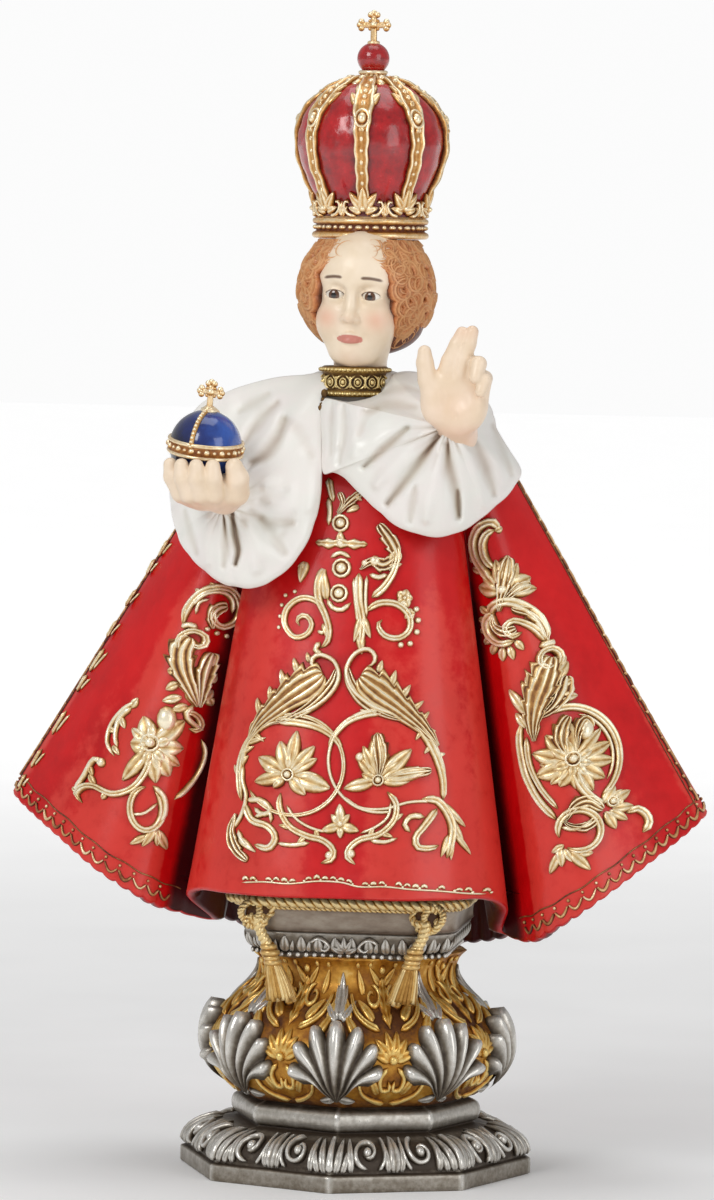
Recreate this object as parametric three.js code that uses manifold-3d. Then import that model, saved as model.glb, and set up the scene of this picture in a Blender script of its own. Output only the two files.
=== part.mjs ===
// Painted cast figure of a crowned child in a wide embroidered robe, standing on a baroque pedestal.
// Millimetres, +Z up. The origin is the centre of the plinth's underside. The figure faces -Y,
// and +X is to the right of somebody who looks at its face.
import * as THREE from 'three';
import { mergeVertices } from 'three/addons/utils/BufferGeometryUtils.js';
import Module from 'manifold-3d';

// ---------------------------------------------------------------- driving dimensions (mm)
const TOTAL_H = 300;            // underside of the plinth to the top of the crown's cross
const GAP = 0.3;                // clearance between a piece and what it rests on

const PLINTH_R = 46;            // octagon, centre to corner
const FILLET_H = 4.2;           // plain band round the foot
const OVOLO_TOP = 13;           // top of the carved quarter round
const STEP_TOP = 19;            // top of the round-nosed step
const BULB_R = 39.3;            // widest part of the bulb, centre to corner
const BULB_Z = 33;              // height of the widest part
const NECK_R = 25.8;            // narrowest part under the cushion
const NECK_Z = 51.6;
const ABACUS_Z0 = 58, ABACUS_Z1 = 64.2;      // leaf moulding under the cushion
const CUSHION_TOP = 73.7;       // top of the cushion's piping
const CUSHION_X = 30, CUSHION_Y = 30.5;      // half sizes of the cushion
const LEAF_H = 19.4, LEAF_W = 24, LEAF_Z = 22.6;     // size of one leaf on the bulb and the level of its foot
const KNOT_X = 22, TASSEL_L = 23.5;          // tassels: knots off the centre, and knot to the end of the fringe

const ROBE_TOP = 186;           // level where the robe disappears under the cape
const ROBE_FLOOR = CUSHION_TOP + GAP;        // the figure's foot on the cushion
const HEM_T = 4.2;              // thickness of the robe's edge
const HEAD_C = [0.5, -6.5, 226];             // centre of the head
const HEAD_YAW = -6;            // degrees, the head turns a little to -X
const CROWN_Z = 241;            // underside of the crown's band
const CROWN_R = 19.6;           // widest part of the crown
const BAND_R = 14.8;            // crown band
const ORB_C = [-35.1, -42, 188.2], ORB_R = 9.3;
const HAND_R = [27.6, -40, 201.5];           // palm of the raised hand
const FINENESS = 0.18;          // how far a facet may lie from the drawn surface

// ---------------------------------------------------------------- small helpers
const D2R = Math.PI / 180;
const lerp = (a, b, t) => a + (b - a) * t;
const clamp = (x, a, b) => Math.min(b, Math.max(a, x));
const smooth = (a, b, x) => { const t = clamp((x - a) / (b - a), 0, 1); return t * t * (3 - 2 * t); };
const gauss = (x, s) => Math.exp(-(x * x) / (2 * s * s));

function orient(g) {
  const p = g.attributes.position, ix = g.index;
  let vol = 0;
  for (let i = 0; i < ix.count; i += 3) {
    const [a, b, c] = [ix.getX(i), ix.getX(i + 1), ix.getX(i + 2)];
    vol += p.getX(a) * (p.getY(b) * p.getZ(c) - p.getZ(b) * p.getY(c))
         + p.getY(a) * (p.getZ(b) * p.getX(c) - p.getX(b) * p.getZ(c))
         + p.getZ(a) * (p.getX(b) * p.getY(c) - p.getY(b) * p.getX(c));
  }
  if (vol < 0) for (let i = 0; i < ix.count; i += 3) { const t = ix.getX(i + 1); ix.setX(i + 1, ix.getX(i + 2)); ix.setX(i + 2, t); }
  return g;
}

function mesh3(points, tris) {
  const g = new THREE.BufferGeometry();
  g.setAttribute('position', new THREE.Float32BufferAttribute(points.flat(), 3));
  g.setIndex(tris.flat());
  return orient(g);
}

// closed skin over a stack of rings, each with the same number of points; the ends are fans
function loft(rings) {
  const n = rings[0].length, pts = rings.flat(), tris = [];
  for (let r = 0; r + 1 < rings.length; r++)
    for (let i = 0; i < n; i++) {
      const a = r * n + i, b = r * n + (i + 1) % n, c = a + n, d = b + n;
      tris.push([a, b, d], [a, d, c]);
    }
  for (const [r, flip] of [[0, true], [rings.length - 1, false]]) {
    const c = [0, 1, 2].map(k => rings[r].reduce((s, p) => s + p[k], 0) / n);
    pts.push(c);
    const ci = pts.length - 1;
    for (let i = 0; i < n; i++) {
      const a = r * n + i, b = r * n + (i + 1) % n;
      tris.push(flip ? [ci, b, a] : [ci, a, b]);
    }
  }
  return mesh3(pts, tris);
}

const wasm = await Module();
wasm.setup();
function solid(geometry) {
  let g = geometry.clone();
  g.deleteAttribute('normal'); g.deleteAttribute('uv');
  g = orient(mergeVertices(g, 1e-4));
  return new wasm.Manifold(new wasm.Mesh({
    numProp: 3,
    vertProperties: new Float32Array(g.attributes.position.array),
    triVerts: new Uint32Array(g.index.array),
  }));
}
const join = list => list.map(g => solid(g)).reduce((a, b) => a.add(b));
function geometryOf(m) {
  const me = m.getMesh(), g = new THREE.BufferGeometry(), k = me.numProp, n = me.vertProperties.length / k;
  const p = new Float32Array(n * 3);
  for (let i = 0; i < n; i++) for (let j = 0; j < 3; j++) p[i * 3 + j] = me.vertProperties[i * k + j];
  g.setAttribute('position', new THREE.BufferAttribute(p, 3));
  g.setIndex(Array.from(me.triVerts));
  g.computeVertexNormals();
  return g;
}

// ball stretched along its axes, turned by Euler angles in degrees
function blob(c, r, rot = [0, 0, 0], ws = 9, hs = 6) {
  const g = new THREE.SphereGeometry(1, ws, hs);
  g.scale(...r);
  g.applyMatrix4(new THREE.Matrix4().makeRotationFromEuler(new THREE.Euler(...rot.map(v => v * D2R))));
  g.translate(...c);
  return g;
}

// round bar through a list of points with a radius at each, rounded at both ends
function limb(points, radii, seg = 6) {
  const P = points.map(p => new THREE.Vector3(...p));
  const rings = [];
  const dir = i => P[Math.min(i + 1, P.length - 1)].clone().sub(P[Math.max(i - 1, 0)]).normalize();
  const side0 = new THREE.Vector3(1, 0, 0);
  const ring = (c, d, r) => {
    const u = new THREE.Vector3().crossVectors(d, side0).normalize();
    const v = new THREE.Vector3().crossVectors(d, u);
    return Array.from({ length: seg }, (_, k) => {
      const a = k / seg * 2 * Math.PI;
      return c.clone().addScaledVector(u, r * Math.cos(a)).addScaledVector(v, r * Math.sin(a)).toArray();
    });
  };
  const d0 = dir(0), dn = dir(P.length - 1);
  rings.push(ring(P[0].clone().addScaledVector(d0, -0.8 * radii[0]), d0, radii[0] * 0.55));
  P.forEach((p, i) => rings.push(ring(p, dir(i), radii[i])));
  const rn = radii[radii.length - 1];
  rings.push(ring(P[P.length - 1].clone().addScaledVector(dn, 0.8 * rn), dn, rn * 0.55));
  return loft(rings);
}

// ---------------------------------------------------------------- robe
// Each row: a point of the hem, then the point above it where the robe goes under the cape.
// Front centre, round the +X side, to the middle of the back.
const ROBE_HALF = [
  [0, -47, 75.6, 0, -20.5],
  [15, -46, 75.4, 8.5, -20],
  [28.5, -40.5, 75.4, 16.5, -18],
  [37.5, -31.5, 75, 21.5, -14.5],
  [41.5, -22.5, 71.5, 24, -10.5],
  [39.5, -14, 64.5, 24.5, -8],
  [45.5, -18.5, 63.5, 27, -9.5],
  [53, -26.5, 67.5, 29.5, -11],
  [64, -27.5, 74.5, 31.5, -9.5],
  [75.5, -19.5, 83.2, 33.8, -6],
  [85.5, -8.5, 91.2, 35, -3],
  [89.6, -2, 95.2, 35.4, -1],
  [88.6, 4, 95, 35.2, 1.5],
  [79, 14, 87, 33.2, 5],
  [66, 24, 75.5, 30, 9],
  [52, 30.5, 66.5, 25, 12.5],
  [44, 31, 62, 21.5, 13],
  [32, 38.5, 57.5, 15.5, 16],
  [16, 41.5, 55.5, 8, 17.5],
  [0, 40, 55, 0, 17.5],
];
const LEFT_LIFT = [0, 0, 0, 0, 0.5, 1, 5, 5.4, 5, 4, 2, 0.8, 0.5, 2, 2, 2, 1, 0.5, 0.3, 0];   // the other wing hangs a little higher
const ROBE_N = 83;              // points round one ring, odd so that none doubles a control point

function robeCurves() {
  const half = ROBE_HALF;
  const wide = x => 1 + 0.018 * smooth(40, 90, x);
  const left = half.map((r, i) => [-r[0] * wide(r[0]), r[1], r[2] + LEFT_LIFT[i], -r[3] * wide(90), r[4]]).slice(1, -1).reverse();
  left[left.length - 5][0] = -36.5;
  const all = [...half, ...left];
  const hem = new THREE.CatmullRomCurve3(all.map(r => new THREE.Vector3(r[0], r[1], r[2])), true, 'catmullrom', 0.5);
  const top = new THREE.CatmullRomCurve3(all.map(r => new THREE.Vector3(r[3], r[4], ROBE_TOP)), true, 'catmullrom', 0.5);
  return { hem, top };
}

function robe() {
  const { hem, top } = robeCurves();
  const at = [], v = [0, 0.3, 0.65, 1];
  for (let i = 0; i < ROBE_N; i++) at.push([hem.getPoint(i / ROBE_N), top.getPoint(i / ROBE_N), i / ROBE_N]);
  const inward = (p, k) => { const r = Math.hypot(p.x, p.y); return [p.x * (1 - k / r), p.y * (1 - k / r)]; };
  const rings = v.map(t => at.map(([h, q]) => [lerp(q.x, h.x, t), lerp(q.y, h.y, t), lerp(q.z, h.z, t)]));
  // rounded edge, then the hollow underside that leaves the cushion free
  const back = p => smooth(-5, 30, p.y);
  rings.push(at.map(([h]) => [...inward(h, 1.3), h.z - 0.7]));
  rings.push(at.map(([h]) => [...inward(h, HEM_T - 0.6), h.z]));
  rings.push(at.map(([h]) => [...inward(h, HEM_T + lerp(1.3, 0.2, back(h))), Math.max(h.z + 6, ROBE_FLOOR + 1.2)]));
  rings.push(at.map(([, , s]) => { const f = s * 2 * Math.PI; return [26.5 * Math.sin(f), -26.5 * Math.cos(f), ROBE_FLOOR]; }));
  return loft(rings);
}

// ---------------------------------------------------------------- white gathered cape
// One row per outline point: x, z of the edge as seen from the front, y where the edge lies.
const CAPE_R = { wrist: [26.5, -38, 194], folds: 11, edge: [
  [7.9, 206.7, -6], [13, 207.2, -4], [21.9, 205.2, -2], [29.7, 202.2, -2], [33, 198, -3], [35, 192.5, -4],
  [38.4, 187.6, -6], [41.6, 182.4, -8], [40.2, 178.3, -12], [37.3, 174.4, -17.5], [33, 170.5, -22], [28.7, 167.4, -25.5],
  [24, 166, -27.5], [19, 166.3, -28], [12.8, 168.3, -28], [7.5, 171.9, -27.5], [2.1, 176.8, -26.5], [-2.2, 180.4, -25.5],
  [-4.8, 181.6, -25], [-7.4, 181.5, -24.5], [-8.2, 188, -22.5], [-9.2, 195.5, -18], [-9.6, 200.2, -14.5], [-2.2, 199.6, -17.8], [4.4, 201.2, -15], [7, 204.5, -10]] };
const CAPE_L = { wrist: [-31, -39, 173], folds: 9, edge: [
  [-8, 206.4, -8], [-16.8, 205.9, -5], [-24.9, 204.7, -3], [-31.4, 202.8, -2], [-36.5, 200.8, -3], [-42.5, 197.8, -4],
  [-46.9, 191, -7], [-48.6, 183, -9], [-49, 174.5, -11], [-47.4, 167.6, -14], [-44.3, 162, -19], [-39, 157.2, -25],
  [-32.7, 153.3, -28.5], [-26.7, 151.8, -30], [-20.3, 153.2, -30.5], [-14.7, 157.4, -30], [-10.8, 163.1, -28.5],
  [-8.6, 169, -27], [-7.6, 175, -26], [-7.4, 182, -24.5], [-8, 191, -20], [-8.6, 200, -14]] };
const CAPE_N = 29;

function cape({ wrist, folds, edge }) {
  const e = new THREE.CatmullRomCurve3(edge.map(([x, z, y]) => new THREE.Vector3(x, y, z)), true, 'catmullrom', 0.5);
  const rim = Array.from({ length: CAPE_N }, (_, i) => e.getPoint(i / CAPE_N));
  const s = [0.15, 0.42, 0.74, 0.96], rings = [];
  const fold = (p, k) => {
    const a = Math.atan2(p.x - wrist[0], -(p.z - wrist[2]));    // 0 = straight down from the wrist
    return 1.5 * k * (0.5 + 0.5 * Math.cos(folds * a)) * smooth(2.6, 1.8, Math.abs(a));
  };
  for (const k of s) rings.push(rim.map(p => {
    const y = lerp(wrist[1], p.y - 3.2, Math.pow(k, 1.25));
    return [lerp(wrist[0], p.x, k), y + fold(p, k), lerp(wrist[2], p.z, k)];
  }));
  rings.push(rim.map(p => [p.x, p.y, p.z]));
  const mid = [rim.reduce((t, p) => t + p.x, 0) / CAPE_N, rim.reduce((t, p) => t + p.z, 0) / CAPE_N];
  rings.push(rim.map(p => [lerp(p.x, mid[0], 0.12), Math.min(p.y + 7, 6), lerp(p.z, mid[1], 0.12)]));
  return loft(rings);
}

// shoulders and the cape's back, a ring at each level: z, half width, half depth, centre x, centre y
function capeBack() {
  const rows = [[207.2, 9, 8.5, -2, -5], [204.5, 17, 11.5, -1, -3], [199.5, 28.5, 14.5, -2, -1.5],
    [191, 36.5, 17.5, -3.5, 0.5], [180, 41.4, 21, -4.6, 2.5], [170, 42.8, 24, -5.4, 4], [165, 43, 25, -5.6, 4.4], [166.5, 36, 18, -4, 2]];
  return loft(rows.map(([z, a, b, cx, cy], k) => Array.from({ length: 26 }, (_, i) => {
    const f = i / 26 * 2 * Math.PI, w = k >= 3 ? 1 + 0.035 * Math.cos(9 * f) * Math.max(0, -Math.cos(f)) : 1;
    const lift = k >= 5 ? 13 * Math.max(0, Math.sin(f)) * smooth(-0.9, 0.2, Math.cos(f)) : 0;
    const front = Math.max(0, Math.cos(f));
    return [cx + a * w * Math.sin(f), cy - b * w * Math.cos(f) * (1 - 0.12 * front), z + lift];
  })));
}

// ---------------------------------------------------------------- head, hair and collar
// Direction (a, e): a = 0 to the front, e = 0 level. The face is a general one on even proportions.
function head() {
  const rx = 11.9, ry = 13.6, rz = 17.8, na = 24, ne = 15, rings = [];
  const bump = (a, e, a0, e0, sa, se) => gauss(a - a0, sa) * gauss(e - e0, se);
  for (let j = 1; j < ne; j++) {
    const e = lerp(-84, 84, (j - 1) / (ne - 2));
    rings.push(Array.from({ length: na }, (_, i) => {
      const u = i / na * 2 - 1, a = 180 * (0.62 * u + 0.38 * u * u * u);    // denser in front
      let k = 1;
      k += 0.15 * bump(a, e, 0, -8, 6, 7) + 0.05 * bump(a, e, 0, 6, 6, 9);  // nose and bridge
      k -= 0.055 * (bump(a, e, 21, 4, 9, 6) + bump(a, e, -21, 4, 9, 6));    // eye hollows
      k += 0.03 * (bump(a, e, 21, 3, 5, 3.5) + bump(a, e, -21, 3, 5, 3.5)); // eyeballs
      k += 0.05 * (bump(a, e, 30, -16, 13, 11) + bump(a, e, -30, -16, 13, 11)); // cheeks
      k += 0.05 * bump(a, e, 0, -27, 10, 3.2) - 0.02 * bump(a, e, 0, -35, 9, 3); // lips
      k += 0.075 * bump(a, e, 0, -50, 16, 9);                              // chin
      const taper = 1 - 0.1 * smooth(-10, -60, e);
      const x = rx * k * taper * Math.cos(e * D2R) * Math.sin(a * D2R);
      const y = -ry * k * Math.cos(e * D2R) * Math.cos(a * D2R);
      return [x, y, rz * (1 + (k - 1) * 0.4) * Math.sin(e * D2R)];
    }));
  }
  const g = loft(rings);
  g.rotateZ(HEAD_YAW * D2R);
  g.translate(HEAD_C[0] - 1.2, HEAD_C[1] - 1.5, HEAD_C[2]);
  return g;
}

function hair() {
  const rx = 17.4, ry = 16.4, rz = 17.5, na = 24, ne = 11, rings = [];
  for (let j = 1; j < ne; j++) {
    const e = lerp(-62, 80, (j - 1) / (ne - 2));
    rings.push(Array.from({ length: na }, (_, i) => {
      const a = i / na * 360 - 180;
      const k = 1 + 0.045 * Math.cos(8 * a * D2R + (j % 2) * Math.PI) * Math.cos(e * D2R);
      return [rx * k * Math.cos(e * D2R) * Math.sin(a * D2R), -ry * k * Math.cos(e * D2R) * Math.cos(a * D2R), rz * k * Math.sin(e * D2R)];
    }));
  }
  const g = loft(rings);
  g.translate(HEAD_C[0] + 0.2, HEAD_C[1] + 3.5, HEAD_C[2] + 1.2);
  return g;
}

function headWithHair() {
  const cutFace = blob([HEAD_C[0] - 1.6, HEAD_C[1] - 15.5, HEAD_C[2] - 8], [10.8, 15.5, 18.6], [0, 0, HEAD_YAW], 14, 10);
  const flat = new THREE.BoxGeometry(60, 60, 30);
  flat.translate(0, 0, CROWN_Z - GAP + 15);
  return solid(hair()).subtract(solid(cutFace)).add(solid(head())).subtract(solid(flat));
}

function collar() {
  const prof = [[200.5, 7.6], [201.8, 8.9], [204.5, 8.7], [207.3, 8.9], [208.4, 7.6]];
  return loft(prof.map(([z, r]) => Array.from({ length: 16 }, (_, i) => {
    const f = i / 16 * 2 * Math.PI;
    return [-2 + r * Math.sin(f), -9.5 - r * Math.cos(f), z];
  })));
}

// ---------------------------------------------------------------- hands
function raisedHand() {
  const [x, y, z] = HAND_R;
  return [
    blob([x, y, z - 0.5], [8.5, 4.2, 8.3]),
    limb([[x - 4.5, y, z - 3], [x - 6.4, y - 1.2, z + 5], [x - 7.2, y - 1.8, z + 11.8]], [3.8, 2.9, 2.1]),
    limb([[x - 2, y, z + 3], [x - 0.2, y - 0.6, z + 10], [x + 1.7, y - 1, z + 16.9]], [3.6, 3, 2.3]),
    limb([[x + 3, y, z + 3], [x + 3.6, y - 0.6, z + 10], [x + 4.7, y - 1.2, z + 15.9]], [3.6, 3, 2.3]),
    limb([[x + 5, y + 0.4, z + 1], [x + 6.6, y - 1, z + 6.6], [x + 6.8, y - 3.8, z + 4.6]], [3.6, 2.9, 2.4]),
    limb([[x, y + 2, z - 3], [x - 1, y + 8, z - 8]], [5.4, 5.4]),
  ];
}

function orbHand() {
  const [x, y, z] = ORB_C, out = [];
  out.push(blob([x + 1.6, y + 1.5, z - 10.6], [9.8, 8.5, 5.6], [0, 0, 0], 14, 9));
  for (let i = 0; i < 4; i++) {
    const a = lerp(-50, 22, i / 3) * D2R, s = Math.sin(a), c = Math.cos(a);   // fingers round the front
    out.push(limb([[x + 1.4 + 4 * s, y - 4 * c, z - 13.6], [x + 0.8 + 8 * s, y - 8.6 * c, z - 10.8],
      [x + 9.2 * s, y - 10.2 * c, z - 6.4]], [3.2, 3.1, 2.5]));
  }
  out.push(limb([[x + 6, y - 1, z - 12.5], [x + 8.8, y - 5, z - 9], [x + 8.4, y - 7.4, z - 6]], [4.4, 4, 3.2]));
  out.push(limb([[x + 3, y + 2, z - 11], [x + 5, y + 14, z - 11]], [5.6, 6]));
  return out;
}

function orbSolid() {
  const [x, y, z] = ORB_C;
  const ball = new THREE.SphereGeometry(ORB_R, 16, 10);
  ball.rotateX(Math.PI / 2);
  const band = new THREE.LatheGeometry([[ORB_R - 1.5, -1.5], [ORB_R + 0.45, -1.5], [ORB_R + 0.45, 1.5], [ORB_R - 1.5, 1.5], [ORB_R - 1.5, -1.5]]
    .map(p => new THREE.Vector2(...p)), 16);
  band.rotateX(Math.PI / 2);
  const arch = new THREE.TorusGeometry(ORB_R - 0.2, 0.8, 4, 16);
  arch.rotateY(Math.PI / 2);
  const all = [ball, band, arch, ...crossParts([0, 0, ORB_R - 0.3], 8.3, 6.6, 1.15)];
  const g = geometryOf(join(all));
  g.rotateX(8 * D2R); g.rotateY(6 * D2R);
  g.translate(x, y, z);
  return solid(g);
}

// cross with three-lobed ends standing on a point: height, width, thickness
function crossParts([x, y, z], h, w, t) {
  const post = new THREE.BoxGeometry(t * 1.1, t, h - t * 0.8);
  post.translate(x, y, z + (h - t * 0.8) / 2);
  const cz = z + h * 0.55;
  const arm = new THREE.BoxGeometry(w - 1.6 * t, t, t * 1.1);
  arm.translate(x, y, cz);
  const tip = [[0, h - t], [-(w / 2 - t * 0.9), h * 0.55], [w / 2 - t * 0.9, h * 0.55]];
  return [post, arm, ...tip.map(([dx, dz]) => blob([x + dx, y, z + dz], [t * 1.05, t * 0.7, t], [0, 0, 0], 6, 5))];
}

// ---------------------------------------------------------------- crown
function crownSolid() {
  // z, radius, how far the eight ribs stand out, how far the leaves at their feet stand out
  const rows = [[CROWN_Z, 13.4, 0, 0], [CROWN_Z + 0.8, BAND_R - 0.2, 0, 0], [CROWN_Z + 1.8, BAND_R + 0.2, 0, 0],
    [CROWN_Z + 2.8, BAND_R - 0.4, 0, 0], [CROWN_Z + 4.2, BAND_R + 0.1, 0, 0], [CROWN_Z + 5.4, BAND_R - 0.6, 0, 0],
    [248.8, 14.1, 0.3, 0.7], [251, 14.4, 0.6, 0.9], [253.6, 15.7, 0.8, 0.5], [257, 17.4, 0.8, 0], [261.5, 19, 0.8, 0],
    [266, CROWN_R, 0.8, 0], [270.5, 19, 0.8, 0], [274.6, 16.9, 0.9, 0], [278.2, 13.4, 0.8, 0], [281, 8.6, 0.4, 0],
    [282.3, 4.6, 0, 0], [283.6, 3.4, 0, 0]];
  const n = 32;
  const body = loft(rows.map(([z, r, rib, leaf]) => Array.from({ length: n }, (_, i) => {
    const f = i / n * 2 * Math.PI, c = Math.cos(8 * f);
    const k = r + rib * smooth(0.1, 0.7, c) + leaf * smooth(-0.6, 0.2, c) - (rib + leaf > 0 ? 0.35 : 0);
    return [k * Math.sin(f), -k * Math.cos(f), z];
  })));
  const ball = blob([0, 0, 287.2], [4.2, 4.2, 4.2], [90, 0, 0], 12, 8);
  return join([body, ball, ...crossParts([0, 0, 290.6], TOTAL_H - 290.6, 8.8, 1.25)]);
}

// ---------------------------------------------------------------- pedestal
// Octagonal section with a corner to the front, softened towards a circle by k.
const oct = (R, f, k = 0) => {
  const m = ((f / D2R) % 45 + 45) % 45 - 22.5;
  return lerp(R * Math.cos(22.5 * D2R) / Math.cos(m * D2R), R, k);
};

// z, radius to a corner, roundness
const PROFILE = [[0, PLINTH_R, 0], [FILLET_H, PLINTH_R, 0], [FILLET_H + 0.3, PLINTH_R - 0.9, 0],
  [7.6, PLINTH_R - 1.8, 0], [10.4, PLINTH_R - 5, 0], [12.2, PLINTH_R - 9.2, 0], [OVOLO_TOP, PLINTH_R - 14, 0],
  [OVOLO_TOP + 0.6, 31.2, 0], [OVOLO_TOP + 3, 32.4, 0], [STEP_TOP - 0.8, 31.2, 0], [STEP_TOP, 29.6, 0.1],
  [21.6, 33.2, 0.35], [25.5, 36.8, 0.35], [29.5, 38.8, 0.35], [BULB_Z, BULB_R, 0.35], [36.6, 38.4, 0.35],
  [40.4, 35.8, 0.35], [44.4, 31.8, 0.35], [48, 27.8, 0.35], [NECK_Z, NECK_R, 0.35], [55.4, 26.4, 0.4], [57.6, 28.6, 0.4]];

function bulbRadius(z) {
  for (let i = 1; i < PROFILE.length; i++)
    if (z <= PROFILE[i][0]) return lerp(PROFILE[i - 1][1], PROFILE[i][1], (z - PROFILE[i - 1][0]) / (PROFILE[i][0] - PROFILE[i - 1][0]));
  return NECK_R;
}

function pedestalBody() {
  const n = 32;
  return loft(PROFILE.map(([z, R, k]) => Array.from({ length: n }, (_, i) => {
    const f = i / n * 2 * Math.PI, r = oct(R, f, k);
    return [r * Math.sin(f), -r * Math.cos(f), z];
  })));
}

// One palmette leaf on a corner of the bulb: its edge is scalloped in lobes that fan out from the foot.
const LEAF_LOBES = 5, LEAF_N = 15;
function leaf(corner) {
  const f0 = corner * 45 * D2R;
  const on = (u, z, lift) => {           // u across, z up, on the bulb's surface
    const R = bulbRadius(z) + lift, f = f0 + u / R;
    return [R * Math.sin(f), -R * Math.cos(f), z];
  };
  const edge = (k, grow, lift) => {
    const t = k / (LEAF_N - 1) * 2 - 1, a = t * 100 * D2R;
    const lobe = 1 - 0.13 * Math.abs(Math.sin(t * Math.PI * LEAF_LOBES / 2)) ;
    const x = Math.sin(a) * LEAF_W / 2 * lobe * grow, y = (0.36 + 0.64 * Math.cos(a) * lobe * grow) * LEAF_H;
    return on(x, LEAF_Z + Math.max(y, 0.3), lift);
  };
  const ring = (grow, lift) => Array.from({ length: LEAF_N }, (_, k) => edge(k, grow, lift));
  return solid(loft([ring(0.96, -1.6), ring(1, 0.9), ring(0.6, 1.5)]));
}

// cushion outline: a square with its corners cut, bulging a little
function cushionRing(z, grow) {
  const hx = CUSHION_X + grow, hy = CUSHION_Y + grow, c = 9;
  const pts = [];
  const corner = [[-hx + c, -hy], [hx - c, -hy], [hx, -hy + c], [hx, hy - c], [hx - c, hy], [-hx + c, hy], [-hx, hy - c], [-hx, -hy + c]];
  corner.forEach((p, i) => { const q = corner[(i + 1) % 8]; for (const t of [0, 0.5]) pts.push([lerp(p[0], q[0], t), lerp(p[1], q[1], t), z]); });
  return pts;
}
function cushion() {
  const rows = [[56.6, -6.5], [ABACUS_Z0, -4.6], [60, -3.2], [62.4, -2.6], [ABACUS_Z1, -3.4], [ABACUS_Z1 + 0.5, -2.2], [67.6, -1],
    [70.6, -1.2], [71.2, 0.4], [72.6, 0.8], [CUSHION_TOP, -0.4]];
  return loft(rows.map(([z, g]) => cushionRing(z, g)));
}

// Tassel: down the drop, offset towards the middle, radius. It hangs from a knot on the cushion's corner.
function tassel(side) {
  const rows = [[1.4, 0, 1.4], [0, 0, 3.6], [-4, 0.3, 4.1], [-7.4, 1.8, 2.6], [-9.4, 3.2, 2], [-12.6, 4.6, 2.3], [-14, 5.2, 2.6], [-TASSEL_L + 3, 6.6, 3.4], [-TASSEL_L, 6.8, 3.5]];
  return loft(rows.map(([dz, dx, r]) => Array.from({ length: 8 }, (_, j) => {
    const f = j / 8 * 2 * Math.PI;
    return [side * (KNOT_X - dx) + r * Math.sin(f), -CUSHION_Y + 1.6 + dx * 0.18 - r * Math.cos(f), 70.6 + dz];
  })));
}

function pedestalSolid() {
  let all = join([pedestalBody(), cushion(), tassel(-1), tassel(1)]);
  for (let k = 0; k < 8; k++) all = all.add(leaf(k));
  return all;
}

// ---------------------------------------------------------------- pieces
const paint = {
  figure: new THREE.MeshStandardMaterial({ color: 0xb0151c, roughness: 0.35, metalness: 0 }),
  crown: new THREE.MeshStandardMaterial({ color: 0xc9a25a, roughness: 0.35, metalness: 0.3 }),
  orb: new THREE.MeshStandardMaterial({ color: 0x1c3f86, roughness: 0.2, metalness: 0 }),
  pedestal: new THREE.MeshStandardMaterial({ color: 0x9c8f7a, roughness: 0.4, metalness: 0.3 }),
};
function piece(name, geometry, material) {
  const m = new THREE.Mesh(geometry, material);
  m.name = name;
  return m;
}

let figure = join([robe(), cape(CAPE_L), cape(CAPE_R), capeBack(), collar(), ...raisedHand(), ...orbHand()]).add(headWithHair());
// the orb lies in a seat that clears it by the gap
const seat = blob(ORB_C, [ORB_R + 1, ORB_R + 1, ORB_R + 1], [90, 0, 0], 18, 12);
figure = figure.subtract(solid(seat)).simplify(FINENESS);
// the cape lies on the robe with no pocket left between them
figure = figure.decompose().reduce((a, b) => (b.volume() > a.volume() ? b : a));

const statue = new THREE.Group();
statue.add(piece('figure', geometryOf(figure), paint.figure));
statue.add(piece('crown', geometryOf(crownSolid().simplify(FINENESS)), paint.crown));
statue.add(piece('orb', geometryOf(orbSolid().simplify(FINENESS)), paint.orb));
statue.add(piece('pedestal', geometryOf(pedestalSolid().simplify(FINENESS)), paint.pedestal));

export default statue;
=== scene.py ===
import math

import bpy
import numpy as np
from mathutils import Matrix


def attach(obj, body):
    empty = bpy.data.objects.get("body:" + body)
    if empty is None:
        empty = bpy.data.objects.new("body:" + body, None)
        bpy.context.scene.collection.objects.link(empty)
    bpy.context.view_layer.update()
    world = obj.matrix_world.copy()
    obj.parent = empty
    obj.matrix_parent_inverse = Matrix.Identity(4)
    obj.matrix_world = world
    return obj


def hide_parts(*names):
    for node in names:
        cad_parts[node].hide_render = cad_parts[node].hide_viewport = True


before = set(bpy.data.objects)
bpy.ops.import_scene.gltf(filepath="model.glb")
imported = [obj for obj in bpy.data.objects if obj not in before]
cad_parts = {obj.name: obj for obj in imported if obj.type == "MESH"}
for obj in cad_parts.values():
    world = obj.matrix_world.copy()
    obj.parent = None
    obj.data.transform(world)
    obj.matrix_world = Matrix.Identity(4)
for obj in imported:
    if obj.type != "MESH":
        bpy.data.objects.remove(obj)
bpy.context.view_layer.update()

MM = 0.001
D2R = math.pi / 180
rng = np.random.default_rng(11)


# ------------------------------------------------------------------ numbers
def sm(a, b, x):
    t = np.clip((np.asarray(x, float) - a) / (b - a), 0, 1)
    return t * t * (3 - 2 * t)


def gs(x, s):
    return np.exp(-0.5 * (np.asarray(x, float) / s) ** 2)


def lerp(a, b, t):
    return a + (b - a) * t


def unit(v):
    return v / np.maximum(np.linalg.norm(v, axis=-1, keepdims=True), 1e-9)


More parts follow.
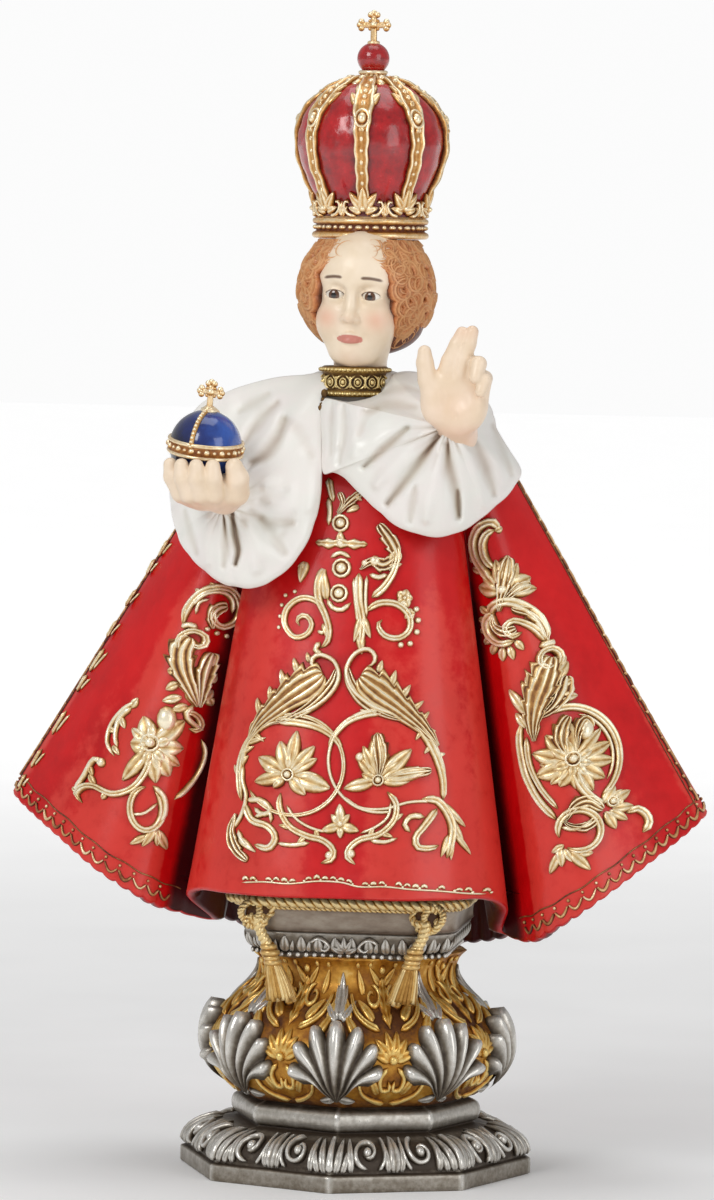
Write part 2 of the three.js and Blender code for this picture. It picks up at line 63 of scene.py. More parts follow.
def crom(P, u, closed=False):
    """Catmull-Rom through the rows of P at the running index u."""
    P = np.asarray(P, float)
    u = np.asarray(u, float)
    n = len(P)
    if closed:
        i = np.floor(u).astype(int)
        w = (u - i)[..., None]
        p0, p1, p2, p3 = P[(i - 1) % n], P[i % n], P[(i + 1) % n], P[(i + 2) % n]
    else:
        Q = np.vstack([2 * P[0] - P[1], P, 2 * P[-1] - P[-2]])
        u = np.clip(u, 0, n - 1 - 1e-9)
        i = np.floor(u).astype(int)
        w = (u - i)[..., None]
        p0, p1, p2, p3 = Q[i], Q[i + 1], Q[i + 2], Q[i + 3]
    a, b = (p2 - p0) / 2, (p3 - p1) / 2
    return (2 * p1 - 2 * p2 + a + b) * w**3 + (-3 * p1 + 3 * p2 - 2 * a - b) * w**2 + a * w + p1


def path2(pts, step=0.8, least=8):
    """An evenly spaced smooth line through the points."""
    pts = np.asarray(pts, float)
    if len(pts) == 2:
        pts = np.array([pts[0], (pts[0] + pts[1]) / 2, pts[1]])
    d = crom(pts, np.linspace(0, len(pts) - 1, 24 * len(pts)))
    s = np.r_[0, np.cumsum(np.linalg.norm(np.diff(d, axis=0), axis=1))]
    n = max(least, int(s[-1] / step) + 1)
    t = np.linspace(0, s[-1], n)
    return np.stack([np.interp(t, s, d[:, k]) for k in range(d.shape[1])], -1)


def vnoise(P, scale, seed=0, octaves=3):
    """Smooth value noise in -1..1 at points P (..., 3), feature size scale."""
    out, amp, tot = 0, 1.0, 0.0
    P = np.asarray(P, float)
    for o in range(octaves):
        Q = P / scale * 2**o + 17.3 * seed + 5.1 * o
        i = np.floor(Q).astype(np.int64)
        f = Q - i
        f = f * f * (3 - 2 * f)
        v = 0
        for dx in (0, 1):
            for dy in (0, 1):
                for dz in (0, 1):
                    h = (i[..., 0] + dx) * 374761393 + (i[..., 1] + dy) * 668265263 + (i[..., 2] + dz) * 2147483647 + seed * 1013
                    h = (h ^ (h >> 13)) * 1274126177
                    h = ((h ^ (h >> 16)) & 0xFFFF) / 32767.5 - 1
                    wx = f[..., 0] if dx else 1 - f[..., 0]
                    wy = f[..., 1] if dy else 1 - f[..., 1]
                    wz = f[..., 2] if dz else 1 - f[..., 2]
                    v = v + h * wx * wy * wz
        out = out + amp * v
        tot += amp
        amp *= 0.5
    return out / tot


# ------------------------------------------------------------------ meshes
ATTRS = ("h", "w", "m")      # relief height, painted shade in the folds and hollows (blush on skin), second paint (lips; painted highlight on the robe's crests)


class Bag:
    """Collects shells into one mesh, each with the three painting numbers."""

    def __init__(self):
        self.V, self.Q, self.T, self.A, self.n = [], [], [], [], 0

    def add(self, V, Q=(), T=(), A=None):
        V = np.asarray(V, float).reshape(-1, 3)
        full = np.zeros((len(V), 3))
        for k, v in (A or {}).items():
            full[:, ATTRS.index(k)] = np.broadcast_to(np.asarray(v, float).reshape(-1) if np.ndim(v) else v, len(V))
        if len(Q):
            self.Q.append(np.asarray(Q, int).reshape(-1, 4) + self.n)
        if len(T):
            self.T.append(np.asarray(T, int).reshape(-1, 3) + self.n)
        self.V.append(V)
        self.A.append(full)
        self.n += len(V)

    def grid(self, P, A=None, cu=False, cv=False, caps=False, out=None):
        """P (nu, nv, 3). cu, cv close it; caps closes the two ends along u. out flips it to face that way."""
        nu, nv = P.shape[:2]
        a, b = np.meshgrid(np.arange(nu if cu else nu - 1), np.arange(nv if cv else nv - 1), indexing="ij")
        a2, b2 = (a + 1) % nu, (b + 1) % nv
        q = np.stack([a * nv + b, a2 * nv + b, a2 * nv + b2, a * nv + b2], -1).reshape(-1, 4)
        V = P.reshape(-1, 3)
        tri = []
        A = {k: np.broadcast_to(v, (nu, nv)).reshape(-1) for k, v in (A or {}).items()}
        if caps:
            V = np.vstack([V, P[0].mean(0), P[-1].mean(0)])
            A = {k: np.r_[v, v.reshape(nu, nv)[0].mean(), v.reshape(nu, nv)[-1].mean()] for k, v in A.items()}
            k = np.arange(nv if cv else nv - 1)
            k2 = (k + 1) % nv
            tri = np.vstack([
                np.stack([np.full(len(k), nu * nv), k, k2], -1),
                np.stack([np.full(len(k), nu * nv + 1), (nu - 1) * nv + k2, (nu - 1) * nv + k], -1)])
        c = V[q]
        nrm = np.cross(c[:, 2] - c[:, 0], c[:, 3] - c[:, 1])
        if out is None:
            mid = V.mean(0)
            good = (nrm * (c.mean(1) - mid)).sum() if not (caps or (cu and cv)) else (np.einsum("ij,ij->i", nrm, c.mean(1) - mid)).sum()
        else:
            O = np.broadcast_to(out, P.shape).reshape(-1, 3)
            good = (nrm * O[q[:, 0]]).sum()
        if good < 0:
            q = q[:, ::-1]
            tri = tri[:, ::-1] if len(tri) else tri
        self.add(V, q, tri, A)

    def loft(self, rings, A=None):
        """Rings (n, m, 3), each closed, with closed ends."""
        self.grid(np.asarray(rings, float), A, cv=True, caps=True)

    def merge(self, other):
        for V, A in zip(other.V, other.A):
            self.V.append(V)
            self.A.append(A)
        for q in other.Q:
            self.Q.append(q + self.n)
        for t in other.T:
            self.T.append(t + self.n)
        self.n += other.n


def build(name, bag, mats, face_mat=None):
    V = np.vstack(bag.V) * MM
    A = np.vstack(bag.A)
    Q = np.vstack(bag.Q) if bag.Q else np.zeros((0, 4), int)
    T = np.vstack(bag.T) if bag.T else np.zeros((0, 3), int)
    me = bpy.data.meshes.new(name)
    me.vertices.add(len(V))
    me.vertices.foreach_set("co", V.astype(np.float32).ravel())
    loops = np.r_[Q.ravel(), T.ravel()].astype(np.int32)
    me.loops.add(len(loops))
    me.loops.foreach_set("vertex_index", loops)
    starts = np.r_[np.arange(len(Q)) * 4, len(Q) * 4 + np.arange(len(T)) * 3].astype(np.int32)
    me.polygons.add(len(starts))
    me.polygons.foreach_set("loop_start", starts)
    me.polygons.foreach_set("use_smooth", np.ones(len(starts), bool))
    me.update(calc_edges=True)
    me.validate()
    for i, k in enumerate(ATTRS):
        at = me.attributes.new(k, "FLOAT", "POINT")
        at.data.foreach_set("value", A[:, i].astype(np.float32))
    ob = bpy.data.objects.new(name, me)
    bpy.context.scene.collection.objects.link(ob)
    for m in mats if isinstance(mats, (list, tuple)) else [mats]:
        me.materials.append(m)
    if face_mat is not None:
        me.polygons.foreach_set("material_index", np.asarray(face_mat, np.int32))
    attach(ob, "root")
    tris = 2 * len(Q) + len(T)
    COUNT[name] = tris
    return ob


COUNT = {}

# Profiles across a line: lateral place, height. They close under the surface.
ROUND = np.array([[-1, -0.45], [-0.97, 0.15], [-0.72, 0.68], [-0.3, 0.96], [0.3, 0.96], [0.72, 0.68], [0.97, 0.15], [1, -0.45]])
CREASE = np.array([[-1, -0.45], [-0.95, 0.3], [-0.66, 0.86], [-0.34, 0.92], [0, 0.5], [0.34, 0.92], [0.66, 0.86], [0.95, 0.3], [1, -0.45]])


class Relief:
    """Draws raised ornament in the flat coordinates of a surface. at(p) gives place and outward direction."""

    def __init__(self, at, bag=None, k=1.0):
        self.at, self.bag, self.k = at, bag or Bag(), k

    def _put(self, XZ, H, A, cv=True, caps=True):
        P, N = self.at(XZ)
        self.bag.grid(P + N * H[..., None], A, cv=cv, caps=caps)

    def line(self, pts, w0, w1=None, h=0.9, prof=ROUND, taper=(0.1, 0.1), mid=None, bumps=0, beads=0.0, step=0.8):
        c = path2(pts, step if bumps else step * 1.5, 7)
        n = len(c)
        t = np.linspace(0, 1, n)
        w1 = w0 if w1 is None else w1
        W = lerp(w0, w1, t) if mid is None else np.where(t < 0.5, lerp(w0, mid, sm(0, 0.5, t)), lerp(mid, w1, sm(0.5, 1, t)))
        end = np.ones(n)
        if taper[0] > 0:
            end = np.minimum(end, np.sqrt(np.clip(t / taper[0], 0.02, 1)))
        if taper[1] > 0:
            end = np.minimum(end, np.sqrt(np.clip((1 - t) / taper[1], 0.02, 1)))
        W = W * end
        if bumps:
            W = W * (1 + beads * np.cos(t * bumps * 2 * np.pi))
        tan = unit(np.gradient(c, axis=0))
        side = np.stack([-tan[:, 1], tan[:, 0]], -1)
        XZ = c[:, None] + side[:, None] * (W[:, None] * prof[None, :, 0])[..., None]
        Ht = h * np.minimum(1, 0.35 + 0.65 * end) * np.minimum(1, 0.3 + W / max(w0, w1, mid or 0))
        if bumps:
            Ht = Ht * (1 + 0.6 * beads * np.cos(t * bumps * 2 * np.pi))
        H = Ht[:, None] * prof[None, :, 1]
        self._put(XZ, H, {"h": np.clip(prof[None, :, 1] + 0 * H, 0, 1) * np.clip(0.55 + 0.45 * Ht / max(h, 1e-6), 0, 1)[:, None]})

    def leaf(self, spine, half, lobes=5, h=1.2, tip=0.18, veins=True, left=1.0, right=1.0, slant=0.16, cut=0.42, curl=0.0, nq=11, step=0.7):
        """An acanthus leaf along the spine; lobes cut into its edges, which point towards its tip."""
        c = path2(spine, step, 16)
        n = len(c)
        s = np.linspace(0, 1, n)[:, None]
        q = np.linspace(-1, 1, nq)[None]
        qq = np.abs(q)
        body = np.sin(np.pi * np.clip(s * (1 - tip) + tip * 0.45, 0, 1)) ** 0.75
        body = body * sm(-0.02, 0.16, s) * sm(1.02, 0.8, s) ** 0.5
        ph = s * lobes - slant * lobes * 0.0
        scal = 1 - cut * (1 - np.abs(np.sin(np.pi * ph)) ** 0.55)
        W = half * body * np.where(q < 0, left, right) * (1 - (1 - scal) * qq**1.5)
        W = np.maximum(W, 0.08)
        tan = unit(np.gradient(c, axis=0))
        side = np.stack([-tan[:, 1], tan[:, 0]], -1)
        ahead = half * slant * 2.2 * qq**1.3 * (W / max(half, 1e-6))
        XZ = c[:, None] + side[:, None] * (W * q)[..., None] + tan[:, None] * ahead[..., None]
        ridge = 0.5 + 0.5 * np.cos(2 * np.pi * (ph - 0.5 - 0.32 * qq))
        top = (1 - qq**3.2) * 0.55 + 0.45 * ridge * sm(0, 0.35, qq) * (1 - qq**8)
        top = top + 0.28 * gs(qq, 0.09) - (0.3 * gs(qq - 0.2, 0.07) if veins else 0)
        rise = h * (0.45 + 0.55 * np.sin(np.pi * np.clip(s, 0, 1)) ** 0.6) + curl * h * sm(0.7, 1, s)
        H = rise * np.clip(top, 0.04, 1.4)
        # close it below the surface
        lowx = XZ[:, [-1, 0]]
        XZc = np.concatenate([XZ, lowx[:, :1], (lowx[:, :1] + lowx[:, 1:]) / 2, lowx[:, 1:]], 1)
        Hc = np.concatenate([H, np.full((n, 3), -0.4)], 1)
        shade = np.concatenate([np.clip(top, 0, 1) * np.ones_like(H), np.zeros((n, 3))], 1)
        self._put(XZc, Hc, {"h": shade})

    def frond(self, spine, half, left=1.0, right=1.0, cl=5, cr=3, hl=0.5, hr=0.25, h=1.5, veins=3.5, full=0.62, hook=0.0, nq=17, step=0.55):
        """An acanthus leaf that widens from its stem; long veins, its edge cut into cl and cr pointed lobes."""
        c = path2(spine, step, 24)
        n = len(c)
        s = np.linspace(0, 1, n)[:, None]
        q = np.linspace(-1, 1, nq)[None]
        qq = np.abs(q)
        body = (s / full) ** 0.85 * (s < full) + np.sqrt(np.clip(1 - ((s - full) / (1 - full + 0.012)) ** 2, 0, 1)) * (s >= full)
        body = 0.1 + 0.9 * body * sm(-0.02, 0.1, s)
        cuts = np.where(q > 0, cl, cr)
        deep = np.where(q > 0, hl, hr)
        ph = (s * cuts) % 1.0
        tooth = ph**0.7 * sm(1.0, 0.8, ph)
        W = half * body * np.where(q > 0, left, right) * (1 - deep * (1 - tooth) * qq**1.6 * sm(0.05, 0.2, s))
        tan = unit(np.gradient(c, axis=0))
        side = np.stack([-tan[:, 1], tan[:, 0]], -1)
        ahead = half * (0.22 + 0.5 * deep * tooth) * qq**1.5 * body
        XZ = c[:, None] + side[:, None] * (W * q)[..., None] + tan[:, None] * ahead[..., None]
        vein = 0.5 + 0.5 * np.cos(2 * np.pi * (qq**0.9) * veins * 0.5 - 0.6 * s)
        top = 0.5 + 0.5 * vein + 0.18 * tooth * qq
        top = top * np.clip(1.18 - qq**4, 0.18, 1)
        H = h * (0.5 + 0.5 * np.sin(np.pi * np.clip(0.15 + 0.75 * s, 0, 1))) * top + hook * h * sm(0.72, 1, s)
        low = XZ[:, [-1, 0]]
        XZc = np.concatenate([XZ, low[:, :1], (low[:, :1] + low[:, 1:]) / 2, low[:, 1:]], 1)
        Hc = np.concatenate([H, np.full((n, 3), -0.4)], 1)
        shade = np.concatenate([np.clip(0.12 + 0.95 * vein * np.clip(1.3 - qq**3, 0.3, 1), 0, 1), np.zeros((n, 3))], 1)
        self._put(XZc, Hc, {"h": shade})

    def petal(self, a, b, half, h=1.1, groove=0.35, fat=0.55):
        """One smooth pointed leaf from a to b."""
        a, b = np.asarray(a, float), np.asarray(b, float)
        n, nq = 9, 7
        s = np.linspace(0, 1, n)[:, None]
        q = np.linspace(-1, 1, nq)[None]
        d = unit(b - a)
        side = np.array([-d[1], d[0]])
        W = 1.12 * half * np.sin(np.pi * np.clip(s, 0.02, 0.985) ** fat) ** 0.62
        XZ = (a + (b - a) * s)[:, None].reshape(n, 1, 2) + side * (W * q)[..., None]
        top = np.sqrt(np.clip(1 - q**2 * 0.92, 0, 1)) - groove * gs(q, 0.2)
        H = h * (0.35 + 0.65 * np.sin(np.pi * np.clip(s, 0, 1)) ** 0.7) * top
        XZc = np.concatenate([XZ, XZ[:, [-1, 0]]], 1)
        Hc = np.concatenate([H, np.full((n, 2), -0.4)], 1)
        shade = np.concatenate([np.clip(top, 0, 1) * np.ones_like(H), np.zeros((n, 2))], 1)
        self._put(XZc, Hc, {"h": shade})

    def knob(self, c, r, h=None, rz=None, ring=False, nphi=14):
        """A bead, or a boss with a ring round it."""
        h = r * 0.9 if h is None else h
        rz = r if rz is None else rz
        c = np.asarray(c, float)
        phi = np.linspace(0, 2 * np.pi, max(7, round(nphi * 0.8)), endpoint=False)[None]
        rows = [(1.0, -0.4, 0), (1.0, 0.12, 0.3), (0.86, 0.55, 0.7), (0.6, 0.85, 0.95), (0.3, 0.98, 1), (0.02, 1.0, 1)]
        if ring:
            rows = [(1.0, -0.4, 0), (1.0, 0.2, 0.3), (0.9, 0.62, 0.9), (0.76, 0.7, 1), (0.64, 0.3, 0.1), (0.52, 0.4, 0.3), (0.4, 0.8, 0.9), (0.2, 1.0, 1), (0.02, 1.02, 1)]
        rows = np.array(rows)
        XZ = np.stack([c[0] + r * rows[:, :1] * np.cos(phi), c[1] + rz * rows[:, :1] * np.sin(phi)], -1)
        H = h * rows[:, 1:2] + 0 * phi
        self._put(XZ, H, {"h": rows[:, 2:3] + 0 * phi})

    def flower(self, c, r, petals=6, rot=0.0, h=1.3, sx=1.0, sz=1.0, uneven=0.15):
        c = np.asarray(c, float)
        for i in range(petals):
            a = rot + 2 * np.pi * i / petals + rng.uniform(-uneven, uneven)
            rr = r * rng.uniform(1 - uneven, 1 + uneven * 0.5)
            d = np.array([math.sin(a) * sx, math.cos(a) * sz])
            self.petal(c + d * rr * 0.12, c + d * rr, r * 0.62 * math.pi / petals * 1.25, h, 0.4, 0.72)
        self.knob(c, r * 0.22, h * 1.25)

    def curl(self, c, r0, r1, a0, turns, w0, w1, h=0.9, sx=1.0, sz=1.0, knob=0.0, **kw):
        """A spiral from radius r0 inwards to r1. a0 in degrees from +x, positive turns run anticlockwise."""
        n = max(10, int(abs(turns) * 16))
        t = np.linspace(0, 1, n)
        a = a0 * D2R + turns * 2 * np.pi * t
        r = r0 + (r1 - r0) * t
        pts = np.stack([c[0] + sx * r * np.cos(a), c[1] + sz * r * np.sin(a)], -1)
        self.line(pts, w0, w1, h, **kw)
        if knob:
            self.knob((c[0], c[1]), knob, h * 1.1)


# ------------------------------------------------------------------ camera
# A long lens in front of the figure: it stands 1.6 m away, a little above.
CAM_AZ, CAM_EL, CAM_ROLL, CAM_D = 8.03 * D2R, 3.537 * D2R, 0.989 * D2R, 1597.209
CAM_F, CAM_CX, CAM_CY = 6176.4, 364.215, 591.16
_d = np.array([math.sin(CAM_AZ) * math.cos(CAM_EL), -math.cos(CAM_AZ) * math.cos(CAM_EL), math.sin(CAM_EL)])
CAM_C = np.array([0, 0, 150]) + CAM_D * _d
_r0 = unit(np.cross(-_d, [0, 0, 1.0]))
_u0 = np.cross(_r0, -_d)
CAM_R = math.cos(CAM_ROLL) * _r0 + math.sin(CAM_ROLL) * _u0
CAM_U = -math.sin(CAM_ROLL) * _r0 + math.cos(CAM_ROLL) * _u0


def ray(px, py):
    px, py = np.asarray(px, float), np.asarray(py, float)
    return -_d + CAM_R * ((px - CAM_CX) / CAM_F)[..., None] - CAM_U * ((py - CAM_CY) / CAM_F)[..., None]


def make_camera():
    from mathutils import Matrix
    cam = bpy.data.cameras.new("camera")
    ob = bpy.data.objects.new("camera", cam)
    bpy.context.scene.collection.objects.link(ob)
    cam.sensor_width = 36
    cam.lens = CAM_F * 36 / 1200
    cam.shift_x = -(CAM_CX - 357) / 1200
    cam.shift_y = (CAM_CY - 600) / 1200
    cam.clip_start, cam.clip_end = 0.05, 20
    m = np.eye(4)
    m[:3, 0], m[:3, 1], m[:3, 2], m[:3, 3] = CAM_R, CAM_U, _d, CAM_C * MM
    ob.matrix_world = Matrix(m.tolist())
    bpy.context.scene.camera = ob


make_camera()


# ------------------------------------------------------------------ materials
class Tree:
    def __init__(self, name):
        self.m = bpy.data.materials.new(name)
        self.m.use_nodes = True
        self.t = self.m.node_tree
        self.b = self.t.nodes["Principled BSDF"]
        self.coord = None

    def n(self, kind, **props):
        x = self.t.nodes.new(kind)
        for k, v in props.items():
            setattr(x, k, v)
        return x

    def put(self, socket, value):
        if hasattr(value, "is_output") or hasattr(value, "links"):
            self.t.links.new(value, socket)
        else:
            socket.default_value = value

    def attr(self, name):
        return self.n("ShaderNodeAttribute", attribute_name=name).outputs["Fac"]

    def noise(self, mm, detail=3.0, rough=0.55, stretch=(1, 1, 1), dist=0.0):
        if self.coord is None:
            self.coord = self.n("ShaderNodeTexCoord").outputs["Object"]
        v = self.coord
        if tuple(stretch) != (1, 1, 1):
            mp = self.n("ShaderNodeMapping")
            mp.inputs["Scale"].default_value = stretch
            self.t.links.new(v, mp.inputs["Vector"])
            v = mp.outputs[0]
        x = self.n("ShaderNodeTexNoise")
        x.inputs["Scale"].default_value = 1000.0 / mm
        x.inputs["Detail"].default_value = detail
        x.inputs["Roughness"].default_value = rough
        x.inputs["Distortion"].default_value = dist
        self.t.links.new(v, x.inputs["Vector"])
        return x.outputs["Fac"]

    def ramp(self, fac, stops, kind="LINEAR"):
        x = self.n("ShaderNodeValToRGB")
        cr = x.color_ramp
        cr.interpolation = kind
        while len(cr.elements) < len(stops):
            cr.elements.new(0.5)
        for e, (p, c) in zip(cr.elements, stops):
            e.position = p
            e.color = (*c, 1) if isinstance(c, (tuple, list)) else (c, c, c, 1)
        self.put(x.inputs["Fac"], fac)
        return x.outputs["Color"]

    def math(self, op, a, b=0.0, c=0.0, clamp=False):
        x = self.n("ShaderNodeMath", operation=op, use_clamp=clamp)
        self.put(x.inputs[0], a)
        self.put(x.inputs[1], b)
        self.put(x.inputs[2], c)
        return x.outputs[0]

    def mix(self, fac, a, b, blend="MIX"):
        x = self.n("ShaderNodeMix", data_type="RGBA", blend_type=blend)
        x.inputs[0].default_value = 1.0
        self.put(x.inputs[0], fac)
        self.put(x.inputs[6], (*a, 1) if isinstance(a, tuple) else a)
        self.put(x.inputs[7], (*b, 1) if isinstance(b, tuple) else b)
        return x.outputs[2]

    def span(self, v, a, b, lo=0.0, hi=1.0):
        x = self.n("ShaderNodeMapRange", interpolation_type="SMOOTHSTEP")
        self.put(x.inputs["Value"], v)
        for k, val in (("From Min", a), ("From Max", b), ("To Min", lo), ("To Max", hi)):
            x.inputs[k].default_value = val
        return x.outputs["Result"]

    def bump(self, height, mm, strength=1.0):
        x = self.n("ShaderNodeBump")
        x.inputs["Strength"].default_value = strength
        x.inputs["Distance"].default_value = mm * MM
        self.put(x.inputs["Height"], height)
        self.t.links.new(x.outputs["Normal"], self.b.inputs["Normal"])

    def set(self, **kw):
        for k, v in kw.items():
            self.put(self.b.inputs[k.replace("_", " ")], v)
        return self.m


def c(r, g, b):
    """sRGB 0..255 to linear."""
    return tuple(((v / 255 + 0.055) / 1.055) ** 2.4 if v > 10 else v / 255 / 12.92 for v in (r, g, b))


def paint_red():
    t = Tree("robe_red")
    big = t.noise(26, 3, 0.55)
    fine = t.noise(3.2, 4, 0.6)
    brush = t.noise(1.1, 3, 0.6, (1.0, 1.0, 0.25))
    col = t.ramp(t.math("ADD", t.math("MULTIPLY", big, 0.7), t.math("MULTIPLY", fine, 0.3)),
                 [(0.3, c(178, 3, 8)), (0.5, c(200, 6, 12)), (0.72, c(214, 12, 16))])
    # painted shade: attribute w, with a little noise, darkens the valleys of the folds toward maroon
    wash = t.math("ADD", t.attr("w"), t.math("MULTIPLY", t.math("SUBTRACT", fine, 0.5), 0.35))
    col = t.mix(t.span(wash, 0.1, 0.9), col, c(58, 1, 6))
    # painted highlight: attribute m lightens the crests of the folds toward pink
    crest_highlight = t.span(t.math("ADD", t.attr("m"), t.math("MULTIPLY", t.math("SUBTRACT", fine, 0.5), 0.8)), 0.62, 1.0)
    col = t.mix(t.math("MULTIPLY", crest_highlight, 0.35), col, c(230, 90, 74))
    rough = t.ramp(t.math("ADD", t.math("MULTIPLY", fine, 0.6), t.math("MULTIPLY", big, 0.4)), [(0.35, 0.3), (0.65, 0.42)])
    t.bump(t.math("ADD", t.math("MULTIPLY", fine, 0.7), t.math("MULTIPLY", brush, 0.3)), 0.16, 0.55)
    return t.set(Base_Color=col, Roughness=rough, Coat_Weight=0.16, Coat_Roughness=0.18, Specular_IOR_Level=0.34)


def paint_metal(name, dark, low, mid, high, rough=(0.26, 0.42), metal=0.75, lo=0.12, hi=0.92, grime=0.35, fine_mm=1.4, bump=0.08, wash=0.3):
    """Antiqued metal paint: brown wash left in the hollows, rubbed bright on the crests."""
    t = Tree(name)
    a = t.noise(fine_mm, 4, 0.62)
    b = t.noise(9, 3, 0.55)
    h = t.math("ADD", t.attr("h"), t.math("MULTIPLY", t.math("SUBTRACT", a, 0.5), grime))
    h = t.math("ADD", h, t.math("MULTIPLY", t.math("SUBTRACT", b, 0.5), wash))
    h = t.math("SUBTRACT", h, t.math("MULTIPLY", t.attr("w"), 0.8), clamp=True)
    col = t.ramp(h, [(lo, dark), (lo + (hi - lo) * 0.34, low), (lo + (hi - lo) * 0.66, mid), (hi, high)])
    t.bump(a, bump, 0.6)
    r = t.ramp(h, [(0.1, rough[1] + 0.15), (0.5, rough[1]), (0.9, rough[0])])
    me = t.ramp(h, [(0.1, metal * 0.35), (0.45, metal)])
    return t.set(Base_Color=col, Roughness=r, Metallic=me, Specular_IOR_Level=0.5)


M_RED = paint_red()
M_GOLD = paint_metal("relief_gold", c(84, 36, 12), c(172, 122, 60), c(224, 194, 138), c(252, 242, 214), metal=0.4, lo=0.16, hi=0.96, grime=0.55, wash=0.5)
M_TRIM = paint_metal("trim_gold", c(70, 18, 10), c(140, 84, 44), c(200, 156, 100), c(246, 222, 184), metal=0.35, lo=0.2, hi=1.0, grime=0.7, fine_mm=2.2, wash=0.6)

# ------------------------------------------------------------------ robe
ROBE_TOP = 186.0
ROBE_FLOOR = 74.0
HEM_T = 4.2
ROBE_HALF = np.array([
    [0, -47, 75.6, 0, -20.5], [15, -46, 75.4, 8.5, -20], [28.5, -40.5, 75.4, 16.5, -18], [37.5, -31.5, 75, 21.5, -14.5],
    [41.5, -22.5, 71.5, 24, -10.5], [39.5, -14, 64.5, 24.5, -8], [45.5, -18.5, 63.5, 27, -9.5], [53, -26.5, 67.5, 29.5, -11],
    [64, -27.5, 74.5, 31.5, -9.5], [75.5, -19.5, 83.2, 33.8, -6], [85.5, -8.5, 91.2, 35, -3], [89.6, -2, 95.2, 35.4, -1],
    [88.6, 4, 95, 35.2, 1.5], [79, 14, 87, 33.2, 5], [66, 24, 75.5, 30, 9], [52, 30.5, 66.5, 25, 12.5],
    [44, 31, 62, 21.5, 13], [32, 38.5, 57.5, 15.5, 16], [16, 41.5, 55.5, 8, 17.5], [0, 40, 55, 0, 17.5]], float)
LEFT_LIFT = np.array([0, 0, 0, 0, 0.5, 1, 5, 5.4, 5, 4, 2, 0.8, 0.5, 2, 2, 2, 1, 0.5, 0.3, 0])


def robe_rows():
    half = ROBE_HALF
    wide = lambda x: 1 + 0.018 * sm(40, 90, x)
    left = np.stack([-half[:, 0] * wide(half[:, 0]), half[:, 1], half[:, 2] + LEFT_LIFT, -half[:, 3] * wide(90.0), half[:, 4]], -1)[1:-1][::-1]
    left[len(left) - 5, 0] = -36.5
    return np.vstack([half, left])


ROBE = robe_rows()
NR = len(ROBE)          # 38 points round


def robe_at(u, t):
    """Place on the robe: u runs round from the front by the point, t from the top to the hem."""
    u, t = np.broadcast_arrays(np.asarray(u, float), np.asarray(t, float))
    r = crom(ROBE, u, True)
    hem = r[..., :3]
    top = np.stack([r[..., 3], r[..., 4], np.full(u.shape, ROBE_TOP)], -1)
    return top + (hem - top) * t[..., None]


def robe_normal(u, t, e=0.02):
    du = robe_at(np.asarray(u) + e, t) - robe_at(np.asarray(u) - e, t)
    dt = robe_at(u, np.asarray(t) + 0.004) - robe_at(u, np.asarray(t) - 0.004)
    return unit(np.cross(dt, du))


def hollow(u, t, d=1.15):
    """How far a place lies inside the chord between its neighbours: the valleys."""
    p = robe_at(u, t)
    mid = (robe_at(u - d, t) + robe_at(u + d, t)) / 2
    return ((mid - p) * robe_normal(u, t)).sum(-1)


def soft_folds(u, t):
    """Small uneven swellings of the cast cloth, mm outward."""
    p = robe_at(u, t)
    a = np.stack([p[..., 0] * (1 - 0.45 * t) , p[..., 1] * (1 - 0.45 * t), p[..., 2] * 0.16], -1)
    return 0.55 * vnoise(a, 9.0, 3, 2) * sm(0.0, 0.3, t) * (0.4 + 0.6 * t)


def hem_length():
    u = np.linspace(0, NR, 4001)
    p = robe_at(u, np.ones(4001))
    return u, np.r_[0, np.cumsum(np.linalg.norm(np.diff(p, axis=0), axis=1))]


HEM_U, HEM_S = hem_length()


def wings(u):
    """1 on the wings and the back, 0 on the middle lobe."""
    v = np.minimum(u % NR, NR - u % NR)
    return sm(5.2, 6.4, v)


def scallop(u, pitch=4.3):
    s = np.interp(u % NR, HEM_U, HEM_S)
    n = round(HEM_S[-1] / pitch)
    return np.abs(np.sin(np.pi * n * s / HEM_S[-1])) ** 0.6 * wings(u)


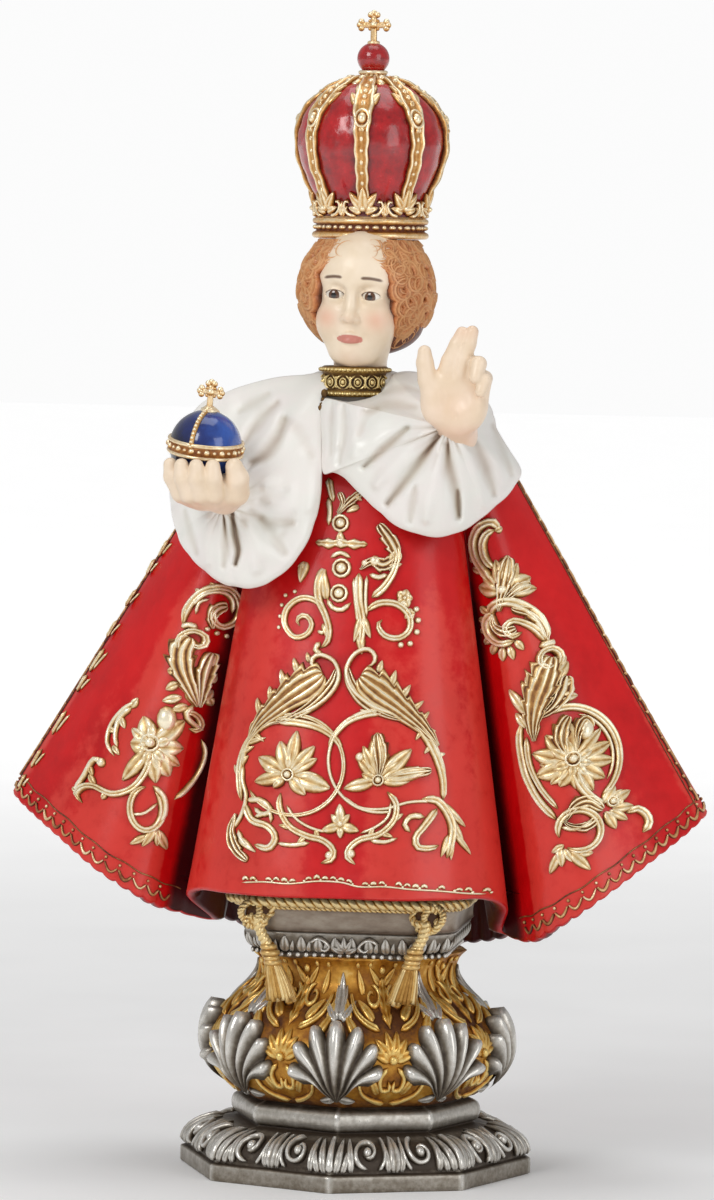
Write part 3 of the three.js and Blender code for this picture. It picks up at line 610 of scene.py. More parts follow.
def make_robe():
    bag = Bag()
    nu, nt = 760, 68
    u = np.linspace(0, NR, nu, endpoint=False)[:, None]
    t = np.r_[np.linspace(0, 0.94, nt - 16, endpoint=False), np.linspace(0.94, 1, 16)][None]
    P = robe_at(u, t)
    N = robe_normal(u, t)
    hw = hollow(u, t)
    d = soft_folds(u, t) * sm(1.0, 0.93, t)
    P = P + N * d[..., None]
    sc = scallop(u[:, 0])[:, None]
    P[..., 2] -= 0.9 * sc * sm(0.955, 1.0, t)
    P = P + N * (0.3 * (sc - 0.6) * gs(t - 0.985, 0.012) * wings(u))[..., None]
    # painted shade: w darkens the valleys between the folds
    w = np.clip(hw / 1.9, 0, 1) ** 0.8 * sm(0.02, 0.4, t)
    # painted highlight: this crest measure becomes attribute m
    ridge = np.clip(-hollow(u, t, 0.5) / 0.5, 0, 1)
    # rounded edge, then the hollow underside
    hem = robe_at(u[:, 0], np.ones(nu))
    hem[:, 2] -= 0.9 * sc[:, 0]
    tan = unit(np.roll(hem[:, :2], -1, 0) - np.roll(hem[:, :2], 1, 0))
    side = np.stack([-tan[:, 1], tan[:, 0]], -1)

    def inward(k):
        return hem[:, :2] + side * np.reshape(k, (-1, 1))

    under = []
    for k, dz in ((0.35, -0.38), (1.0, -0.62), (1.6, -0.68), (2.6, -0.5), (3.6, 0.0)):
        under.append(np.c_[inward(k), hem[:, 2] + dz])
    back = sm(-5, 30, hem[:, 1])
    deep = HEM_T + lerp(1.3, 0.2, back)
    under.append(np.c_[inward(deep), np.maximum(hem[:, 2] + 6, ROBE_FLOOR + 1.2)])
    f = u[:, 0] / NR * 2 * np.pi
    under.append(np.c_[26.5 * np.sin(f), -26.5 * np.cos(f), np.full(nu, ROBE_FLOOR)])
    under.append(np.c_[12 * np.sin(f), -12 * np.cos(f), np.full(nu, ROBE_FLOOR)])
    U = np.stack(under, 1)
    G = np.concatenate([P, U], 1)
    nU = U.shape[1]
    # painted shade: the hollow underside darkens further in
    W = np.concatenate([w, np.tile(np.array([0.2, 0.4, 0.6, 0.8, 0.9, 1, 1, 1]), (nu, 1))], 1)
    R = np.concatenate([ridge * sm(0.1, 0.4, t), np.zeros((nu, nU))], 1)
    bag.grid(G.transpose(1, 0, 2), {"w": W.T, "m": R.T}, cv=True, caps=True)
    return build("robe", bag, M_RED)


class Front:
    """The foremost surface of the robe over (x, z), or the rearmost from behind."""

    def __init__(self, side=-1, dx=0.25, dz=0.5, us=None):
        self.side, self.dx, self.dz = side, dx, dz
        self.x0, self.z0 = -95.0, 52.0
        nx, nz = int(190 / dx) + 1, int((ROBE_TOP - 52) / dz) + 1
        rows = self.z0 + dz * np.arange(nz)
        Y = np.full((nz, nx), np.inf)
        u = np.linspace(0, NR, 2601) if us is None else np.linspace(us[0], us[1], 1201)
        r = crom(ROBE, u % NR, True)
        for j, z in enumerate(rows):
            t = (ROBE_TOP - z) / (ROBE_TOP - r[:, 2])
            tt = np.clip(t, 0, 1)
            out = robe_normal(u % NR, tt) * (soft_folds(u % NR, tt) * sm(1.0, 0.93, tt))[:, None]
            x = lerp(r[:, 3], r[:, 0], t) + out[:, 0]
            y = (lerp(r[:, 4], r[:, 1], t) + out[:, 1]) * -side
            ok = (t[:-1] <= 1.03) & (t[1:] <= 1.03)
            a, b = x[:-1], x[1:]
            lo, hi = np.minimum(a, b), np.maximum(a, b)
            k = np.ceil((lo - self.x0) / dx).astype(int)
            xk = self.x0 + k * dx
            hit = ok & (xk <= hi) & (k >= 0) & (k < nx)
            f = (xk - a) / np.where(b == a, 1, b - a)
            yy = y[:-1] + (y[1:] - y[:-1]) * f
            np.minimum.at(Y[j], k[hit], yy[hit])
        # spread outward past the outline, so that ornament near it has somewhere to lie
        for _ in range(60):
            gap = ~np.isfinite(Y)
            if not gap.any():
                break
            best = np.full(Y.shape, np.inf)
            for sy, sx in ((0, 1), (0, -1), (1, 0), (-1, 0)):
                best = np.minimum(best, np.roll(Y, (sy, sx), (0, 1)) + 0.08)
            Y = np.where(gap, best, Y)
        Y[~np.isfinite(Y)] = 0
        self.Y = Y * -side

    def y(self, x, z):
        j = np.clip((np.asarray(z) - self.z0) / self.dz, 0, self.Y.shape[0] - 1.001)
        i = np.clip((np.asarray(x) - self.x0) / self.dx, 0, self.Y.shape[1] - 1.001)
        j0, i0 = j.astype(int), i.astype(int)
        fj, fi = j - j0, i - i0
        Y = self.Y
        return (Y[j0, i0] * (1 - fj) * (1 - fi) + Y[j0 + 1, i0] * fj * (1 - fi) + Y[j0, i0 + 1] * (1 - fj) * fi + Y[j0 + 1, i0 + 1] * fj * fi)

    def __call__(self, p):
        x, z = p[..., 0], p[..., 1]
        y = self.y(x, z)
        gx = np.clip((self.y(x + 0.8, z) - self.y(x - 0.8, z)) / 1.6, -3, 3)
        gz = np.clip((self.y(x, z + 0.8) - self.y(x, z - 0.8)) / 1.6, -3, 3)
        s = self.side
        n = unit(np.stack([-gx * s, np.full(x.shape, float(s)), -gz * s], -1))
        return np.stack([x, y, z], -1), n

    def seen(self, px, py):
        """Place (x, z) on the surface where a ray of the camera meets it."""
        v = ray(px, py)
        y = np.full(v.shape[:-1], -35.0)
        for _ in range(12):
            s = (y - CAM_C[1]) / v[..., 1]
            x, z = CAM_C[0] + s * v[..., 0], CAM_C[2] + s * v[..., 2]
            y = 0.5 * y + 0.5 * self.y(x, z)
        return np.stack([x, z], -1)


front = Front(us=(-5, 5))
front_l = Front(us=(NR - 10.6, NR - 4.6))
front_r = Front(us=(4.6, 10.6))


class Sheet:
    """A drawing over the front: units of 1/s picture steps from a corner."""

    def __init__(self, x0, y0, s, on):
        self.x0, self.y0, self.s, self.on = x0, y0, s, on
        self.k = 0.2585 / s

    def __call__(self, *pts):
        p = np.asarray(pts, float)
        return self.on.seen(self.x0 + p[..., 0] / self.s, self.y0 + p[..., 1] / self.s)


def centre_panel(R):
    S = Sheet(225, 470, 3.2558, front)
    k = S.k
    L = lambda pts, w=9, w1=None, h=1.0, **kw: R.line(S(*pts), 1.15 * w * k, None if w1 is None else 1.15 * w1 * k, h, **kw)
    # rings
    def ring(cx, cy, r, a0, turns, w=6.5, **kw):
        t = np.linspace(0, 1, 60)
        a = (a0 + turns * 360 * t) * D2R
        R.line(S(*np.stack([cx + r * np.cos(a), cy + r * np.sin(a)], -1)), w * k, w * 0.8 * k, 1.1, taper=(0.03, 0.03), **kw)
    ring(224, 962, 163, 176, 0.93, 8.5, prof=CREASE)
    ring(505, 948, 168, 300, -0.62, 7.0)
    # the outer stems that carry the great leaves
    L([(56, 1078), (50, 1010), (54, 950), (76, 890), (110, 848), (150, 822), (190, 816)], 9, 9, 1.2, prof=CREASE)
    for x, y, a, b in ((52, 960, 78, 930), (58, 920, 96, 900), (70, 890, 134, 872), (52, 1000, 34, 960), (96, 856, 128, 884)):
        R.petal(S((x, y))[0], S((a, b))[0], 9 * k, 1.1)
    L([(590, 800), (640, 850), (680, 920), (706, 1000), (710, 1074)], 15, 8, 1.4, prof=CREASE, taper=(0.05, 0.05))
    L([(620, 808), (672, 876), (704, 950), (716, 1010)], 6, 4, 1.0)
    for x, y, a, b in ((624, 812, 660, 806), (650, 850, 686, 850), (640, 850, 620, 880), (668, 900, 648, 924), (690, 930, 716, 924)):
        R.petal(S((x, y))[0], S((a, b))[0], 8 * k, 1.1)
    L([(62, 960), (60, 1010), (72, 1062), (58, 1120), (30, 1170)], 7, 6)
    L([(170, 818), (230, 822), (300, 838), (356, 872), (384, 912)], 13, 9, 1.3, prof=CREASE)
    L([(520, 788), (460, 796), (400, 820), (356, 866), (338, 906)], 12, 8, 1.3, prof=CREASE)
    for x, y, a, b in ((470, 800, 440, 780), (440, 806, 416, 798), (500, 790, 470, 768), (400, 822, 376, 830)):
        R.petal(S((x, y))[0], S((a, b))[0], 9 * k, 1.1)
    # great leaves
    R.frond(S((84, 880), (120, 822), (180, 764), (246, 712), (318, 668)), 74 * k, left=1.05, right=0.86, cl=6, cr=2, hl=0.52, hr=0.16, h=1.9, veins=5, full=0.7, hook=0.35)
    R.frond(S((150, 830), (220, 806), (290, 762), (346, 700), (366, 650)), 30 * k, left=0.7, right=0.8, cl=1, cr=1, hl=0.05, hr=0.05, h=1.5, veins=3, full=0.6)
    L([(226, 800), (290, 776), (346, 730), (372, 676), (358, 626), (318, 604), (290, 612), (286, 640), (306, 652)], 6, 8, 2.0)
    R.frond(S((690, 900), (640, 838), (574, 776), (504, 720), (444, 676)), 70 * k, left=0.86, right=1.05, cl=2, cr=6, hl=0.16, hr=0.52, h=1.9, veins=5, full=0.72, hook=0.35)
    R.frond(S((610, 822), (530, 800), (460, 760), (414, 700), (396, 640)), 28 * k, left=0.8, right=0.7, cl=1, cr=1, hl=0.05, hr=0.05, h=1.5, veins=3, full=0.6)
    L([(560, 800), (480, 770), (416, 716), (396, 656), (420, 604), (462, 584), (488, 604), (484, 632), (462, 640)], 6, 8, 2.0)
    for x, y, a, b, w in ((118, 800, 108, 742, 11), (156, 756, 148, 704, 12), (196, 706, 184, 650, 12), (238, 660, 226, 612, 11), (276, 626, 268, 594, 9)):
        R.petal(S((x, y))[0], S((a, b))[0], w * k, 1.5)
    for x, y, a, b, w in ((600, 790, 646, 752, 11), (572, 744, 604, 700, 12), (540, 704, 556, 652, 12), (500, 660, 512, 620, 11), (634, 822, 664, 786, 9)):
        R.petal(S((x, y))[0], S((a, b))[0], w * k, 1.5)
    # volutes
    L([(322, 322), (304, 372), (306, 424), (326, 470), (340, 520), (334, 560), (312, 580)], 14, 9, 1.4, prof=CREASE)
    L([(336, 470), (300, 428), (250, 418), (206, 450), (196, 500), (226, 544), (268, 536), (284, 500), (262, 474), (236, 488), (244, 508)], 10, 8, 1.3, prof=CREASE)
    L([(330, 500), (322, 530), (300, 524)], 8, 6)
    L([(310, 560), (296, 586), (318, 604)], 9, 9, 1.4)
    R.petal(S((330, 420))[0], S((322, 322))[0], 15 * k, 1.4)
    R.petal(S((322, 500))[0], S((344, 560))[0], 12 * k, 1.5)
    for x, y in ((186, 440), (180, 476), (176, 512), (198, 408), (228, 396)):
        R.knob(S((x, y))[0], 7 * k)
    L([(436, 336), (436, 420), (448, 490), (444, 560), (440, 600)], 15, 9, 1.4, prof=CREASE)
    L([(420, 352), (426, 430), (434, 500)], 7, 6, 1.2)
    L([(462, 344), (458, 420), (462, 480)], 6, 6, 1.1)
    R.petal(S((452, 470))[0], S((420, 560))[0], 15 * k, 1.5)
    R.petal(S((446, 480))[0], S((474, 548))[0], 14 * k, 1.5)
    R.petal(S((440, 540))[0], S((446, 600))[0], 14 * k, 1.6)
    L([(456, 462), (504, 434), (560, 438), (598, 474), (600, 520), (566, 548), (520, 540), (498, 506), (512, 488)], 11, 9, 1.4, prof=CREASE)
    R.flower(S((584, 418))[0], 30 * k, 5, 0.3, 1.5)
    R.flower(S((600, 470))[0], 20 * k, 5, 0.1, 1.4)
    for x, y in ((622, 454), (628, 490), (624, 528), (602, 566), (572, 570)):
        R.knob(S((x, y))[0], 10 * k, 1.2)
    # upper right spray
    R.frond(S((440, 326), (476, 300), (516, 310), (548, 292)), 30 * k, cl=3, cr=3, hl=0.4, hr=0.4, h=1.5, veins=3)
    R.frond(S((536, 330), (560, 286), (540, 232), (502, 178)), 34 * k, left=1.0, right=0.8, cl=4, cr=3, hl=0.5, hr=0.4, h=1.5, veins=3, full=0.45)
    L([(478, 416), (516, 384), (548, 334), (562, 280), (556, 240)], 13, 8, 1.4, prof=CREASE)
    L([(470, 340), (500, 350), (530, 340)], 8, 8, 1.1)
    R.knob(S((488, 298))[0], 19 * k, 1.7)
    R.knob(S((456, 304))[0], 12 * k, 1.5)
    R.petal(S((536, 300))[0], S((572, 250))[0], 15 * k, 1.4)
    R.petal(S((530, 320))[0], S((576, 306))[0], 12 * k, 1.3)
    # middle line
    R.knob(S((377, 174))[0], 30 * k, 1.5, ring=True)
    L([(296, 236), (340, 240), (376, 238), (420, 242), (464, 242)], 13, 13, 1.3, bumps=4, beads=0.3, prof=CREASE)
    R.petal(S((376, 236))[0], S((376, 200))[0], 14 * k, 1.4)
    R.knob(S((376, 240))[0], 14 * k, 1.7)
    R.knob(S((380, 320))[0], 33 * k, 1.6, ring=True)
    R.knob(S((372, 402))[0], 31 * k, 1.5, ring=True)
    L([(332, 418), (350, 448), (382, 456), (410, 432)], 8, 8, 1.1)
    L([(344, 286), (376, 270), (410, 286)], 7, 7, 1.0)
    R.petal(S((262, 300))[0], S((246, 366))[0], 17 * k, 1.3)
    R.petal(S((240, 320))[0], S((264, 310))[0], 10 * k, 1.1)
    R.petal(S((322, 322))[0], S((292, 404))[0], 15 * k, 1.4)
    # peak
    L([(338, 26), (346, 70), (354, 104)], 13, 8, 1.2, prof=CREASE)
    L([(336, 90), (342, 130), (338, 180)], 9, 8)
    R.frond(S((366, 150), (400, 112), (444, 74)), 20 * k, cl=3, cr=3, hl=0.4, hr=0.4, h=1.3, veins=3)
    R.frond(S((366, 140), (384, 110), (374, 74)), 15 * k, cl=2, cr=2, h=1.2, veins=3)
    R.petal(S((436, 118))[0], S((396, 138))[0], 10 * k)
    R.petal(S((420, 80))[0], S((446, 100))[0], 9 * k)
    # flowers in the rings: broad ruffled petals
    C = S((208, 994))[0]
    for (x, y), w in (((236, 850), 22), ((182, 884), 25), ((112, 936), 25), ((100, 1016), 21), ((292, 900), 21), ((342, 1036), 29), ((262, 1058), 21), ((300, 940), 17)):
        E = S((x, y))[0]
        R.petal(C + (E - C) * 0.08, E, w * k, 2.0, 0.5, 0.95)
    for (x, y), w in (((130, 974), 12), ((214, 916), 13), ((306, 996), 13), ((160, 1036), 12)):
        E = S((x, y))[0]
        R.petal(C + (E - C) * 0.25, E, w * k, 2.1, 0.3, 0.85)
    R.knob(C, 22 * k, 2.4, ring=True)
    C = S((498, 1012))[0]
    for (x, y), w in (((496, 856), 30), ((450, 900), 18), ((606, 910), 25), ((664, 976), 22), ((432, 936), 18), ((388, 1038), 19), ((570, 950), 17), ((446, 990), 17), ((600, 1014), 17)):
        E = S((x, y))[0]
        R.petal(C + (E - C) * 0.08, E, w * k, 1.9, 0.5, 0.9)
    R.knob(S((440, 936))[0], 16 * k, 2.0)
    R.frond(S((500, 1006), (506, 940), (496, 862)), 36 * k, cl=4, cr=4, hl=0.4, hr=0.4, h=2.1, veins=4, full=0.5)
    R.frond(S((520, 1004), (590, 990), (668, 980)), 24 * k, cl=4, cr=3, hl=0.4, hr=0.3, h=1.8, veins=3, full=0.5)
    R.knob(C, 20 * k, 2.3, ring=True)
    # lower stems
    L([(182, 1052), (180, 1100), (210, 1160), (266, 1192), (318, 1206), (352, 1236), (348, 1268), (312, 1280)], 10, 10, 1.3, prof=CREASE)
    L([(200, 1090), (232, 1136), (280, 1166), (330, 1180)], 5, 5, 1.0)
    for x, y, a, b in ((214, 1164, 176, 1156), (262, 1190, 232, 1226), (300, 1196, 296, 1168)):
        R.petal(S((x, y))[0], S((a, b))[0], 9 * k, 1.1)
    R.knob(S((340, 1256))[0], 15 * k, 1.5)
    L([(170, 1216), (220, 1222), (276, 1214)], 6, 8, 1.1)
    L([(528, 1048), (556, 1086), (550, 1140), (504, 1186), (440, 1204), (404, 1234), (400, 1262), (424, 1284)], 10, 10, 1.3, prof=CREASE)
    L([(540, 1080), (530, 1130), (490, 1164), (440, 1184)], 5, 5, 1.0)
    for x, y, a, b in ((548, 1140, 580, 1120), (510, 1182, 546, 1196), (470, 1196, 486, 1160)):
        R.petal(S((x, y))[0], S((a, b))[0], 9 * k, 1.1)
    R.knob(S((410, 1250))[0], 15 * k, 1.5)
    L([(470, 1206), (520, 1212), (562, 1198)], 8, 5, 1.0)
    L([(382, 1060), (440, 1100), (520, 1104), (600, 1082), (690, 1078)], 5, 5, 0.8)
    # fleuron
    for (x, y), w in (((374, 1088), 16), ((314, 1176), 15), ((436, 1176), 15), ((346, 1122), 12), ((406, 1122), 12), ((376, 1200), 12)):
        R.petal(S((376, 1158))[0], S((x, y))[0], w * k, 1.5, 0.3, 0.85)
    R.knob(S((376, 1154))[0], 12 * k, 1.9)
    # lower left scroll
    L([(72, 1076), (120, 1076), (152, 1108), (124, 1122), (96, 1098)], 10, 8, 1.2)
    L([(66, 1084), (90, 1140), (140, 1160), (166, 1196), (144, 1232), (96, 1220)], 12, 10, 1.4, prof=CREASE)
    L([(96, 1130), (150, 1120), (150, 1150)], 7, 7, 1.1)
    R.frond(S((40, 1120), (26, 1180), (40, 1234), (74, 1272)), 24 * k, cl=4, cr=3, h=1.4, veins=3, full=0.5)
    L([(100, 1240), (64, 1216), (44, 1170)], 8, 7, 1.1)
    R.petal(S((48, 1200))[0], S((100, 1244))[0], 12 * k, 1.3)
    # lower right scroll
    L([(690, 1102), (664, 1138), (640, 1170), (620, 1196), (626, 1228), (668, 1232), (696, 1222)], 12, 9, 1.3, prof=CREASE)
    L([(650, 1130), (606, 1128), (584, 1156), (604, 1180)], 10, 8, 1.2)
    L([(640, 1072), (690, 1078), (726, 1126), (738, 1180), (722, 1264)], 12, 10, 1.4, prof=CREASE)
    R.petal(S((704, 1086))[0], S((780, 1162))[0], 12 * k, 1.3)
    R.petal(S((730, 1140))[0], S((774, 1220))[0], 13 * k, 1.3)
    R.petal(S((744, 1180))[0], S((798, 1252))[0], 8 * k, 1.1)
    R.petal(S((730, 1190))[0], S((702, 1260))[0], 11 * k, 1.2)
    R.petal(S((736, 1190))[0], S((734, 1270))[0], 9 * k, 1.2)
    # the dotted line above the hem
    edge = path2(S((56, 1336), (130, 1334), (210, 1340), (300, 1332), (380, 1336), (436, 1350), (520, 1350), (600, 1358), (700, 1364), (800, 1372), (866, 1372)), 0.2)
    s = np.r_[0, np.cumsum(np.linalg.norm(np.diff(edge, axis=0), axis=1))]
    n = int(s[-1] / 2.05)
    for i in range(n):
        a, m, b = [np.array([np.interp((i + f) / n * s[-1], s, edge[:, j]) for j in (0, 1)]) for f in (0.08, 0.5, 0.92)]
        up = rng.uniform(0.35, 0.75)
        if rng.random() < 0.86:
            R.line([a, m + (0, up), b], 0.42 * rng.uniform(0.8, 1.25), None, 0.75, step=0.4, taper=(0.25, 0.25))
        if i % 2:
            R.knob(b + (0.1, -0.25), 0.42 * rng.uniform(0.8, 1.2), 0.7, nphi=10)
    R.line(edge[::6] - (0, 0.55), 0.26, None, 0.45, taper=(0.02, 0.02))


def left_wing(R):
    S = Sheet(10, 500, 3.5, front_l)
    k = 1.3 * S.k
    L = lambda pts, w=7, w1=None, h=0.9, **kw: R.line(S(*pts), w * k, None if w1 is None else w1 * k, 1.25 * h, **kw)
    P = lambda a, b, w=10, h=1.3, g=0.45, f=0.85: R.petal(S(a)[0], S(b)[0], w * k, h, g, f)
    L([(606, 440), (622, 384), (664, 330), (722, 304), (780, 322), (802, 376), (786, 426), (738, 444), (704, 416), (712, 378), (744, 372)], 12, 9, 1.3, prof=CREASE)
    L([(640, 372), (684, 330), (736, 322), (774, 350), (776, 396)], 6, 6, 1.4)
    L([(650, 400), (664, 360), (700, 346)], 6, 4, 1.1)
    for a, b, w in (((676, 330), (650, 312), 8), ((720, 312), (700, 290), 8), ((780, 330), (784, 300), 7), ((800, 390), (826, 372), 7), ((628, 400), (604, 384), 7)):
        P(a, b, w)
    R.frond(S((704, 450), (700, 410), (722, 380), (756, 372)), 22 * k, cl=3, cr=2, h=1.5, veins=3, full=0.6)
    L([(600, 446), (630, 438), (658, 448)], 9, 9, 1.3)
    for x, y in ((724, 466), (758, 476), (792, 460), (690, 452)):
        R.knob(S((x, y))[0], 7 * k)
    # great leaf
    R.frond(S((648, 722), (626, 660), (604, 590), (604, 530), (630, 484)), 60 * k, left=0.9, right=0.75, cl=6, cr=3, hl=0.5, hr=0.3, h=2.1, veins=4, full=0.62, hook=0.3)
    R.frond(S((656, 724), (664, 660), (676, 600), (702, 536)), 40 * k, left=0.6, right=1.0, cl=3, cr=5, hl=0.3, hr=0.55, h=1.9, veins=3, full=0.6)
    L([(588, 530), (600, 482), (640, 458), (676, 474), (672, 508), (644, 514), (632, 494)], 9, 8, 2.0, prof=CREASE)
    for a, b in (((590, 640), (546, 664)), ((600, 690), (534, 704)), ((582, 600), (552, 598)), ((690, 640), (722, 612)), ((676, 700), (708, 664)), ((688, 590), (712, 536)), ((620, 720), (566, 736)), ((690, 690), (706, 720))):
        P(a, b, 12, 1.5)
    L([(640, 716), (612, 750), (640, 786), (676, 806)], 9, 6, 1.3)
    L([(600, 740), (640, 748), (664, 780), (650, 806), (624, 800)], 9, 8, 1.3, prof=CREASE)
    # flower
    C = S((496, 862))[0]
    for (x, y), w in (((470, 758), 25), ((424, 852), 27), ((396, 982), 19), ((556, 966), 27), ((604, 868), 25), ((608, 772), 25), ((510, 990), 22), ((430, 800), 16), ((590, 930), 18), ((446, 920), 18)):
        E = S((x, y))[0]
        R.petal(C + (E - C) * 0.08, E, w * k, 1.9, 0.5, 0.9)
    for (x, y), w in (((500, 780), 14), ((566, 836), 15), ((540, 920), 14), ((470, 930), 13), ((448, 868), 14)):
        E = S((x, y))[0]
        R.petal(C + (E - C) * 0.2, E, w * k, 2.3, 0.4, 0.8)
    R.knob(S((548, 768))[0], 27 * k, 2.5, rz=37 * k)
    R.petal(S((536, 800))[0], S((552, 740))[0], 9 * k, 2.9)
    R.knob(S((492, 850))[0], 27 * k, 2.5, ring=True)
    L([(500, 884), (470, 960), (424, 1012), (360, 1030), (300, 1004), (262, 1006), (238, 1032), (254, 1060)], 11, 8, 1.4, prof=CREASE)
    L([(330, 918), (300, 910), (280, 938), (262, 972), (240, 1004), (236, 1030)], 9, 7, 1.2)
    for a, b, w in (((300, 1000), (280, 960), 9), ((340, 1026), (324, 1048), 8), ((282, 930), (292, 966), 8), ((420, 1010), (440, 1040), 8), ((240, 1024), (222, 1006), 7)):
        P(a, b, w)
    R.knob(S((322, 920))[0], 13 * k, 1.4)
    L([(668, 838), (682, 884), (662, 946), (620, 1004), (574, 1048)], 6, 7, 1.1)
    L([(444, 706), (396, 738), (356, 792), (344, 850), (366, 896)], 6, 6, 0.9)
    L([(428, 726), (388, 764), (372, 820), (378, 868)], 9, 6, 0.9)
    for a, b, w in (((428, 728), (450, 694), 10), ((390, 760), (404, 800), 9), ((370, 810), (344, 800), 8), ((362, 860), (384, 892), 8)):
        P(a, b, w, 1.1)
    # ring
    t = np.linspace(0, 1, 40)
    a = (-60 + 330 * t) * D2R
    R.line(S(*np.stack([476 + 56 * np.cos(a), 1080 + 76 * np.sin(a)], -1)), 10 * k, 10 * k, 1.4, prof=CREASE)
    L([(500, 1000), (534, 1036), (538, 1090), (520, 1130)], 9, 7, 1.3)
    L([(424, 1100), (470, 1096), (516, 1060)], 5, 5, 1.0)
    for a, b, w in (((506, 1150), (462, 1212), 12), ((510, 1152), (546, 1222), 12), ((480, 1174), (420, 1204), 10), ((516, 1150), (512, 1210), 9)):
        P(a, b, w, 1.3)
    # pale strokes inside the outer edge
    for x0, y0, x1, y1 in ((548, 138, 512, 200), (500, 206, 470, 262), (436, 312, 396, 372), (368, 420, 330, 482), (324, 520, 270, 602), (262, 612, 226, 672), (190, 738, 140, 822), (104, 872, 66, 938), (48, 960, 24, 1010)):
        c1 = ((x0 + x1) / 2 + 5, (y0 + y1) / 2 + 4)
        R.line(S((x0 + 8, y0), c1, (x1 + 8, y1)), 8 * S.k * rng.uniform(0.8, 1.25), 6 * S.k, 0.9, prof=CREASE)
        R.line(S((x0 + 20, y0 + 14), (c1[0] + 14, c1[1]), (x1 + 22, y1 - 8)), 4 * S.k, 3 * S.k, 0.5)


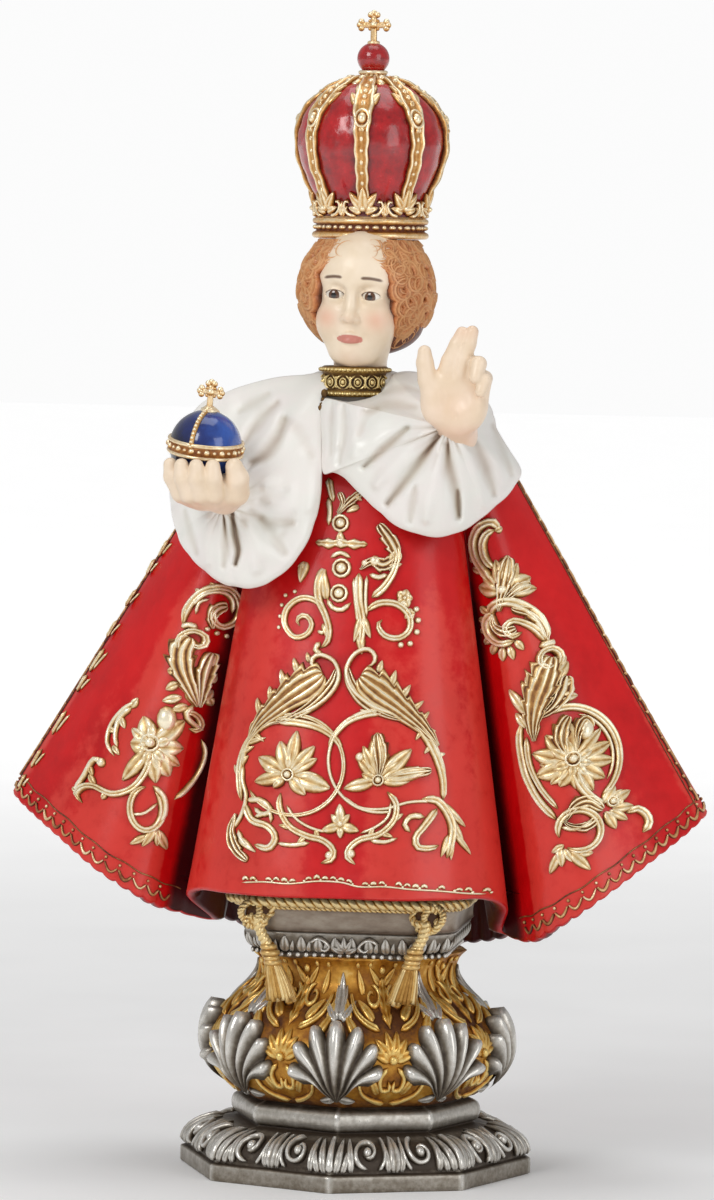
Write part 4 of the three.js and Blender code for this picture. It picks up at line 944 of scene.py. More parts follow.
def right_wing(R):
    S = Sheet(450, 500, 3.3333, front_r)
    k = 1.3 * S.k
    L = lambda pts, w=7, w1=None, h=0.9, **kw: R.line(S(*pts), w * k, None if w1 is None else w1 * k, 1.25 * h, **kw)
    P = lambda a, b, w=10, h=1.3, g=0.45, f=0.85: R.petal(S(a)[0], S(b)[0], w * k, h, g, f)
    L([(164, 100), (136, 74), (104, 90), (84, 136), (92, 190), (122, 238), (142, 276)], 12, 13, 1.5, prof=CREASE)
    L([(150, 100), (126, 112), (116, 152), (126, 196), (150, 232)], 9, 8, 1.5, prof=CREASE)
    P((150, 104), (172, 92), 10)
    P((96, 200), (66, 196), 10)
    P((112, 240), (78, 226), 10)
    for a, b, w in (((176, 300), (190, 186), 26), ((180, 300), (266, 258), 24), ((168, 306), (100, 288), 20), ((156, 290), (116, 240), 13), ((176, 310), (222, 212), 18), ((190, 304), (286, 296), 17), ((176, 300), (152, 200), 15)):
        P(a, b, w, 1.7, 0.5, 0.9)
    R.frond(S((168, 372), (176, 310), (184, 250), (190, 196)), 30 * k, cl=4, cr=4, hl=0.45, hr=0.45, h=2.2, veins=4, full=0.6)
    R.frond(S((180, 340), (220, 300), (262, 284)), 20 * k, cl=3, cr=3, h=1.8, veins=3, full=0.6)
    R.knob(S((176, 300))[0], 13 * k, 2.4)
    L([(136, 386), (156, 348), (200, 340), (250, 362), (294, 404), (322, 470)], 12, 17, 1.6, prof=CREASE)
    R.frond(S((322, 476), (304, 420), (262, 378), (206, 360)), 22 * k, cl=3, cr=4, h=2.0, veins=4, full=0.5)
    L([(318, 474), (280, 432), (236, 408), (206, 404), (186, 430), (210, 456), (240, 440)], 10, 8, 1.5, prof=CREASE)
    L([(150, 372), (128, 410), (140, 452), (176, 480), (216, 468)], 14, 9, 1.5, prof=CREASE)
    R.frond(S((150, 380), (160, 420), (190, 440), (220, 430)), 18 * k, cl=3, cr=3, h=1.8, veins=3)
    for x, y in ((114, 400), (118, 434), (130, 468), (150, 496), (178, 514), (206, 510), (118, 368), (232, 484)):
        P(((x * 3 + 176) / 4, (y * 3 + 420) / 4), ((x * 5 - 176) / 4, (y * 5 - 420) / 4), 10, 1.2)
    L([(296, 490), (322, 482), (348, 476)], 11, 11, 1.5)
    R.frond(S((282, 806), (280, 740), (290, 670), (310, 606), (330, 530)), 66 * k, left=0.95, right=0.8, cl=7, cr=6, hl=0.5, hr=0.45, h=2.3, veins=5, full=0.55, hook=0.3)
    R.frond(S((296, 730), (340, 692), (372, 640), (384, 590)), 32 * k, left=0.8, right=1, cl=3, cr=5, h=1.9, veins=3)
    L([(356, 560), (362, 520), (332, 498), (298, 514), (296, 548), (324, 562), (340, 540)], 9, 8, 2.1, prof=CREASE)
    for a, b, w in (((262, 720), (200, 632), 14), ((272, 680), (250, 612), 13), ((350, 600), (390, 538), 15), ((352, 660), (424, 652), 13), ((296, 600), (284, 546), 11), ((358, 560), (382, 518), 10), ((256, 760), (222, 710), 11), ((270, 640), (252, 590), 9), ((370, 620), (404, 600), 10)):
        P(a, b, w, 1.6)

    def arc(cx, cy, rx, ry, a0, a1, w, w1=None, h=1.0, **kw):
        a = np.linspace(a0, a1, 50) * D2R
        R.line(S(*np.stack([cx + rx * np.cos(a), cy + ry * np.sin(a)], -1)), w * k, (w if w1 is None else w1) * k, 1.3 * h, **kw)
    arc(402, 858, 160, 168, -118, 50, 11, 8, prof=CREASE, taper=(0.04, 0.04))
    arc(402, 858, 138, 146, -80, 30, 4, 4, 0.8)
    L([(240, 740), (236, 800), (246, 870), (262, 930), (300, 1004), (356, 1066)], 8, 12, 1.4, prof=CREASE)
    L([(256, 790), (268, 880), (304, 960), (360, 1030)], 8, 8, 1.2, prof=CREASE)
    C = S((408, 876))[0]
    for (x, y), w in (((276, 846), 22), ((290, 922), 24), ((318, 786), 22), ((386, 734), 22), ((366, 956), 22), ((532, 808), 19), ((544, 866), 18), ((514, 926), 20), ((476, 970), 18), ((500, 762), 15), ((300, 884), 15), ((336, 948), 16), ((420, 964), 15), ((350, 752), 14)):
        E = S((x, y))[0]
        R.petal(C + (E - C) * 0.06, E, w * k, 1.9, 0.55, 0.95)
    for (x, y), w in (((330, 830), 13), ((340, 900), 14), ((380, 800), 14), ((470, 830), 12), ((470, 880), 12), ((450, 920), 12), ((400, 930), 12)):
        E = S((x, y))[0]
        R.petal(C + (E - C) * 0.15, E, w * k, 2.5, 0.4, 0.85)
    R.frond(S((392, 866), (366, 810), (370, 760), (390, 724)), 28 * k, cl=4, cr=3, h=2.4, veins=4, full=0.5)
    R.frond(S((420, 830), (420, 780), (444, 736), (470, 760)), 22 * k, cl=3, cr=4, h=2.2, veins=4, full=0.5)
    R.knob(S((450, 768))[0], 19 * k, 2.2, rz=28 * k)
    R.knob(S((404, 866))[0], 22 * k, 2.9, ring=True)
    L([(410, 900), (430, 950), (466, 992), (510, 1020)], 14, 10, 1.6, prof=CREASE)
    R.frond(S((384, 1076), (410, 1026), (456, 1006), (506, 1032)), 26 * k, cl=4, cr=3, h=1.8, veins=4, full=0.5)
    for a, b, w in (((510, 1010), (548, 952), 14), ((530, 1012), (598, 968), 14), ((540, 1030), (610, 1020), 12), ((516, 1040), (552, 1096), 13), ((530, 1036), (590, 1066), 11), ((524, 1004), (574, 966), 10), ((560, 1030), (566, 980), 9)):
        P(a, b, w, 1.5)
    R.knob(S((538, 1006))[0], 15 * k, 2.0, ring=True)
    arc(430, 1102, 70, 68, -200, 124, 11, 9, 1.3, prof=CREASE)
    L([(368, 1090), (420, 1098), (480, 1064)], 6, 6, 1.0)
    R.frond(S((372, 1060), (400, 1086), (450, 1090), (494, 1060)), 16 * k, cl=3, cr=3, h=1.6, veins=3)
    for a, b, w in (((366, 1160), (374, 1222), 13), ((366, 1176), (334, 1246), 11), ((396, 1170), (468, 1232), 14), ((424, 1176), (476, 1176), 11), ((380, 1164), (410, 1206), 10), ((380, 1150), (340, 1176), 9)):
        P(a, b, w, 1.4)
    L([(586, 1044), (620, 1030), (652, 1050), (660, 1082), (642, 1108)], 9, 11, 1.2, prof=CREASE)


def make_relief():
    R = Relief(front)
    centre_panel(R)
    left_wing(Relief(front_l, R.bag))
    right_wing(Relief(front_r, R.bag))
    return R


# ---- trims along the robe's edges
def robe_frame(u, t):
    P, N = robe_at(u, t), robe_normal(u, t)
    P = P + N * (soft_folds(u, t) * sm(1.0, 0.93, t))[..., None]
    P[..., 2] -= 0.9 * scallop(np.asarray(u, float)) * sm(0.955, 1.0, t)
    return P, N


def robe_line(bag, us, ts, w, h, prof=ROUND, shade=1.0):
    """A raised line at the running places (u, t) on the robe; w, h may change along it."""
    P, N = robe_frame(us, ts)
    tan = unit(np.gradient(P, axis=0))
    side = unit(np.cross(tan, N))
    W = np.broadcast_to(np.asarray(w, float), len(us))
    H = np.broadcast_to(np.asarray(h, float), len(us))
    G = P[:, None] + side[:, None] * (W[:, None] * prof[None, :, 0])[..., None] + N[:, None] * (H[:, None] * prof[None, :, 1])[..., None]
    sh = np.clip(prof[None, :, 1], 0, 1) * np.broadcast_to(np.asarray(shade, float), len(us))[:, None]
    bag.grid(G, {"h": sh}, cv=True, caps=True)


def bead(bag, c, n, r, h, A=1.0):
    """A flat bead on the cloth at c, facing n."""
    a = unit(np.cross(n, [0.13, 0.2, 1.0]))
    b = np.cross(n, a)
    th = np.linspace(0, 2 * np.pi, 8, endpoint=False)[None]
    rows = np.array([(1.0, -0.4, 0.0), (1.0, 0.2, 0.35), (0.82, 0.62, 0.8), (0.5, 0.92, 1), (0.04, 1.0, 1)])
    G = c + (a * np.cos(th)[..., None] + b * np.sin(th)[..., None]) * (r * rows[:, :1, None]) + n * (h * rows[:, 1:2, None])
    bag.grid(G, {"h": A * rows[:, 2:3] + 0 * th}, cv=True, caps=True)


def make_trims():
    bag = Bag()
    # scallops all along the hem of the wings and the back
    n = round(HEM_S[-1] / 4.3)
    r2 = np.random.default_rng(3)
    for i in range(n):
        s0, s1 = HEM_S[-1] * i / n, HEM_S[-1] * (i + 1) / n
        f = np.linspace(0.06, 0.94, 12)
        us = np.interp(s0 + (s1 - s0) * f, HEM_S, HEM_U)
        um = us[6]
        if wings(um) < 0.8:
            continue
        fin = 0.975 + 0.012 * np.sin(np.pi * f)
        wide = 0.42 * np.sin(np.pi * f) ** 0.5 * r2.uniform(0.7, 1.2)
        robe_line(bag, us, fin, wide + 0.1, 0.62, shade=r2.uniform(0.45, 1.0))
        p, nn = robe_frame(np.array([us[0]]), np.array([0.968]))
        bead(bag, p[0], nn[0], 0.46 * r2.uniform(0.8, 1.15), 0.62, r2.uniform(0.6, 1.0))
    us = np.linspace(5.9, NR - 5.9, 900)
    robe_line(bag, us, np.full(900, 0.958) + 0.0015 * np.sin(us * 9), 0.2, 0.3, shade=0.5)
    # beads and small loops down the outer edge of the right wing
    for u0, seed in ((10.95, 5), (NR - 11.3, 6)):
        r3 = np.random.default_rng(seed)
        P = robe_at(np.full(400, u0), np.linspace(0, 1, 400))
        s = np.r_[0, np.cumsum(np.linalg.norm(np.diff(P, axis=0), axis=1))]
        m = int(s[-1] / 3.7)
        for i in range(1, m):
            f = np.linspace(0.05, 0.95, 10)
            ts = np.interp((i + f) * s[-1] / m, s, np.linspace(0, 1, 400))
            if ts[-1] > 0.985:
                continue
            robe_line(bag, u0 + 0.09 * np.sin(np.pi * f), ts, 0.15 + 0.4 * np.sin(np.pi * f) ** 0.5, 0.75, shade=r3.uniform(0.5, 1.0))
            p, nn = robe_frame(np.array([u0 - 0.02]), ts[:1])
            bead(bag, p[0], nn[0], 0.5 * r3.uniform(0.8, 1.2), 0.8, r3.uniform(0.7, 1.0))
        ts = np.linspace(0.02, 0.985, 260)
        robe_line(bag, np.full(260, u0 - 0.22), ts, 0.18, 0.28, shade=0.5)
    return bag


def back_panel(R):
    """Plainer scrolls on the back of the robe, in mm."""
    L = lambda pts, w, w1=None, h=1.0, **kw: R.line(pts, w, w1, h, prof=CREASE, **kw)
    for m in (-1, 1):
        f = lambda *pts: [(m * x, z) for x, z in pts]
        L(f((3, 74), (14, 78), (21, 88), (17, 99), (7, 100), (5, 92), (11, 90)), 0.9, 0.6)
        L(f((3, 106), (12, 112), (15, 122), (9, 130), (3, 126), (6, 121)), 0.85, 0.55)
        L(f((22, 84), (30, 82), (34, 90), (29, 96), (24, 92)), 0.75, 0.5)
        R.frond(f((16, 82), (22, 92), (22, 104), (16, 112)), 4.4, cl=5, cr=3, hl=0.5, hr=0.3, h=1.5, veins=4)
        R.frond(f((10, 116), (14, 124), (12, 134), (6, 139)), 3.0, cl=4, cr=3, h=1.3, veins=3)
        for a, b, w in (((6, 78), (10, 68), 1.0), ((20, 86), (28, 76), 1.0), ((10, 100), (14, 107), 0.9), ((5, 106), (9, 103), 0.8), ((33, 90), (38, 86), 0.8)):
            R.petal(f(a)[0], f(b)[0], w, 1.2)
        for x, z in ((23, 100), (26, 98), (28, 101), (17, 128), (18, 124)):
            R.knob((m * x, z), 0.55, 0.8)
    R.flower((0, 88), 6.5, 8, 0.0, 1.8)
    R.flower((0, 116), 4.6, 6, 0.2, 1.6)
    R.frond([(0, 96), (0, 101), (0, 107)], 2.4, cl=3, cr=3, h=1.5, veins=3)
    R.knob((0, 140), 1.2, 1.3, ring=True)
    R.knob((0, 146), 0.9, 1.1, ring=True)
    for x, z, r, n in ((52, 92, 4.6, 7), (-52, 92, 4.6, 7)):
        R.flower((x, z), r, n, 0.3, 1.6)


robe = make_robe()
relief = make_relief()
back_panel(Relief(Front(side=1, us=(12.5, NR - 12.5)), relief.bag))
robe_gold = build("robe_gold", relief.bag, M_GOLD)
robe_trim = build("robe_trim", make_trims(), M_TRIM)
for _o in (robe, robe_gold, robe_trim):
    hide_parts("figure")

# ------------------------------------------------------------------ plain solids
def ball(bag, c, r, h=1.0, nu=14, nv=9, rot=None, low=0.25, w=0.0):
    """An ellipsoid. Painted shade darkens it towards its foot."""
    th = np.linspace(0, 2 * np.pi, nu, endpoint=False)[None]
    ph = np.linspace(-np.pi / 2 + 0.06, np.pi / 2 - 0.06, nv)[:, None]
    D = np.stack([np.cos(ph) * np.cos(th), np.cos(ph) * np.sin(th), np.sin(ph) + 0 * th], -1)
    P = D * np.broadcast_to(np.asarray(r, float), (3,))
    if rot is not None:
        P = P @ np.asarray(rot).T
    bag.grid(P + np.asarray(c, float), {"h": lerp(low, h, sm(-1, 0.4, D[..., 2])), "w": w}, cv=True, caps=True)


def frames(P, up=(0, 0, 1.0)):
    """A steady pair of directions across a path."""
    T = unit(np.gradient(P, axis=0))
    A = np.zeros_like(P)
    a = np.asarray(up, float)
    if abs(T[0] @ a) > 0.9:
        a = np.array([0, 1.0, 0])
    for i in range(len(P)):
        a = a - T[i] * (a @ T[i])
        a = a / max(np.linalg.norm(a), 1e-9)
        A[i] = a
    return T, A, np.cross(T, A)


def tube(bag, P, R, m=8, h=0.8, flat=1.0, up=(0, 0, 1.0), closed=False, A=None, w=0.0):
    """A round bar along P. flat squeezes it along its first direction."""
    P = np.asarray(P, float)
    R = np.broadcast_to(np.asarray(R, float), len(P))
    T, A1, B1 = frames(P, up)
    if closed:
        T = unit(np.roll(P, -1, 0) - np.roll(P, 1, 0))
        A1 = unit(np.asarray(up, float) - T * (T @ np.asarray(up, float))[:, None])
        B1 = np.cross(T, A1)
    f = np.linspace(0, 2 * np.pi, m, endpoint=False)
    G = P[:, None] + R[:, None, None] * (flat * np.cos(f)[None, :, None] * A1[:, None] + np.sin(f)[None, :, None] * B1[:, None])
    att = {"h": h, "w": w}
    att.update(A or {})
    if closed:
        bag.grid(G, att, cu=True, cv=True)
    else:
        bag.grid(G, att, cv=True, caps=True)


def rope(bag, P, r, pitch, closed=True, strands=2, thick=0.62, m=7):
    """Strands twisted round the path P."""
    P = np.asarray(P, float)
    Q = np.vstack([P, P[:1]]) if closed else P
    s = np.r_[0, np.cumsum(np.linalg.norm(np.diff(Q, axis=0), axis=1))]
    L = s[-1]
    n = int(L / (pitch / 7.5))
    turns = max(1, round(L / pitch))
    t = np.linspace(0, L, n, endpoint=not closed)
    C = np.stack([np.interp(t, s, Q[:, k]) for k in range(3)], -1)
    if closed:
        T = unit(np.roll(C, -1, 0) - np.roll(C, 1, 0))
    else:
        T = unit(np.gradient(C, axis=0))
    up = np.array([0, 0, 1.0])
    A1 = unit(up - T * (T @ up)[:, None])
    B1 = np.cross(T, A1)
    f = np.linspace(0, 2 * np.pi, m, endpoint=False)
    for k in range(strands):
        a = 2 * np.pi * (turns * t / L + k / strands)
        off = A1 * np.cos(a)[:, None] + B1 * np.sin(a)[:, None]
        c = C + off * (r * (1 - thick) * 1.15)
        T2 = unit((np.roll(c, -1, 0) - np.roll(c, 1, 0)) if closed else np.gradient(c, axis=0))
        A2 = unit(off - T2 * (T2 * off).sum(-1, keepdims=True))
        B2 = np.cross(T2, A2)
        G = c[:, None] + r * thick * (np.cos(f)[None, :, None] * A2[:, None] + np.sin(f)[None, :, None] * B2[:, None])
        hh = np.clip(0.5 + 0.6 * np.cos(f), 0, 1)[None] + 0 * t[:, None]
        bag.grid(G, {"h": hh}, cu=closed, cv=True, caps=not closed)


# ------------------------------------------------------------------ pedestal
PROFILE = np.array([
    [0, 46, 0], [4.2, 46, 0], [4.5, 45.1, 0], [7.6, 44.2, 0], [10.4, 41, 0], [12.2, 36.8, 0], [13, 32, 0], [13.6, 31.2, 0],
    [16, 32.4, 0], [18.2, 31.2, 0], [19, 29.6, 0.1], [21.6, 33.2, 0.35], [25.5, 36.8, 0.35], [29.5, 38.8, 0.35], [33, 39.3, 0.35],
    [36.6, 38.4, 0.35], [40.4, 35.8, 0.35], [44.4, 31.8, 0.35], [48, 27.8, 0.35], [51.6, 25.8, 0.35], [55.4, 26.4, 0.4], [57.6, 28.6, 0.4]])


def octo(f, k=0.0):
    """Radius of an octagon with a corner to the front, over its corner radius; k rounds it."""
    m = (np.asarray(f) / D2R) % 45 - 22.5
    return lerp(math.cos(22.5 * D2R) / np.cos(m * D2R), 1.0, k)


def turned(bag, rows, n=256, disp=None, A=None, round_k=None):
    """An eight-sided turned shape. rows: z, corner radius, roundness."""
    rows = np.asarray(rows, float)
    f = np.linspace(0, 2 * np.pi, n, endpoint=False)[None]
    z, R, k = rows[:, :1], rows[:, 1:2], rows[:, 2:3]
    r = R * octo(f, k)
    P = np.stack([r * np.sin(f), -r * np.cos(f), z + 0 * f], -1)
    if disp is not None:
        du = np.roll(P, -1, 1) - np.roll(P, 1, 1)
        dv = np.gradient(P, axis=0)
        N = unit(np.cross(du, dv))
        P = P + N * disp(f + 0 * z, z + 0 * f)[..., None]
    a = {"h": 0.6, "w": 0.0}
    a.update(A(f + 0 * z, z + 0 * f) if A else {})
    bag.grid(P, a, cv=True, caps=True)


def fine_rows(z0, z1, n, sub=None):
    """Smooth rows of the profile between two levels."""
    part = PROFILE[(PROFILE[:, 0] >= z0 - 0.01) & (PROFILE[:, 0] <= z1 + 0.01)]
    u = np.linspace(0, len(part) - 1, n)
    q = crom(part, u)
    q[:, 0] = np.maximum.accumulate(q[:, 0])
    return q


OVOLO = np.array([[4.6, 45.0], [6.2, 45.1], [8.0, 44.4], [9.8, 42.6], [11.2, 39.9], [12.2, 36.6], [12.8, 33.2]])


def on_ovolo(p):
    """p: run along the side (mm at radius 44), and up the quarter round (0..13 mm)."""
    f = p[..., 0] / 44.0
    u = np.clip(p[..., 1] / 13.0, 0, 1) * (len(OVOLO) - 1)
    q = crom(OVOLO, u)
    dq = crom(OVOLO, np.minimum(u + 0.05, len(OVOLO) - 1)) - crom(OVOLO, np.maximum(u - 0.05, 0))
    m = (f / D2R) % 45 - 22.5
    mid = (f / D2R - m) * D2R          # middle of the side
    ap = q[..., 1] * math.cos(22.5 * D2R)
    # straight across the side
    x_l = ap * np.tan(m * D2R)
    out = np.stack([np.sin(mid), -np.cos(mid), 0 * mid], -1)
    tan = np.stack([np.cos(mid), np.sin(mid), 0 * mid], -1)
    P = out * ap[..., None] + tan * x_l[..., None]
    P[..., 2] = q[..., 0]
    nz, nr = -dq[..., 1], dq[..., 0]
    N = unit(out * nr[..., None] + np.stack([0 * nz, 0 * nz, nz], -1))
    return P, N


BULB = PROFILE[10:]


def on_bulb(p):
    """p: run round the bulb (mm at radius 38), and level."""
    f = p[..., 0] / 38.0
    z = np.clip(p[..., 1], 19.4, 57.4)
    i = np.interp(z, BULB[:, 0], np.arange(len(BULB)))
    q = crom(BULB, i)
    R = q[..., 1] * octo(f, q[..., 2])
    e = 0.4
    def place(f, z):
        q = crom(BULB, np.interp(z, BULB[:, 0], np.arange(len(BULB))))
        r = q[..., 1] * octo(f, np.maximum(q[..., 2], 0.6))
        return np.stack([r * np.sin(f), -r * np.cos(f), z], -1)
    N = unit(np.cross(place(f + 0.02, z) - place(f - 0.02, z), place(f, np.minimum(z + e, 57.4)) - place(f, np.maximum(z - e, 19.4))))
    P = np.stack([R * np.sin(f), -R * np.cos(f), z], -1)
    return P, N


M_SILVER = paint_metal("antique_silver", c(62, 50, 38), c(120, 110, 96), c(172, 166, 156), c(224, 221, 214), rough=(0.24, 0.4), metal=0.55, grime=0.45)
M_AMBER = paint_metal("amber_gold", c(84, 44, 10), c(158, 100, 24), c(206, 150, 56), c(240, 208, 128), rough=(0.26, 0.42), metal=0.5, grime=0.6)
M_BRAID = paint_metal("braid_gold", c(72, 40, 12), c(150, 102, 36), c(204, 160, 84), c(240, 214, 156), rough=(0.28, 0.42), metal=0.5, grime=0.4)


def taupe():
    t = Tree("cushion_taupe")
    a = t.noise(14, 3, 0.6, (0.35, 1, 1))
    b = t.noise(1.6, 4, 0.65, (0.4, 1, 1))
    m = t.math("ADD", t.math("MULTIPLY", a, 0.65), t.math("MULTIPLY", b, 0.35))
    # painted shade: attribute w darkens the grooves and the band under the cord
    m = t.math("SUBTRACT", m, t.math("MULTIPLY", t.attr("w"), 0.35))
    col = t.ramp(m, [(0.2, c(84, 66, 50)), (0.42, c(146, 130, 114)), (0.58, c(178, 166, 150)), (0.75, c(206, 198, 184))])
    t.bump(b, 0.1, 0.5)
    return t.set(Base_Color=col, Roughness=t.ramp(b, [(0.3, 0.32), (0.7, 0.46)]), Metallic=0.25, Specular_IOR_Level=0.5)


M_TAUPE = taupe()


def palmette(bag, corner, at, W=12.2, H=19.6, z0=22.4):
    """A fluted leaf that opens upward from its foot on a corner of the bulb. Its lobes roll over at their ends."""
    x0 = corner * 45 * D2R * 38.0
    lobes = 7
    nphi, nr = 85, 16
    ph = np.linspace(-1, 1, nphi)[:, None]
    rr = np.linspace(0, 1, nr)[None]
    a = ph * 112 * D2R
    lob = np.abs(np.cos(ph * np.pi * lobes / 2))           # 1 on a lobe's middle, 0 in the cleft
    reach = (0.8 + 0.2 * lob**0.6)
    ex = np.sin(a) * W * reach * (1 - 0.06 * np.cos(a))
    ez = (0.40 + 0.60 * np.cos(a * 0.92)) * H * reach
    # the flutes leave the foot upright and bend outward
    bend = rr**1.5
    X = lerp(np.sin(a) * W * 0.16, ex, bend) * sm(-0.05, 0.25, rr)
    Z = lerp(0, 1, rr) * ez + 1.6 * np.sin(np.pi * rr) * (1 - np.cos(a)) * 0.9
    flute = (0.5 + 0.5 * np.cos(ph * np.pi * lobes)) ** 0.8
    deep = sm(0.02, 0.35, rr)
    lift = 0.9 + 1.5 * np.sin(np.pi * np.clip(rr * 0.72, 0, 1)) + 1.5 * sm(0.55, 0.95, rr) * lob
    Hh = lift * (1 - 0.62 * (1 - flute) * deep) * (1 - 0.75 * sm(0.93, 1.0, rr)) + 0.2
    shade = np.clip(flute * (0.5 + 0.5 * rr) * 1.0 + 0.12, 0, 1) * (1 - 0.55 * sm(0.95, 1, rr)) * lerp(0.45, 1, sm(0.05, 0.5, rr))
    XZ = np.stack([x0 + X, z0 + Z], -1)
    # closed under the surface
    skirt = XZ[:, -1:]
    XZ = np.concatenate([XZ, skirt, skirt * 0.5 + 0.5 * np.array([x0, z0 + H * 0.4])], 1)
    Hc = np.concatenate([Hh, np.full((nphi, 2), -0.8)], 1)
    S = np.concatenate([shade, np.zeros((nphi, 2))], 1)
    P, N = at(XZ)
    bag.grid(P + N * Hc[..., None], {"h": S}, out=N)


def make_pedestal():
    out = []
    # ---- plinth and step, silver
    b = Bag()
    rows = [[0, 45.6, 0], [0.3, 46, 0], [1.2, 46, 0], [3.0, 46, 0], [3.9, 46, 0], [4.3, 45.7, 0], [4.45, 45.1, 0], [4.6, 44.6, 0]]
    for z, r in crom(OVOLO, np.linspace(0.1, len(OVOLO) - 1, 26)):
        rows.append([z, r - 0.5, 0])
    rows += [[12.9, 31.6, 0], [13.1, 31.0, 0], [13.5, 31.0, 0]]
    for a in np.linspace(-80, 80, 12):
        rows.append([16.1 + 2.6 * math.sin(a * D2R), 31.2 + 1.5 * math.cos(a * D2R), 0])
    rows += [[18.9, 30.6, 0.05], [19.1, 29.9, 0.15], [19.4, 29.4, 0.3], [19.7, 29.2, 0.35]]
    def pl_attr(f, z):
        m = np.abs((f / D2R) % 45 - 22.5) / 22.5
        # edge: painted highlight down the corners of the octagon
        edge = sm(0.93, 1.0, m)
        h = 0.52 + 0.35 * edge + 0.1 * sm(3.3, 4.2, z) * sm(4.5, 4.3, z) - 0.6 * gs(z - 4.5, 0.22) - 0.65 * gs(z - 13.1, 0.5) - 0.5 * gs(z - 19.3, 0.5) + 0.22 * gs(z - 16.6, 1.6)
        # the last term is painted shade at the foot, next to the floor
        h = h - 0.42 * sm(4.6, 5.4, z) * sm(12.6, 11.4, z) - 0.1 * sm(2.5, 0, z)
        return {"h": np.clip(h, 0, 1)}
    turned(b, rows, 224, disp=lambda f, z: 0.12 * vnoise(np.stack([44 * np.sin(f), 44 * np.cos(f), z], -1), 5.0, 2, 2), A=pl_attr)
    R = Relief(on_ovolo, b)
    side = 2 * math.pi * 44 / 8
    for k in range(8):
        c0 = (k + 0.5) * side
        for s in (-1, 1):
            ec = c0 + s * 7.6
            t = np.linspace(0, 1, 46)
            # a volute in an oval frame
            a = (90 + 400 * t) * D2R * s
            r = lerp(4.1, 1.1, t**0.9)
            R.line(np.stack([ec + r * np.cos(a) * 1.0, 6.3 + r * np.sin(a) * 1.08], -1), 0.8, 0.55, 1.25, prof=ROUND, step=0.5)
            R.knob((ec, 6.2), 1.25, 1.5)
            R.line([(ec - 4.3 * s, 11.2), (ec - 5.0 * s, 8.2), (ec - 4.7 * s, 4.4), (ec - 3.0 * s, 1.2)], 0.45, 0.6, 1.1, step=0.6)
            R.petal((ec + 4.4 * s, 1.0), (ec + 5.2 * s, 11.4), 0.95, 1.3)
        R.petal((c0, 0.6), (c0, 11.8), 1.7, 1.7, 0.5, 0.6)
        R.petal((c0 - 1.8, 0.8), (c0 - 2.9, 10.6), 0.85, 1.1)
        R.petal((c0 + 1.8, 0.8), (c0 + 2.9, 10.6), 0.85, 1.1)
        e = k * side
        for s in (-1, 1):
            R.petal((e + 1.4 * s, 0.8), (e + 2.9 * s, 11.2), 1.0, 1.3)
            R.petal((e + 3.1 * s, 0.8), (e + 4.4 * s, 7.0), 0.8, 1.1)
        R.line([(e + 0.01, 0.7), (e, 6), (e - 0.01, 12.2)], 0.9, 0.7, 1.2, step=0.8)
    out.append(("plinth", b, M_SILVER))

    # ---- bulb and neck, amber gold
    b = Bag()
    rows = fine_rows(19, 57.6, 52)
    rows = rows[1:]
    first = np.array([[19.5, 26.0, 0.35], [19.55, 29.0, 0.35]])
    rows = np.vstack([first, rows[rows[:, 0] > 19.6]])
    def b_disp(f, z):
        P = np.stack([38 * np.sin(f), 38 * np.cos(f), z], -1)
        return 0.35 * vnoise(P, 4.2, 5, 3) * sm(19.6, 23, z)
    def b_attr(f, z):
        P = np.stack([38 * np.sin(f), 38 * np.cos(f), z], -1)
        n = vnoise(P, 4.2, 5, 3)
        # painted shade: the sm(24, 19.6) term darkens the foot, under the bulb's swell
        h = 0.48 + 0.42 * n - 0.35 * sm(24, 19.6, z) - 0.3 * gs(z - 43.5, 3.0) + 0.1 * gs(z - 51, 3)
        return {"h": np.clip(h, 0, 1)}
    turned(b, rows, 184, disp=b_disp, A=b_attr)
    R = Relief(on_bulb, b)
    F = 2 * math.pi * 38 / 8
    for k in range(8):
        c0 = (k + 0.5) * F
        s = 1 if k % 2 else -1
        # between two leaves: a shell flower over a pair of scrolls
        for i in range(6):
            a = (-75 + 30 * i) * D2R
            R.petal((c0 + 0.6 * math.sin(a), 33.2), (c0 + 6.4 * math.sin(a) * (0.9 + 0.1 * (i % 2)), 33.2 + 6.8 * math.cos(a)), 1.5, 1.5, 0.5)
        R.knob((c0, 33.0), 1.3, 1.9)
        for q in (-1, 1):
            R.line([(c0 + q * 1.2, 31.2), (c0 + q * 3.2, 28.6), (c0 + q * 2.6, 25.4), (c0 + q * 0.4, 25.6), (c0 + q * 0.9, 27.6)], 0.8, 0.6, 1.2, step=0.7)
            R.line([(c0 + q * 0.6, 21.4), (c0 + q * 4.4, 22.2), (c0 + q * 8.0, 24.4), (c0 + q * 9.0, 28.4)], 0.7, 0.5, 1.0, step=0.8)
            R.petal((c0 + q * 3.4, 24.0), (c0 + q * 6.6, 30.2), 1.1, 1.1)
